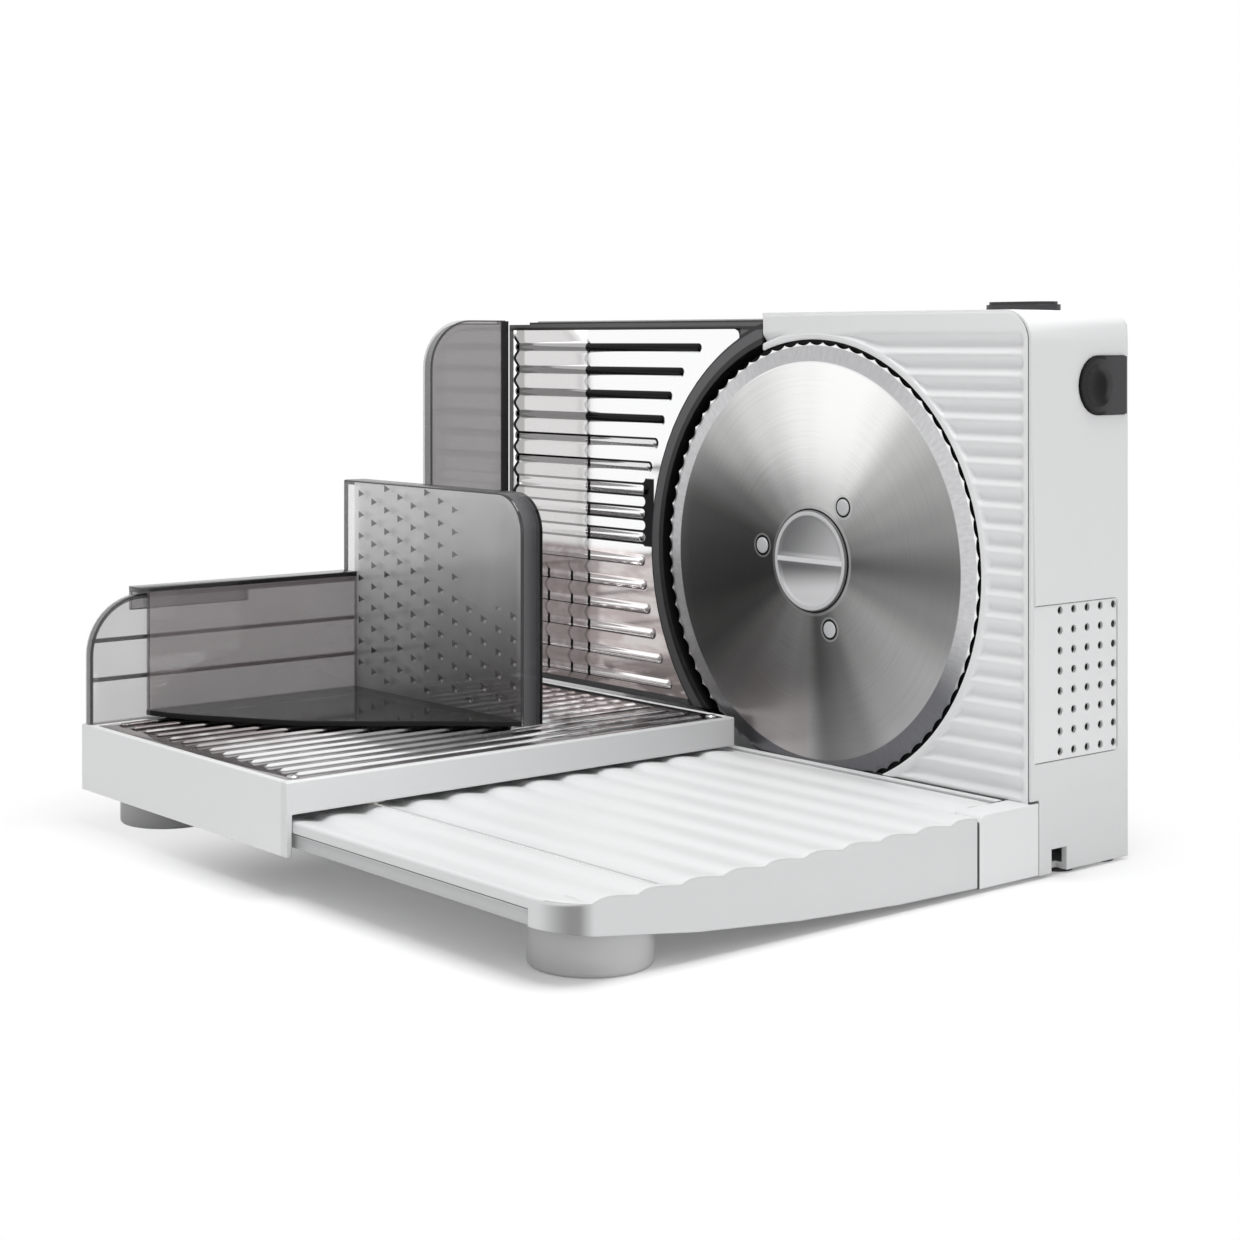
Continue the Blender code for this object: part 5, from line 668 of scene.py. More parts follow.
def tray_white():
    """The tray's white, with painted shade on the band under its front lip, down its round corner and on its right
    side, a painted shadow line under the lip, and painted light in its groove.
    """
    recipe = Recipe("tray_white_plastic")
    x, y, z = recipe.position()
    across = x - (TRAY_RIGHT - TRAY_CORNER)
    out = (TRAY_FRONT + TRAY_CORNER) - y
    turn = out.maths("ARCTAN2", across)
    # Painted shade: a dark streak down the round corner
    corner_shade = turn.within(0.1, 0.5, 0.6, 1.45) * z.fade(26.4, 27.4) * across.fit(0.0, 0.6) * out.fit(0.0, 0.6)
    # Painted shade on the right side
    white = recipe.blend(x.fit(TRAY_RIGHT - 1.2, TRAY_RIGHT - 0.4), cool(0.76), cool(0.68))
    white = recipe.blend(corner_shade, white, (0.27, 0.27, 0.275))
    # Painted shade on the band under the front lip, and a painted shadow line just under the lip
    front = (y - TRAY_FRONT).within(0.3, 0.6, 4.0, 4.6) * across.fade(-2.0, -1.5)
    white = recipe.blend(front * z.fade(22.6, 23.3), white, cool(0.54))
    white = recipe.blend(front * z.within(23.1, 23.4, 24.2, 24.5) * 0.95, white, 0.05)
    # Painted light: the groove glows
    groove = (y - GROOVE_Y).size().fade(1.25, 1.6) * z.fade(28.2, 28.5)
    groove = groove * x.within(GROOVE_LEFT + 0.05, GROOVE_LEFT + 0.25, GROOVE_RIGHT - 0.25, GROOVE_RIGHT - 0.05)
    return recipe.plastic(white, glow=recipe.blend(groove, 0.0, 0.24))


def sledge_white():
    """The sledge's white, with painted shade along its right side, deeper towards the blade."""
    recipe = Recipe("sledge_white_plastic")
    x, y, _ = recipe.position()
    # Painted shade on the right side, deeper towards the back
    side = recipe.blend(y.fit(-225.0, -20.0), cool(0.78), cool(0.57))
    white = recipe.blend(x.fit(PLATE_RIGHT - 0.4, PLATE_RIGHT + 0.2), cool(0.86), side)
    return recipe.plastic(white, edge=0.3)


def lug_white():
    """The base's white, with the dark seams in front of and behind its two hinge lugs."""
    recipe = Recipe("base_white_plastic")
    _, y, z = recipe.position()
    front = y.fade(LUG_FRONT + 0.35, LUG_FRONT + 0.65) * z.fade(27.0, 28.5)
    seam = (front + y.fit(LUG_BACK - 0.45, LUG_BACK - 0.3) * 0.6).capped()
    return recipe.plastic(recipe.blend(seam, cool(0.78), 0.07), edge=0.3)


def button_grey():
    """Near-black grey of the safety button: its edge is darker, and the bowl for the fingertip has painted shade
    with a painted crescent of light.
    """
    recipe = Recipe("lock_button_plastic")
    _, y, z = recipe.position()
    across = y - LOCK_BUTTON_Y
    upright = z - LOCK_BUTTON_Z
    near = diagonal(across, upright)
    grey = recipe.blend(across.fit(-9.0, 10.0), (0.008, 0.008, 0.009), (0.055, 0.055, 0.058))
    # Painted shade in the bowl, and a painted crescent of light in it
    bowl = near.fade(8.2, 9.0)
    crescent = near.fit(5.0, 7.8) * (across + upright * 0.4).fit(1.0, 6.0)
    grey = recipe.blend(bowl * (1.0 - crescent), grey, 0.002)
    grey = recipe.blend(bowl * crescent, grey, (0.05, 0.05, 0.052))
    grey = recipe.blend(near.fit(10.6, 11.1) * across.fade(2.0, 5.0), grey, 0.003)
    return recipe.plastic(grey, 0.42, grain=0.3, depth=0.03, sheen=0.2)


def pusher_rim_smoke():
    """Smoke-grey of the pusher's rim, darker towards its back, with near-black painted shade along its two edges.
    """
    recipe = Recipe("pusher_rim_smoke")
    _, y, _ = recipe.position()
    flow = smoke_flow(recipe)
    near = y - PUSHER_DEPTHS[0]
    far = y - PUSHER_DEPTHS[2]
    colour = recipe.blend(near.fit(0.3, 10.3), (0.13, 0.13, 0.135), (0.05, 0.05, 0.055))
    # Painted shade: near-black lines along the rim's two edges
    lines = near.fade(0.8, 1.3) + far.fit(-2.4, -1.8)
    colour = recipe.blend(lines.capped(), colour, 0.004)
    recipe.surface(colour, flow * 0.06 + 0.16, alpha=lines.fit(0.0, 1.0, 0.85, 1.0), sheen=0.15)
    return recipe.material


def pusher_plate_smoke():
    """Smoke-grey plate, lighter towards its top; the spikes behind it show through as painted dark wedges with
    painted glints, and its foot has a line of painted shade.
    """
    recipe = Recipe("pusher_plate_smoke")
    x, _, z = recipe.position()
    flow = smoke_flow(recipe)
    level = (z - 46.0) * 0.0072 - (x - PUSHER_RIGHT) * 0.0030 + (flow - 0.5) * 0.2
    colour = recipe.blend(level.fit(0.0, 1.1), (0.10, 0.095, 0.095), 0.86)
    column = ((x - SPIKE_LEFT + 2.0) / SPIKE_PITCH_X).maths("ROUND")
    top = SPIKE_TOP - (column + 1.0).maths("FLOORED_MODULO", 3.0) * (SPIKE_PITCH_Z / 3.0)
    row = ((top - z) / SPIKE_PITCH_Z).maths("ROUND").maths("MAXIMUM", 0.0)
    across = x - (column * SPIKE_PITCH_X + SPIKE_LEFT - 2.0)
    upright = z - (top - row * SPIKE_PITCH_Z)
    # Painted dark wedges where the spikes behind the plate show through
    wedge = (1.75 - (across + 1.6) * 0.36 - upright.size()).fit(-0.3, 0.5) * across.fit(-1.9, -1.4)
    zone = column.within(-0.7, -0.3, 11.3, 11.7) * z.fit(51.0, 52.0)
    zone = zone * (column.fade(7.3, 7.7) + z.fade(95.0, 97.0)).capped()
    colour = recipe.blend(wedge * zone * column.fit(3.0, 9.0, 0.95, 0.6), colour, 0.02)
    # Painted shade: a near-black line along the plate's foot
    colour = recipe.blend((z - PUSHER_BASE).fade(0.8, 1.4), colour, 0.005)
    # Painted glints on the wedges
    glint = diagonal(across - 1.4, upright + 1.1).fade(0.5, 1.1) * zone * column.fit(2.0, 6.0, 0.1, 0.6)
    colour = recipe.blend(glint, colour, 0.62)
    recipe.surface(colour, flow * 0.08 + 0.12, alpha=x.fit(GRIP_LEFT - 0.2, GRIP_LEFT + 0.4, 0.22, 0.78))
    return recipe.material


WHITE = moulded("white_plastic", cool(0.80), 0.38, tone=0.01)
HOUSING = housing_white()
SEAM = moulded("seam_grey_plastic", 0.07, 0.5)
# A lighter copy of the white: painted light on the front panel
PANEL = moulded("panel_white_plastic", cool(0.86), 0.38, tone=0.01)
TRAY = tray_white()
BASE = lug_white()
SLEDGE_WHITE = sledge_white()
LOCK = lock_satin()
FRAME = frame_grey()
BUTTON_DARK = button_grey()
GREY = moulded("grey_plastic", (0.10, 0.10, 0.105), 0.5, grain=0.3, depth=0.04)
BUTTON = moulded("button_grey_plastic", (0.05, 0.05, 0.053), 0.45, grain=0.3, depth=0.03, edge=0.6, sheen=0.25)
LIGHT_GREY = moulded("light_grey_plastic", (0.60, 0.61, 0.62), 0.4, edge=0.4)
FOOT = moulded("foot_rubber", (0.53, 0.53, 0.535), 0.55, grain=0.4, depth=0.03)
RUBBER = moulded("pad_rubber", 0.035, 0.8, grain=0.5, depth=0.05)
# Black plastic, and near-black painted shade where recesses, the grille's back and clear edges are seen
BLACK_AND_SHADE = moulded("black_plastic", 0.012, 0.5, sheen=0.15)
NYLON = moulded("natural_nylon", (0.80, 0.78, 0.70), 0.5)
BRONZE = turned_steel("bearing_bronze", (0.55, 0.35, 0.16), 0.35)
STEEL = turned_steel("plain_steel", (0.62, 0.62, 0.64), 0.32)
SMOKE = clear_smoke("smoke_plastic", (0.17, 0.15, 0.155), 0.36)
# Near-black smoke: painted shade along the edges of the clear pieces; the spikes take it too
SMOKE_EDGE = clear_smoke("smoke_plastic_edge", (0.012, 0.012, 0.013), 0.93, 0.15)
GUARD = clear_smoke("guard_smoke", (0.15, 0.14, 0.14), 0.32)
GUARD_TALL = clear_smoke("tall_guard_smoke", (0.15, 0.135, 0.14), 0.6)
# Lighter smoke: a painted highlight on the guards' rims
GUARD_RIM = clear_smoke("guard_rim_smoke", (0.45, 0.45, 0.46), 0.4)
PUSHER_PLATE = pusher_plate_smoke()
PUSHER_RIM = pusher_rim_smoke()
GRIP = clear_smoke("grip_smoke", (0.17, 0.145, 0.15), 0.46)
FLOOR = clear_smoke("pusher_floor_smoke", (0.028, 0.03, 0.029), 0.86)
BLADE = blade_steel()
FENCE = fence_steel()
SLEDGE = sledge_steel()

FINISHES = {
    "white_plastic": WHITE, "grey_plastic": GREY, "smoke_plastic": SMOKE, "polished_steel": STEEL,
    "blade_steel": BLADE, "plain_steel": STEEL, "light_grey_plastic": LIGHT_GREY, "nylon": NYLON,
    "bronze": BRONZE, "rubber": RUBBER, "foot_rubber": FOOT, "black_plastic": BLACK_AND_SHADE,
}

SLOT_OF = {entry["node"]: entry["material_slot"] for entry in frame["record"]["subparts"]}
for node_name, node in frame["nodes"].items():
    node.data.materials.clear()
    node.data.materials.append(FINISHES[SLOT_OF[node_name]])
for node_name, material in (("power_switch", BUTTON), ("lock_button", BUTTON_DARK), ("fence_frame", FRAME),
                            ("housing_shell", HOUSING), ("fence_back_cover", HOUSING)):
    frame["nodes"][node_name].data.materials[0] = material


# Mesh helpers


def finish(name, builder, body, materials, nodes, crease):
    """A piece from a bmesh in the machine's frame: closed doubles, outward faces, its body and its node."""
    bmesh.ops.remove_doubles(builder, verts=builder.verts, dist=0.002)
    bmesh.ops.recalc_face_normals(builder, faces=builder.faces)
    for vertex in builder.verts:
        vertex.co = place(*vertex.co)
    return finish_mesh(name, builder, body, materials, nodes, crease)


def finish_mesh(name, builder, body, materials, nodes, crease):
    mesh = bpy.data.meshes.new(name)
    builder.to_mesh(mesh)
    builder.free()
    for material in materials:
        mesh.materials.append(material)
    mesh.shade_smooth()
    mesh.set_sharp_from_angle(angle=math.radians(crease))
    thing = bpy.data.objects.new(name, mesh)
    scene.collection.objects.link(thing)
    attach(thing, body)
    if nodes:
        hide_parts(*nodes)
    return thing


def net(builder, rows, closed_rows=False, tint=None):
    """Faces between equally long rows of points; tint(row, column) gives a face's material."""
    made = [[builder.verts.new(point) for point in row] for row in rows]
    for number, (first, second) in enumerate(zip(made, made[1:])):
        for index in range(len(first) - 1 + closed_rows):
            after = (index + 1) % len(first)
            face = builder.faces.new([first[index], first[after], second[after], second[index]])
            face.material_index = tint(number, index) if tint else 0
    return made


def close_back(builder, axis, level):
    """Walls from every free edge back to one plane, and the plane itself."""
    bmesh.ops.remove_doubles(builder, verts=builder.verts, dist=0.002)
    builder.edges.ensure_lookup_table()
    free = [edge for edge in builder.edges if edge.is_boundary]
    made = bmesh.ops.extrude_edge_only(builder, edges=free)["geom"]
    for vertex in made:
        if isinstance(vertex, bmesh.types.BMVert):
            vertex.co[axis] = level
    rim = [edge for edge in made if isinstance(edge, bmesh.types.BMEdge) and edge.is_boundary]
    bmesh.ops.triangle_fill(builder, use_beauty=True, edges=rim)


def thicken(builder, depth):
    """A closed shell from an open one, by a second layer depth behind it."""
    builder.normal_update()
    front_faces = list(builder.faces)
    rim = [edge for edge in builder.edges if edge.is_boundary]
    behind = {vertex: builder.verts.new(vertex.co - vertex.normal * depth) for vertex in list(builder.verts)}
    for face in front_faces:
        made = builder.faces.new([behind[vertex] for vertex in reversed(face.verts)])
        made.material_index = face.material_index
    for edge in rim:
        first, second = edge.verts
        builder.faces.new([first, second, behind[second], behind[first]])


def to_space(axis, a, b, along):
    if axis == "x":
        return (along, a, b)
    if axis == "y":
        return (a, along, b)
    return (a, b, along)


def full_turn(count):
    return [2.0 * math.pi * index / count for index in range(count)]


def round_axis(radius, angle, y):
    """A point at a radius and an angle round the blade's axis."""
    return (radius * math.cos(angle), y, AXIS_Z + radius * math.sin(angle))


def arc_points(centre, radius, start, end, steps):
    """Points on an arc, its angles in degrees."""
    angles = [math.radians(start + (end - start) * step / steps) for step in range(steps + 1)]
    return [(centre[0] + radius * math.cos(angle), centre[1] + radius * math.sin(angle)) for angle in angles]


def lathe(builder, axis, centre, profile, sides):
    """A closed profile of (radius, place along the axis) turned round an axis; radius 0 is a pole."""
    rings = []
    for radius, along in profile:
        if radius == 0.0:
            rings.append([builder.verts.new(to_space(axis, centre[0], centre[1], along))])
            continue
        points = [(centre[0] + radius * math.cos(angle), centre[1] + radius * math.sin(angle))
                  for angle in full_turn(sides)]
        rings.append([builder.verts.new(to_space(axis, a, b, along)) for a, b in points])
    pairs = list(zip(rings, rings[1:]))
    if profile[0][0] > 0.0:
        pairs.append((rings[-1], rings[0]))
    for first, second in pairs:
        for index in range(sides):
            after = (index + 1) % sides
            corners = [first[index % len(first)], first[after % len(first)], second[after % len(second)],
                       second[index % len(second)]]
            builder.faces.new(list(dict.fromkeys(corners)))


# Front panel


def panel_depth(x, z):
    """How far the panel's skin lies behind its crests."""
    radius = math.hypot(x, z - AXIS_Z)
    fade = ease(radius, RING_RADIUS + 0.1, RING_RADIUS + 1.3) * ease(PANEL_RIGHT - 3.0 - x, 0.0, 2.5)
    wave = 0.0
    if z < WAVE_TOP:
        phase = (z - WAVE_BOTTOM) / WAVE_PITCH
        wave = 0.5 - 0.5 * math.cos(2.0 * math.pi * phase)
        wave = wave ** 0.85
    return WAVE_DEPTH * wave * fade


def panel_right(z):
    rise = z - (PANEL_TOP - PANEL_CORNER)
    if rise <= 0.0:
        return PANEL_RIGHT
    return PANEL_RIGHT - PANEL_CORNER + math.sqrt(max(0.0, PANEL_CORNER ** 2 - rise ** 2))


def panel_point(x, z):
    proud = 0.08
    edge = 0.7
    inset = min(PANEL_RIGHT - x, PANEL_TOP - z)
    if z > PANEL_TOP - PANEL_CORNER and x > PANEL_RIGHT - PANEL_CORNER:
        inset = PANEL_CORNER - math.hypot(x - PANEL_RIGHT + PANEL_CORNER, z - PANEL_TOP + PANEL_CORNER)
    inset = min(edge, max(0.0, inset))
    round_off = edge - math.sqrt(max(0.0, edge ** 2 - (edge - inset) ** 2))
    return (x, panel_depth(x, z) - proud + round_off, z)


def front_panel():
    """Waved skin, ring round the blade, and the flat behind the blade; the recess round the opening and that flat
    are black, as painted shade.
    """
    hidden = RING_RADIUS - 0.9
    corner = PANEL_TOP - PANEL_CORNER
    heights = spread(PANEL_BOTTOM, corner, 290)
    heights += [corner + PANEL_CORNER * math.sin(math.radians(step * 5.0)) for step in range(1, 19)]
    heights += [PANEL_TOP - 0.12, PANEL_TOP - 0.4, AXIS_Z + hidden]
    heights.append(AXIS_Z + math.sqrt(hidden ** 2 - PANEL_LEFT ** 2))
    heights = sorted(set(round(height, 4) for height in heights))
    near_edge = (0.0, 0.12, 0.4, 0.8, 1.6, 2.5, 3.5, 4.5, 5.5, 6.5)
    right_rows = []
    left_rows = []
    for z in heights:
        rise = z - AXIS_Z
        half = math.sqrt(max(0.0, hidden ** 2 - rise ** 2)) if abs(rise) < hidden else 0.0
        right = panel_right(z)
        columns = [half + step for step in (0.0, 0.6, 1.1, 1.6, 2.1, 2.6, 3.1, 3.8, 5.0)]
        columns += spread(columns[-1], right - near_edge[-1], 12)[1:]
        columns += [right - inset for inset in near_edge[-2::-1]]
        right_rows.append([panel_point(x, z) for x in columns])
        if rise > 0.0 and -half >= PANEL_LEFT - 0.001:
            left_rows.append([panel_point(x, z) for x in spread(PANEL_LEFT, -half, 14)])
    builder = bmesh.new()
    last = len(right_rows[0]) - 2
    top = len(right_rows) - 3
    net(builder, right_rows, False, lambda row, column: 1 if column >= last - 2 or row >= top else 0)
    net(builder, left_rows, False, lambda row, column: 1 if row >= len(left_rows) - 4 else 0)
    close_back(builder, 1, PANEL_BACK)
    panel_ring(builder)
    finish("front_panel_skin", builder, "machine", [PANEL, SEAM, BLACK_AND_SHADE], ("front_panel",), 40.0)


def panel_ring(builder):
    profile = [(RECESS_RADIUS, PANEL_BACK), (RECESS_RADIUS, RECESS_FLOOR), (95.7, RECESS_FLOOR), (96.05, 2.45),
               (OPENING_RADIUS, 2.1), (OPENING_RADIUS, 0.5), (96.35, 0.15), (96.6, -0.05), (97.0, -0.12),
               (98.2, -0.12), (98.5, -0.05), (98.75, 0.15), (RING_RADIUS, 0.5), (RING_RADIUS, PANEL_BACK)]
    steps = 220
    rows = []
    for step in range(steps + 1):
        row = []
        for radius, y in profile:
            start = -math.asin((AXIS_Z - PANEL_BOTTOM) / radius)
            end = math.acos(PANEL_LEFT / radius)
            angle = start + (end - start) * step / steps
            row.append(round_axis(radius, angle, y))
        rows.append(row)
    # The recess's floor and outer wall take black: painted shade
    made = net(builder, rows, True, lambda row, column: 2 if 1 <= column <= 4 else 0)
    builder.faces.new(made[0])
    builder.faces.new(made[-1][::-1])
    rings = []
    for radius, y in ((SPINDLE_HOLE, PANEL_BACK), (SPINDLE_HOLE, RECESS_FLOOR), (RECESS_RADIUS, RECESS_FLOOR),
                      (RECESS_RADIUS, PANEL_BACK)):
        ring = []
        for angle in full_turn(160):
            below = -math.sin(angle)
            reach = min(radius, (AXIS_Z - PANEL_BOTTOM) / below) if below > 0.0 else radius
            ring.append(round_axis(reach, angle, y + 0.01))
        rings.append(ring)
    rings.append(rings[0])
    # The flat behind the blade is black: painted shade
    net(builder, rings, True, lambda row, column: 2)


# Blade, its pins and its lock


def blade():
    """Serrated disc: flat, ground bevel, and scalloped edge with a small hollow in front of each gullet."""
    per_tooth = 14
    around = TEETH * per_tooth
    root = 92.6
    root_y = 0.4
    front = [(BLADE_HOLE, BLADE_FRONT), (50.0, BLADE_FRONT), (80.0, BLADE_FRONT), (85.8, BLADE_FRONT),
             (86.1, BLADE_FRONT + 0.02), (86.6, BLADE_FRONT + 0.08), (89.5, 0.02), (91.6, 0.28), (root, root_y)]
    rings = [[point] * around for point in front]
    for share in (0.35, 0.7, 1.0):
        ring = []
        for index in range(around):
            phase = (index % per_tooth) / per_tooth
            gullet = math.sin(math.pi * phase) ** 0.8 if phase > 0.0 else 0.0
            rim = BLADE_RADIUS - TOOTH_DEPTH * gullet
            ring.append((root + (rim - root) * share, root_y + (EDGE_Y - root_y) * share + 0.28 * gullet * share))
        rings.append(ring)
    rim_ring = rings[-1]
    rings.append([(radius, BLADE_BACK) for radius, _ in rim_ring])
    rings.append([(BLADE_HOLE, BLADE_BACK)] * around)
    rings.append(rings[0])
    angles = full_turn(around)
    rows = [[round_axis(radius, angle, y) for angle, (radius, y) in zip(angles, ring)] for ring in rings]
    builder = bmesh.new()
    net(builder, rows, True)
    finish("serrated_blade", builder, "knife", [BLADE], ("blade",), 25.0)


def blade_lock():
    """Round lock in the blade's middle: a rim, and a bar between two scoops that are deepest beside it."""
    front = BLADE_FRONT - 1.3
    seat = BLADE_FRONT - 0.1
    bar = 1.1
    inner = 19.2
    angles = full_turn(192)
    rows = []
    for radius in spread(0.0, HUB_RADIUS - 0.7, 70)[1:]:
        row = []
        for angle in angles:
            off = abs(radius * math.sin(angle)) - bar
            scoop = ease(off, 0.0, 1.8) * (1.0 - 0.85 * ease(off, 0.0, inner - bar))
            row.append(round_axis(radius, angle, front + 1.15 * scoop * ease(inner - radius, -0.5, 0.8)))
        rows.append(row)
    for inset, y in ((0.3, front + 0.12), (0.05, front + 0.4), (0.0, front + 0.8), (0.0, seat)):
        rows.append([round_axis(HUB_RADIUS - inset, angle, y) for angle in angles])
    builder = bmesh.new()
    made = net(builder, rows, True)
    builder.faces.new(made[0][::-1])
    builder.faces.new(made[-1])
    finish("blade_lock", builder, "knife", [LOCK], ("hub_knob",), 40.0)


def blade_pins():
    face = BLADE_FRONT - 0.5
    seat = BLADE_FRONT + 0.2
    profile = [(0.0, face), (2.9, face), (3.3, face + 0.08), (3.5, face + 0.3), (3.5, seat), (PIN_RADIUS, seat),
               (PIN_RADIUS, BLADE_BACK), (0.0, BLADE_BACK)]
    for number, centre in enumerate(pin_centres(), 1):
        builder = bmesh.new()
        lathe(builder, "y", centre, profile, 40)
        finish(f"blade_rivet_{number}", builder, "knife", [LIGHT_GREY], (f"blade_pin_{number}",), 50.0)


# Ribbed steel sheets


def rib_height(reach, half, rise):
    """The rounded cross-section of a pressed rib, at a distance from its middle line."""
    share = min(1.0, reach / (half * 1.12))
    return rise * (0.5 + 0.5 * math.cos(math.pi * share)) if share < 1.0 else 0.0


RIB_OFFSETS = (-3.1, -2.7, -2.3, -1.9, -1.5, -1.1, -0.7, -0.3, 0.0, 0.3, 0.7, 1.1, 1.5, 1.9, 2.3, 2.7, 3.1)


def fence_arc(rise):
    """Radius of the arc along which the ribs end, at a height above the blade's axis."""
    return FENCE_RIB_ARC_LOW + (FENCE_RIB_ARC - FENCE_RIB_ARC_LOW) * ease(rise, 50.0, 80.0)


def fence_sheet():
    """The stop plate's mirror sheet with fifteen pressed ribs that end along the blade."""
    corner = 3.0
    ribs = [FENCE_RIB_LOW + FENCE_RIB_PITCH * index for index in range(15)]
    heights = [FENCE_BOTTOM, FENCE_TOP] + [rib + offset for rib in ribs for offset in RIB_OFFSETS]
    heights += [rib + FENCE_RIB_PITCH / 2 for rib in ribs[:-1]]
    heights += [213.2, 214.0, 215.5, 217.0]
    heights = sorted(set(round(height, 3) for height in heights if FENCE_BOTTOM <= height <= FENCE_TOP))
    rows = []
    for z in heights:
        rise = z - AXIS_Z
        edge = min(-math.sqrt(max(0.0, FENCE_ARC ** 2 - rise ** 2)), FENCE_CORNER_X)
        if z > FENCE_TOP - corner:
            edge -= corner - math.sqrt(corner ** 2 - (z - FENCE_TOP + corner) ** 2)
        nearest = min(ribs, key=lambda rib: abs(rib - z))
        lift = nearest - AXIS_Z
        end = -math.sqrt(fence_arc(lift) ** 2 - lift ** 2)
        columns = [FENCE_LEFT] + [FENCE_RIB_LEFT + offset for offset in (-2.6, -2.0, -1.4, -0.8, -0.2, 0.6)]
        columns += spread(columns[-1], end - 7.0, 12)[1:]
        columns += [end + offset for offset in (-5.0, -3.2, -1.6, -0.8, 0.0, 0.4, 0.8, 1.2, 1.6, 2.0, 2.4, 2.8)]
        columns += spread(end + 2.8, max(edge, end + 3.0), 4)[1:]
        row = []
        for x in columns:
            beyond = max(0.0, x - end, FENCE_RIB_LEFT - x)
            reach = math.hypot(beyond, z - nearest)
            row.append((x, SHEET_FRONT - rib_height(reach, FENCE_RIB_HALF, FENCE_RIB_RISE), z))
        rows.append(row)
    builder = bmesh.new()
    net(builder, rows)
    close_back(builder, 1, SHEET_BACK)
    finish("stop_plate_sheet", builder, "stop", [FENCE], ("fence_plate",), 50.0)


def sledge_sheet():
    """The carriage's sheet with fourteen pressed ribs."""
    ribs = [PLATE_RIB_FIRST + PLATE_RIB_PITCH * index for index in range(14)]
    columns = [PLATE_LEFT, PLATE_LEFT + 0.3, PLATE_RIGHT - 0.3, PLATE_RIGHT]
    columns += [rib + offset for rib in ribs for offset in RIB_OFFSETS]
    columns = sorted(set(round(column, 3) for column in columns))
    lines = [PLATE_FRONT, PLATE_FRONT + 0.3] + [PLATE_RIB_FRONT + offset for offset in RIB_OFFSETS[:9]]
    lines += spread(PLATE_RIB_FRONT, PLATE_RIB_BACK, 12)[1:-1]
    lines += [PLATE_RIB_BACK + offset for offset in RIB_OFFSETS[8:]] + [PLATE_BACK - 0.3, PLATE_BACK]
    rows = []
    for y in lines:
        row = []
        for x in columns:
            nearest = min(ribs, key=lambda rib: abs(rib - x))
            beyond = max(0.0, PLATE_RIB_FRONT - y, y - PLATE_RIB_BACK)
            reach = math.hypot(beyond, x - nearest)
            edge = min(x - PLATE_LEFT, PLATE_RIGHT - x, y - PLATE_FRONT, PLATE_BACK - y)
            drop = 0.15 if edge < 0.1 else 0.0
            row.append((x, y, PLATE_TOP - drop + rib_height(reach, PLATE_RIB_HALF, PLATE_RIB_RISE)))
        rows.append(row)
    builder = bmesh.new()
    net(builder, rows)
    close_back(builder, 2, PLATE_TOP - 0.75)
    finish("carriage_sheet", builder, "sledge", [SLEDGE], ("carriage_plate",), 50.0)


# Tray


def tray_share(phase):
    """How deep the wave is at a phase of 0 to 1: a steep rise from the valley and a long fall."""
    shares = (1.0, 0.2, 0.0, 0.12, 0.4, 0.75)
    at = (phase % 1.0) * 6.0
    first = int(at) % 6
    part = at - int(at)
    a, b, c, d = (shares[(first + step) % 6] for step in (-1, 0, 1, 2))
    return b + 0.5 * part * (c - a + part * (2 * a - 5 * b + 4 * c - d + part * (3 * (b - c) + d - a)))


def tray_height(y):
    share = (y - TRAY_FRONT) / (TRAY_INNER - TRAY_FRONT)
    crest = TRAY_CREST + TRAY_CREST_RISE * share
    if y < TRAY_START:
        return crest - TRAY_WAVE * ease(y, TRAY_FRONT + 1.5, TRAY_START)
    if y > TRAY_INNER - TRAY_FLAT:
        return crest - TRAY_WAVE
    return crest - TRAY_WAVE * tray_share((y - TRAY_START) / TRAY_PITCH)


def tray_under(y):
    """Lower edge of the tray's side, which thins towards the front."""
    knots = ((0.0, 0.08), (0.127, 0.092), (0.305, 0.113), (0.53, 0.205), (0.739, 0.353), (0.938, 0.572),
             (1.0, 0.65))
    share = min(1.0, max(0.0, (y - TRAY_INNER) / (TRAY_FRONT - TRAY_INNER)))
    for (low, first), (high, second) in zip(knots, knots[1:]):
        if share <= high:
            return TRAY_CREST * (first + (second - first) * (share - low) / (high - low)) - 0.08
    return TRAY_CREST * knots[-1][1]


def tray_row(y):
    """Where the tray's flat top begins and ends at a depth, and which way its edge faces there."""
    corner = TRAY_CORNER - TRAY_EDGE
    rise = max(0.0, TRAY_FRONT + TRAY_CORNER - y)
    across = math.sqrt(max(0.0, corner ** 2 - rise ** 2))
    left = (TRAY_LEFT + TRAY_CORNER - across, y)
    right = (TRAY_RIGHT - TRAY_CORNER + across, y)
    return left, right, (across / corner, -rise / corner)


def tray_edge(point, facing, foot):
    """One station of the rounded edge: from the flat top over the rounding and down to its foot."""
    top = tray_height(point[1]) + TRAY_OVER
    reach = TRAY_EDGE + TRAY_OVER / 2
    row = []
    for step in range(7):
        angle = math.radians(15.0 * step)
        out = reach * math.sin(angle)
        row.append((point[0] + facing[0] * out, point[1] + facing[1] * out, top - reach * (1.0 - math.cos(angle))))
    return row + [(row[-1][0], row[-1][1], foot)]


def tray_columns(y, left, right):
    low = max(left + 1.0, GROOVE_LEFT)
    high = min(right - 1.0, GROOVE_RIGHT)
    deep = abs(y - GROOVE_Y) < 1.21
    top = tray_height(y) + TRAY_OVER
    floor = GROOVE_FLOOR if deep else top
    return [(left, y, top), (low, y, top), (low + 0.05, y, floor), (high - 0.05, y, floor), (high, y, top),
            (right, y, top)]


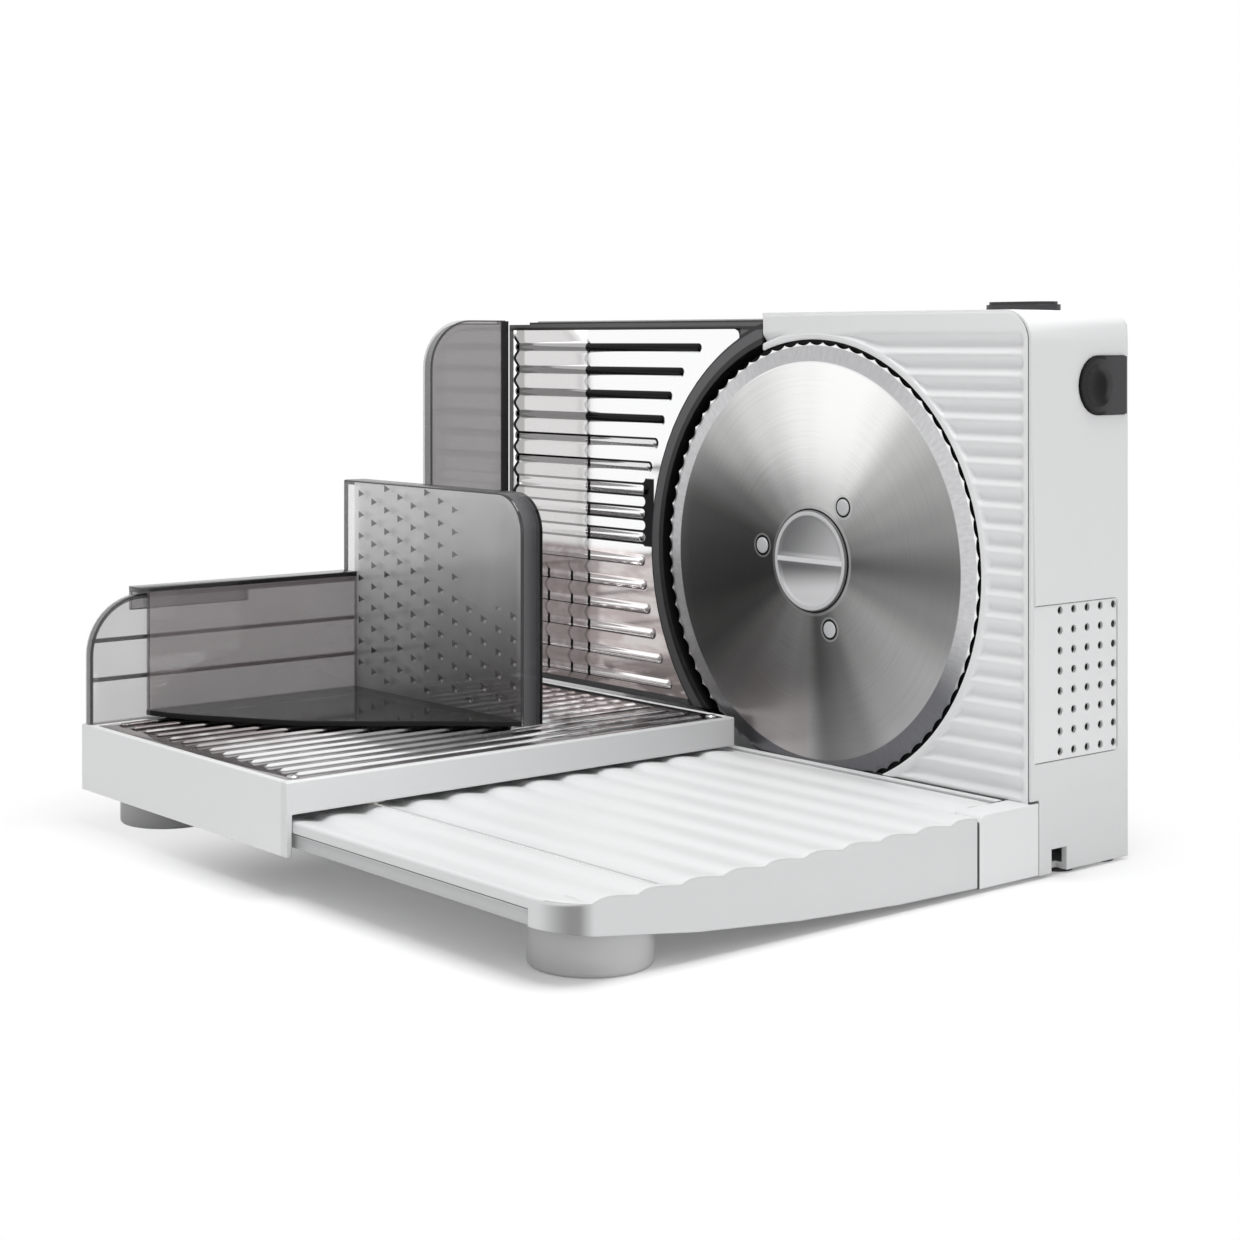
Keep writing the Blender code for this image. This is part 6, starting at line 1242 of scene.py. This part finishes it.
def tray_skin():
    """The tray's waved upper skin over the board, with its rounded edges, corners and front lip."""
    front = TRAY_FRONT + TRAY_EDGE
    corner = TRAY_CORNER - TRAY_EDGE
    depths = [front + corner * (1.0 - math.cos(math.radians(5.0 * step))) for step in range(19)]
    waved = spread(TRAY_START, TRAY_INNER - TRAY_FLAT, 11 * 14)
    depths += waved + [GROOVE_Y + offset for offset in (-1.22, -1.2, 1.2, 1.22)] + [NECK_START]
    depths = sorted(set(round(y, 3) for y in depths if y <= NECK_START))
    sheet = []
    left_edge = []
    right_edge = []
    for y in depths:
        left, right, facing = tray_row(y)
        sheet.append(tray_columns(y, left[0], right[0]))
        foot = tray_under(y + facing[1] * TRAY_EDGE)
        left_edge.append(tray_edge(left, (-facing[0], facing[1]), foot))
        right_edge.append(tray_edge(right, facing, foot))
    ends = [point[:2] for point in sheet[0]]
    feet_heights = [tray_under(TRAY_FRONT)] * 2 + [LIP_UNDER] * 2 + [tray_under(TRAY_FRONT)] * 2
    front_edge = [tray_edge(point, (0.0, -1.0), foot) for point, foot in zip(ends, feet_heights)]
    builder = bmesh.new()
    net(builder, sheet)
    net(builder, left_edge[::-1] + front_edge + right_edge)
    # The narrower neck between the hinges
    inner = [NECK_START] + [y for y in waved if y > NECK_START] + [TRAY_INNER - 0.4, TRAY_INNER - 0.1]
    rows = []
    for y in sorted(set(inner)):
        top = tray_height(y) + TRAY_OVER
        edge = ((0.0, 20.0), (0.0, top - 0.5), (0.17, top - 0.15), (0.57, top))
        rows.append([(NECK_LEFT + inset, y, z) for inset, z in edge]
                    + [(NECK_RIGHT - inset, y, z) for inset, z in reversed(edge)])
    net(builder, rows)
    bmesh.ops.remove_doubles(builder, verts=builder.verts, dist=0.002)
    bmesh.ops.recalc_face_normals(builder, faces=builder.faces)
    if sum(face.normal.z * face.calc_area() for face in builder.faces) < 0.0:
        bmesh.ops.reverse_faces(builder, faces=builder.faces)
    thicken(builder, 0.08)
    thing = finish("tray_skin", builder, "tray", [TRAY], (), 40.0)


def feet():
    profile = [(0.0, 0.0), (20.6, 0.0), (21.4, 0.25), (21.85, 0.8), (FOOT_RADIUS, 1.6), (FOOT_RADIUS, 16.6),
               (21.8, 17.3), (21.2, FOOT_HEIGHT), (0.0, FOOT_HEIGHT)]
    for name, x in (("tray_foot_right", TRAY_RIGHT - FOOT_INSET_X), ("tray_foot_left", TRAY_LEFT + FOOT_INSET_X)):
        builder = bmesh.new()
        lathe(builder, "z", (x, TRAY_FRONT + FOOT_INSET_Y), profile, 96)
        finish("soft_" + name, builder, "tray", [FOOT], (name,), 50.0)


# Pieces that keep their solid's shape and get a finer finish


def copy_of(node_name, flat=0.5):
    """The node's mesh as whole faces: its doubles merged and its flat triangles joined."""
    builder = bmesh.new()
    builder.from_mesh(frame["nodes"][node_name].data)
    bmesh.ops.remove_doubles(builder, verts=builder.verts, dist=0.000002)
    bmesh.ops.dissolve_limit(builder, angle_limit=math.radians(flat), verts=builder.verts, edges=builder.edges,
                             delimit=set())
    return builder


def softened(name, node_name, body, width, material):
    """A copy of a node whose edges are rounded by width millimetres."""
    crease = 40.0
    thing = finish_mesh(name, copy_of(node_name), body, [material], (node_name,), crease)
    bevel = thing.modifiers.new("edges", "BEVEL")
    bevel.width = width * MM
    bevel.segments = 3
    bevel.limit_method = "ANGLE"
    bevel.angle_limit = math.radians(crease)
    bevel.use_clamp_overlap = False
    bevel.harden_normals = False


def rimmed(builder, path, base, depths, thickness, point, tints):
    """A clear plate with a rim along a path: path(inset) gives the rim's line, base closes the outline.

    depths are the plate's face, its back and the rim's far side; tints are the materials of the
    strips across the rim.
    """
    near, far, end = depths
    edge = 0.8
    side = 1.0 if end > near else -1.0
    small = 0.3 * edge
    inner = thickness + 2.0
    sections = [(inner, near), (edge, near), (small, near + small * side), (0.0, near + edge * side),
                (0.0, end - edge * side), (small, end - small * side), (edge, end), (thickness - edge, end),
                (thickness - small, end - small * side), (thickness, end - edge * side), (thickness, far),
                (inner, far)]
    lines = [path(inset) for inset, _ in sections]
    rows = [[point(*line[station], section[1]) for line, section in zip(lines, sections)]
            for station in range(len(lines[0]))]
    made = net(builder, rows, False, lambda row, column: tints[column])
    pairs = [(made[-1][0], made[-1][-1])]
    pairs += [(builder.verts.new(point(*corner, near)), builder.verts.new(point(*corner, far))) for corner in base]
    pairs.append((made[0][0], made[0][-1]))
    for first, second in zip(pairs, pairs[1:]):
        builder.faces.new([first[0], second[0], second[1], first[1]]).material_index = 1
    for side_index in (0, 1):
        ring = [row[0] if side_index == 0 else row[-1] for row in made]
        face = builder.faces.new(ring + [pair[side_index] for pair in pairs[1:-1]])
        face.material_index = tints[0]
    builder.faces.new(made[0]).material_index = 1
    builder.faces.new(made[-1]).material_index = 1


def block(builder, low, high, tint, edge=0.35):
    """A box whose rounded edges take the second material: near black, as painted shade, on the clear pieces."""
    corners = bmesh.ops.create_cube(builder, size=1.0)["verts"]
    for corner in corners:
        corner.co = [a + (b - a) * (share + 0.5) for a, b, share in zip(low, high, corner.co)]
    faces = set(face for corner in corners for face in corner.link_faces)
    edges = set(line for corner in corners for line in corner.link_edges)
    for face in faces:
        face.material_index = tint
    bmesh.ops.bevel(builder, geom=list(edges), offset=edge, segments=2, profile=0.5, affect="EDGES", material=1)


def upright_path(front, top, corner, base, back):
    """The line of a guard's rim at an inset: up its front, round the corner and along its top."""
    def line(inset):
        radius = corner - inset
        centre = (front + corner, top - corner)
        return [(front + inset, base)] + arc_points(centre, radius, 180.0, 90.0, 12) + [(back, top - inset)]
    return line


def clear_guard():
    """Low clear wall with its rim and two rails, and the tall finger guard beside the stop plate."""
    base = GUARD_BASE
    back = GUARD_BACK
    builder = bmesh.new()
    # Across each rim: near-black painted shade on the near rounding, the far face and the inner side, a lighter
    # painted highlight on the outer side and the far rounding
    walls = ((LOW_FRONT, LOW_TOP, LOW_CORNER, LOW_DEPTHS, (0, 1, 1, 2, 2, 2, 1, 1, 1, 1, 0)),
             (TALL_FRONT, TALL_TOP, TALL_CORNER, TALL_DEPTHS, (3, 1, 1, 2, 2, 2, 2, 1, 1, 1, 3)))
    for front, top, corner, depths, tints in walls:
        rimmed(builder, upright_path(front, top, corner, base, back), [(back, base)], depths, GUARD_RIM_WIDTH,
               lambda a, b, depth: (depth, a, b), tints)
    for height in RAIL_HEIGHTS:
        block(builder, (RAIL_LEFT, LOW_FRONT + 1.0, height - RAIL_HALF),
              (RAIL_RIGHT, TALL_FRONT, height + RAIL_HALF), 1, 0.3)
    for far, high in ((TALL_FRONT + 2.3, LOW_TOP), (back, base + 2.3)):
        block(builder, (TALL_LEFT, TALL_FRONT, base), (TALL_RIGHT, far, high), 0)
    # A black strip along the tall guard's back edge: painted shade
    block(builder, BACK_LINE_LOW, BACK_LINE_HIGH, 4, 0.1)
    finish("clear_guard", builder, "sledge", [GUARD, SMOKE_EDGE, GUARD_RIM, GUARD_TALL, BLACK_AND_SHADE],
           ("carriage_guard",), 35.0)


def pusher_path(inset):
    """The line of the pusher plate's rim at an inset: up its free side, round the corner, along the top."""
    centre = (PUSHER_RIGHT - PUSHER_CORNER, PUSHER_TOP - PUSHER_CORNER)
    return ([(PUSHER_RIGHT - inset, PUSHER_BASE)] + arc_points(centre, PUSHER_CORNER - inset, 0.0, 90.0, 12)
            + [(HOOK_LEFT, PUSHER_TOP - inset)])


def shelf_line():
    """The free edge of the pusher's floor, seen from above, from the grip to the plate."""
    shares = ((0.0, 0.0), (0.1, 0.03), (0.19, 0.08), (0.28, 0.15), (0.37, 0.215), (0.45, 0.275), (0.53, 0.345),
              (0.61, 0.455), (0.68, 0.555), (0.75, 0.66), (0.82, 0.765), (0.91, 0.885), (1.0, 1.0))
    wide = PUSHER_RIGHT - GRIP_LEFT
    deep = PUSHER_DEPTHS[0] - PUSHER_FRONT
    return [(GRIP_LEFT + wide * across, PUSHER_FRONT + deep * along) for across, along in shares]


def clear_pusher():
    """Spiked plate with its rim, grip wall, curved floor, and the bar and lip that hook over the guard."""
    plate = PUSHER_DEPTHS[0]
    builder = bmesh.new()
    # Across the rim: near-black painted shade on its roundings and far face
    rimmed(builder, pusher_path, [(HOOK_LEFT, GRIP_TOP), (GRIP_LEFT, GRIP_TOP), (GRIP_LEFT, PUSHER_BASE)],
           PUSHER_DEPTHS, PUSHER_RIM_WIDTH, lambda a, b, depth: (a, depth, b),
           (0, 1, 1, 2, 1, 1, 1, 1, 1, 2, 0))
    block(builder, (GRIP_LEFT, PUSHER_FRONT, PUSHER_BASE + 0.1), (GRIP_RIGHT, plate + 1.9, GRIP_TOP + 2.3), 3)
    block(builder, (HOOK_LEFT, HOOK_FRONT, GRIP_TOP), (GRIP_RIGHT, plate - 0.1, GRIP_TOP + 2.4), 1)
    block(builder, (HOOK_LEFT, HOOK_FRONT, GRIP_TOP - 8.2), (HOOK_LEFT + 2.4, HOOK_BACK, GRIP_TOP + 0.1), 3)
    outline = shelf_line() + [(PUSHER_RIGHT, plate + 0.1), (GRIP_LEFT, plate + 0.1)]
    levels = ((0.3, PUSHER_BASE), (0.0, PUSHER_BASE + 0.3), (0.0, SHELF_TOP - 0.3), (0.3, SHELF_TOP))
    # The floor's edges are black: painted shade
    layers = net(builder, [[(x - inset * 0.6, y + inset, height) for x, y in outline] for inset, height in levels],
                 True, lambda row, column: 5)
    for layer in (layers[0], layers[-1]):
        builder.faces.new(layer).material_index = 4
    finish("clear_pusher", builder, "pusher", [PUSHER_PLATE, SMOKE_EDGE, PUSHER_RIM, GRIP, FLOOR, BLACK_AND_SHADE],
           ("pusher",), 35.0)


def in_radians(*angles):
    return tuple(math.radians(angle) for angle in angles)


class Growth(Nodes):
    """A geometry tree in the making: its named sizes are its inputs, and its result becomes a plain mesh."""

    def __init__(self, name, sizes):
        super().__init__(bpy.data.node_groups.new(name, "GeometryNodeTree"))
        self.sizes = sizes
        self.tree.interface.new_socket("Geometry", in_out="OUTPUT", socket_type="NodeSocketGeometry")
        for key, value in sizes.items():
            kind = "NodeSocketInt" if isinstance(value, int) else "NodeSocketFloat"
            self.tree.interface.new_socket(key, in_out="INPUT", socket_type=kind)
        self.entry = self.tree.nodes.new("NodeGroupInput")

    def size(self, name):
        return Term(self, self.entry.outputs[name])

    def grid(self, columns, rows, pitch_x, pitch_z):
        """Points on an upright grid round the origin, column after column."""
        wide = (self.size(columns) - 1.0) * self.size(pitch_x)
        high = (self.size(rows) - 1.0) * self.size(pitch_z)
        return self.node("GeometryNodeMeshGrid", None, {"Size X": wide, "Size Y": high,
                                                        "Vertices X": self.size(columns),
                                                        "Vertices Y": self.size(rows)})

    def moved(self, geometry, where, turn=(0.0, 0.0, 0.0)):
        return self.node("GeometryNodeTransform", None,
                         {"Geometry": geometry, "Translation": where, "Rotation": turn})

    def on_points(self, points, piece, turn):
        return self.node("GeometryNodeInstanceOnPoints", None,
                         {"Points": points, "Instance": piece, "Rotation": turn})

    def grow(self, last, material):
        """The finished mesh, with real instances and its material, as a bmesh."""
        whole = self.node("GeometryNodeRealizeInstances", None, {"Geometry": last})
        painted = self.node("GeometryNodeSetMaterial", None, {"Geometry": whole, "Material": material})
        leave = self.tree.nodes.new("NodeGroupOutput")
        self.feed(leave.inputs[0], painted)
        holder = bpy.data.objects.new(self.tree.name, bpy.data.meshes.new(self.tree.name))
        scene.collection.objects.link(holder)
        step = holder.modifiers.new("growth", "NODES")
        step.node_group = self.tree
        for item in self.tree.interface.items_tree:
            if item.in_out == "INPUT":
                step[item.identifier] = self.sizes[item.name]
        graph = bpy.context.evaluated_depsgraph_get()
        mesh = bpy.data.meshes.new_from_object(holder.evaluated_get(graph))
        builder = bmesh.new()
        builder.from_mesh(mesh)
        bpy.data.objects.remove(holder)
        for face in builder.faces:
            face.material_index = 0
        return builder


def pusher_spikes():
    """Rows of small cones on the plate's food side, each column a third of a row below its neighbour."""
    sizes = {"Columns": 12, "Rows": 10, "Column Pitch": SPIKE_PITCH_X, "Row Pitch": SPIKE_PITCH_Z, "Foot": 1.9,
             "Height": 3.2, "Lowest": 52.0, "Short Top": 97.0, "Short From": 8, "Face Y": -98.95}
    growth = Growth("spikes", sizes)
    size = growth.size
    column = (growth.node("GeometryNodeInputIndex") / size("Rows")).maths("FLOOR")
    drop = (column + 1.0).maths("FLOORED_MODULO", 3.0) * (size("Row Pitch") / -3.0)
    grid = growth.grid("Columns", "Rows", "Column Pitch", "Row Pitch")
    shifted = growth.node("GeometryNodeSetPosition", None,
                          {"Geometry": grid, "Offset": growth.vector(0.0, drop, 0.0)})
    middle = (SPIKE_LEFT + SPIKE_PITCH_X * 5.5, 0.0, SPIKE_TOP - SPIKE_PITCH_Z * 4.5)
    upright = growth.moved(shifted, middle, in_radians(90.0, 0.0, 0.0))
    height = growth.split(growth.node("GeometryNodeInputPosition"))[2]
    late = column.maths("GREATER_THAN", size("Short From") - 0.5)
    left_out = height.maths("LESS_THAN", size("Lowest")) + late * height.maths("GREATER_THAN", size("Short Top"))
    kept = growth.node("GeometryNodeDeleteGeometry", None,
                       {"Geometry": upright, "Selection": left_out.maths("GREATER_THAN", 0.5)})
    cone = growth.node("GeometryNodeMeshCone", None, {"Vertices": 16, "Radius Top": 0.15,
                                                      "Radius Bottom": size("Foot"), "Depth": size("Height")})
    cones = growth.on_points(kept, cone, in_radians(-90.0, 0.0, 0.0))
    placed = growth.moved(cones, growth.vector(0.0, size("Face Y"), 0.0))
    thing = finish("pusher_spikes", growth.grow(placed, SMOKE_EDGE), "pusher", [SMOKE_EDGE], (), 35.0)


def base_filler():
    """The ledge behind the tray, under the front panel."""
    builder = bmesh.new()
    block(builder, LEDGE_LOW, LEDGE_HIGH, 0, 0.2)
    for face in builder.faces:
        face.material_index = 0
    thing = finish("ledge_strip", builder, "machine", [WHITE], (), 35.0)


def tray_board_copy():
    """The board below the skin, its outer lip made thinner and the band under it taller."""
    builder = copy_of("tray_board")
    for vertex in builder.verts:
        y = vertex.co.y / MM - SHIFT_Y
        if y < TRAY_FRONT + 1.8 and abs(vertex.co.z / MM - LIP_CAD) < 0.2:
            vertex.co.z = LIP_UNDER * MM
    finish_mesh("tray_body", builder, "tray", [TRAY], ("tray_board",), 30.0)


def housing_copy():
    """The housing with the tighter rounding along its upper back edge that the photograph shows."""
    wide = 10.0
    tight = 6.0
    builder = copy_of("housing_shell", 0.05)
    for vertex in builder.verts:
        back = vertex.co.y / MM - SHIFT_Y - (HOUSING_BACK - wide)
        up = vertex.co.z / MM - (HOUSING_TOP - wide)
        reach = math.hypot(back, up)
        if back > -0.05 and up > -0.05 and abs(reach - wide) < 0.2:
            vertex.co.y = (HOUSING_BACK - tight + tight * back / reach + SHIFT_Y) * MM
            vertex.co.z = (HOUSING_TOP - tight + tight * up / reach) * MM
    finish_mesh("housing_body", builder, "machine", [HOUSING], ("housing_shell",), 25.0)


def perforated_grille():
    """The side grille: a thin plate with forty round holes, and a black sheet behind them as painted shade."""
    sizes = {"Rows": 8, "Columns": 5, "Row Pitch": 8.03, "Column Pitch": 8.448, "Hole": 1.6, "Plate Depth": 1.2,
             "Plate Width": 52.2, "Plate Height": 61.8, "Plate Y": 28.0, "Plate Z": 76.7, "Holes Y": 35.2,
             "Holes Z": 77.1}
    growth = Growth("perforations", sizes)
    size = growth.size
    sides = growth.vector(size("Plate Depth"), size("Plate Width"), size("Plate Height"))
    plate = growth.node("GeometryNodeMeshCube", None, {"Size": sides})
    plate = growth.moved(plate, growth.vector(0.0, size("Plate Y"), size("Plate Z")))
    grid = growth.grid("Rows", "Columns", "Row Pitch", "Column Pitch")
    centre = growth.vector(0.0, size("Holes Y"), size("Holes Z"))
    upright = growth.moved(grid, centre, in_radians(0.0, 90.0, 0.0))
    peg = growth.node("GeometryNodeMeshCylinder", None, {"Vertices": 28, "Radius": size("Hole"), "Depth": 8.0})
    pegs = growth.on_points(upright, peg, in_radians(0.0, 90.0, 0.0))
    pegs = growth.node("GeometryNodeRealizeInstances", None, {"Geometry": pegs})
    holed = growth.node("GeometryNodeMeshBoolean", {"operation": "DIFFERENCE", "solver": "EXACT"},
                        {"Mesh 1": plate, "Mesh 2": pegs})
    builder = growth.grow(holed, WHITE)
    wide = sizes["Plate Width"] / 2 - 0.5
    tall = sizes["Plate Height"] / 2 - 0.5
    # A black sheet behind the holes: painted shade
    block(builder, (-1.0, sizes["Plate Y"] - wide, sizes["Plate Z"] - tall),
          (-0.65, sizes["Plate Y"] + wide, sizes["Plate Z"] + tall), 1, 0.05)
    _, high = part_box("vent_grille")
    out = high[0] / MM - SHIFT_X - sizes["Plate Depth"] / 2
    for vertex in builder.verts:
        vertex.co.x += out
    finish("side_grille", builder, "machine", [WHITE, BLACK_AND_SHADE], ("vent_grille",), 35.0)


front_panel()
blade()
blade_lock()
blade_pins()
fence_sheet()
sledge_sheet()
tray_skin()
tray_board_copy()
housing_copy()
feet()
softened("carriage_sledge", "carriage_frame", "sledge", 0.8, SLEDGE_WHITE)
softened("base_strip", "base_frame", "machine", 0.5, BASE)
clear_guard()
clear_pusher()
pusher_spikes()
base_filler()
perforated_grille()


# Floor, backdrop and light


def seen_directly(nodes):
    """1 for what the camera sees, itself or mirrored."""
    camera_ray = nodes.node("ShaderNodeLightPath", output="Is Camera Ray")
    return camera_ray.maths("MAXIMUM", nodes.node("ShaderNodeLightPath", output="Is Glossy Ray"))


def studio():
    world = bpy.data.worlds.new("studio")
    scene.world = world
    world.use_nodes = True
    sky = Nodes(world.node_tree)
    background = sky.tree.nodes["Background"]
    background.inputs["Color"].default_value = paint(1.0)
    sky.feed(background.inputs["Strength"], seen_directly(sky).fit(0.0, 1.0, 0.52, 1.0))

    recipe = Recipe("studio_floor")
    x, y, _ = recipe.position()
    recipe.surface(0.96, 0.9)
    away = diagonal(x + 50.0, y + 90.0)
    # Far off the floor turns evenly white; at the left its shadow is lifted, as painted light
    share = away.fit(185.0, 285.0).maths("MAXIMUM", x.fit(-175.0, -70.0, 0.75, 0.14)) * seen_directly(recipe)
    glow = recipe.node("ShaderNodeEmission", None, {"Color": paint(1.0), "Strength": 1.0})
    mixed = recipe.node("ShaderNodeMixShader", None, {0: share, 1: Term(recipe, recipe.shader.outputs[0]), 2: glow})
    recipe.feed(recipe.tree.nodes["Material Output"].inputs["Surface"], mixed)
    mesh = bpy.data.meshes.new("floor")
    mesh.from_pydata([(-6, -6, 0), (6, -6, 0), (6, 6, 0), (-6, 6, 0)], [], [(0, 1, 2, 3)])
    mesh.materials.append(recipe.material)
    floor = bpy.data.objects.new("floor", mesh)
    scene.collection.objects.link(floor)

    lamp("top_light", (120.0, -90.0, 1000.0), (-40.0, -80.0, 0.0), 560.0, 6.8)
    lamp("right_light", (1200.0, -200.0, 500.0), (60.0, -40.0, 110.0), 700.0, 1.2)


def lamp(name, where, towards, size, power):
    light = bpy.data.lights.new(name, "AREA")
    light.size = size * MM
    light.energy = power
    holder = bpy.data.objects.new(name, light)
    scene.collection.objects.link(holder)
    holder.location = place(*where)
    direction = Vector(place(*towards)) - Vector(place(*where))
    holder.rotation_euler = direction.to_track_quat("-Z", "Y").to_euler()


studio()
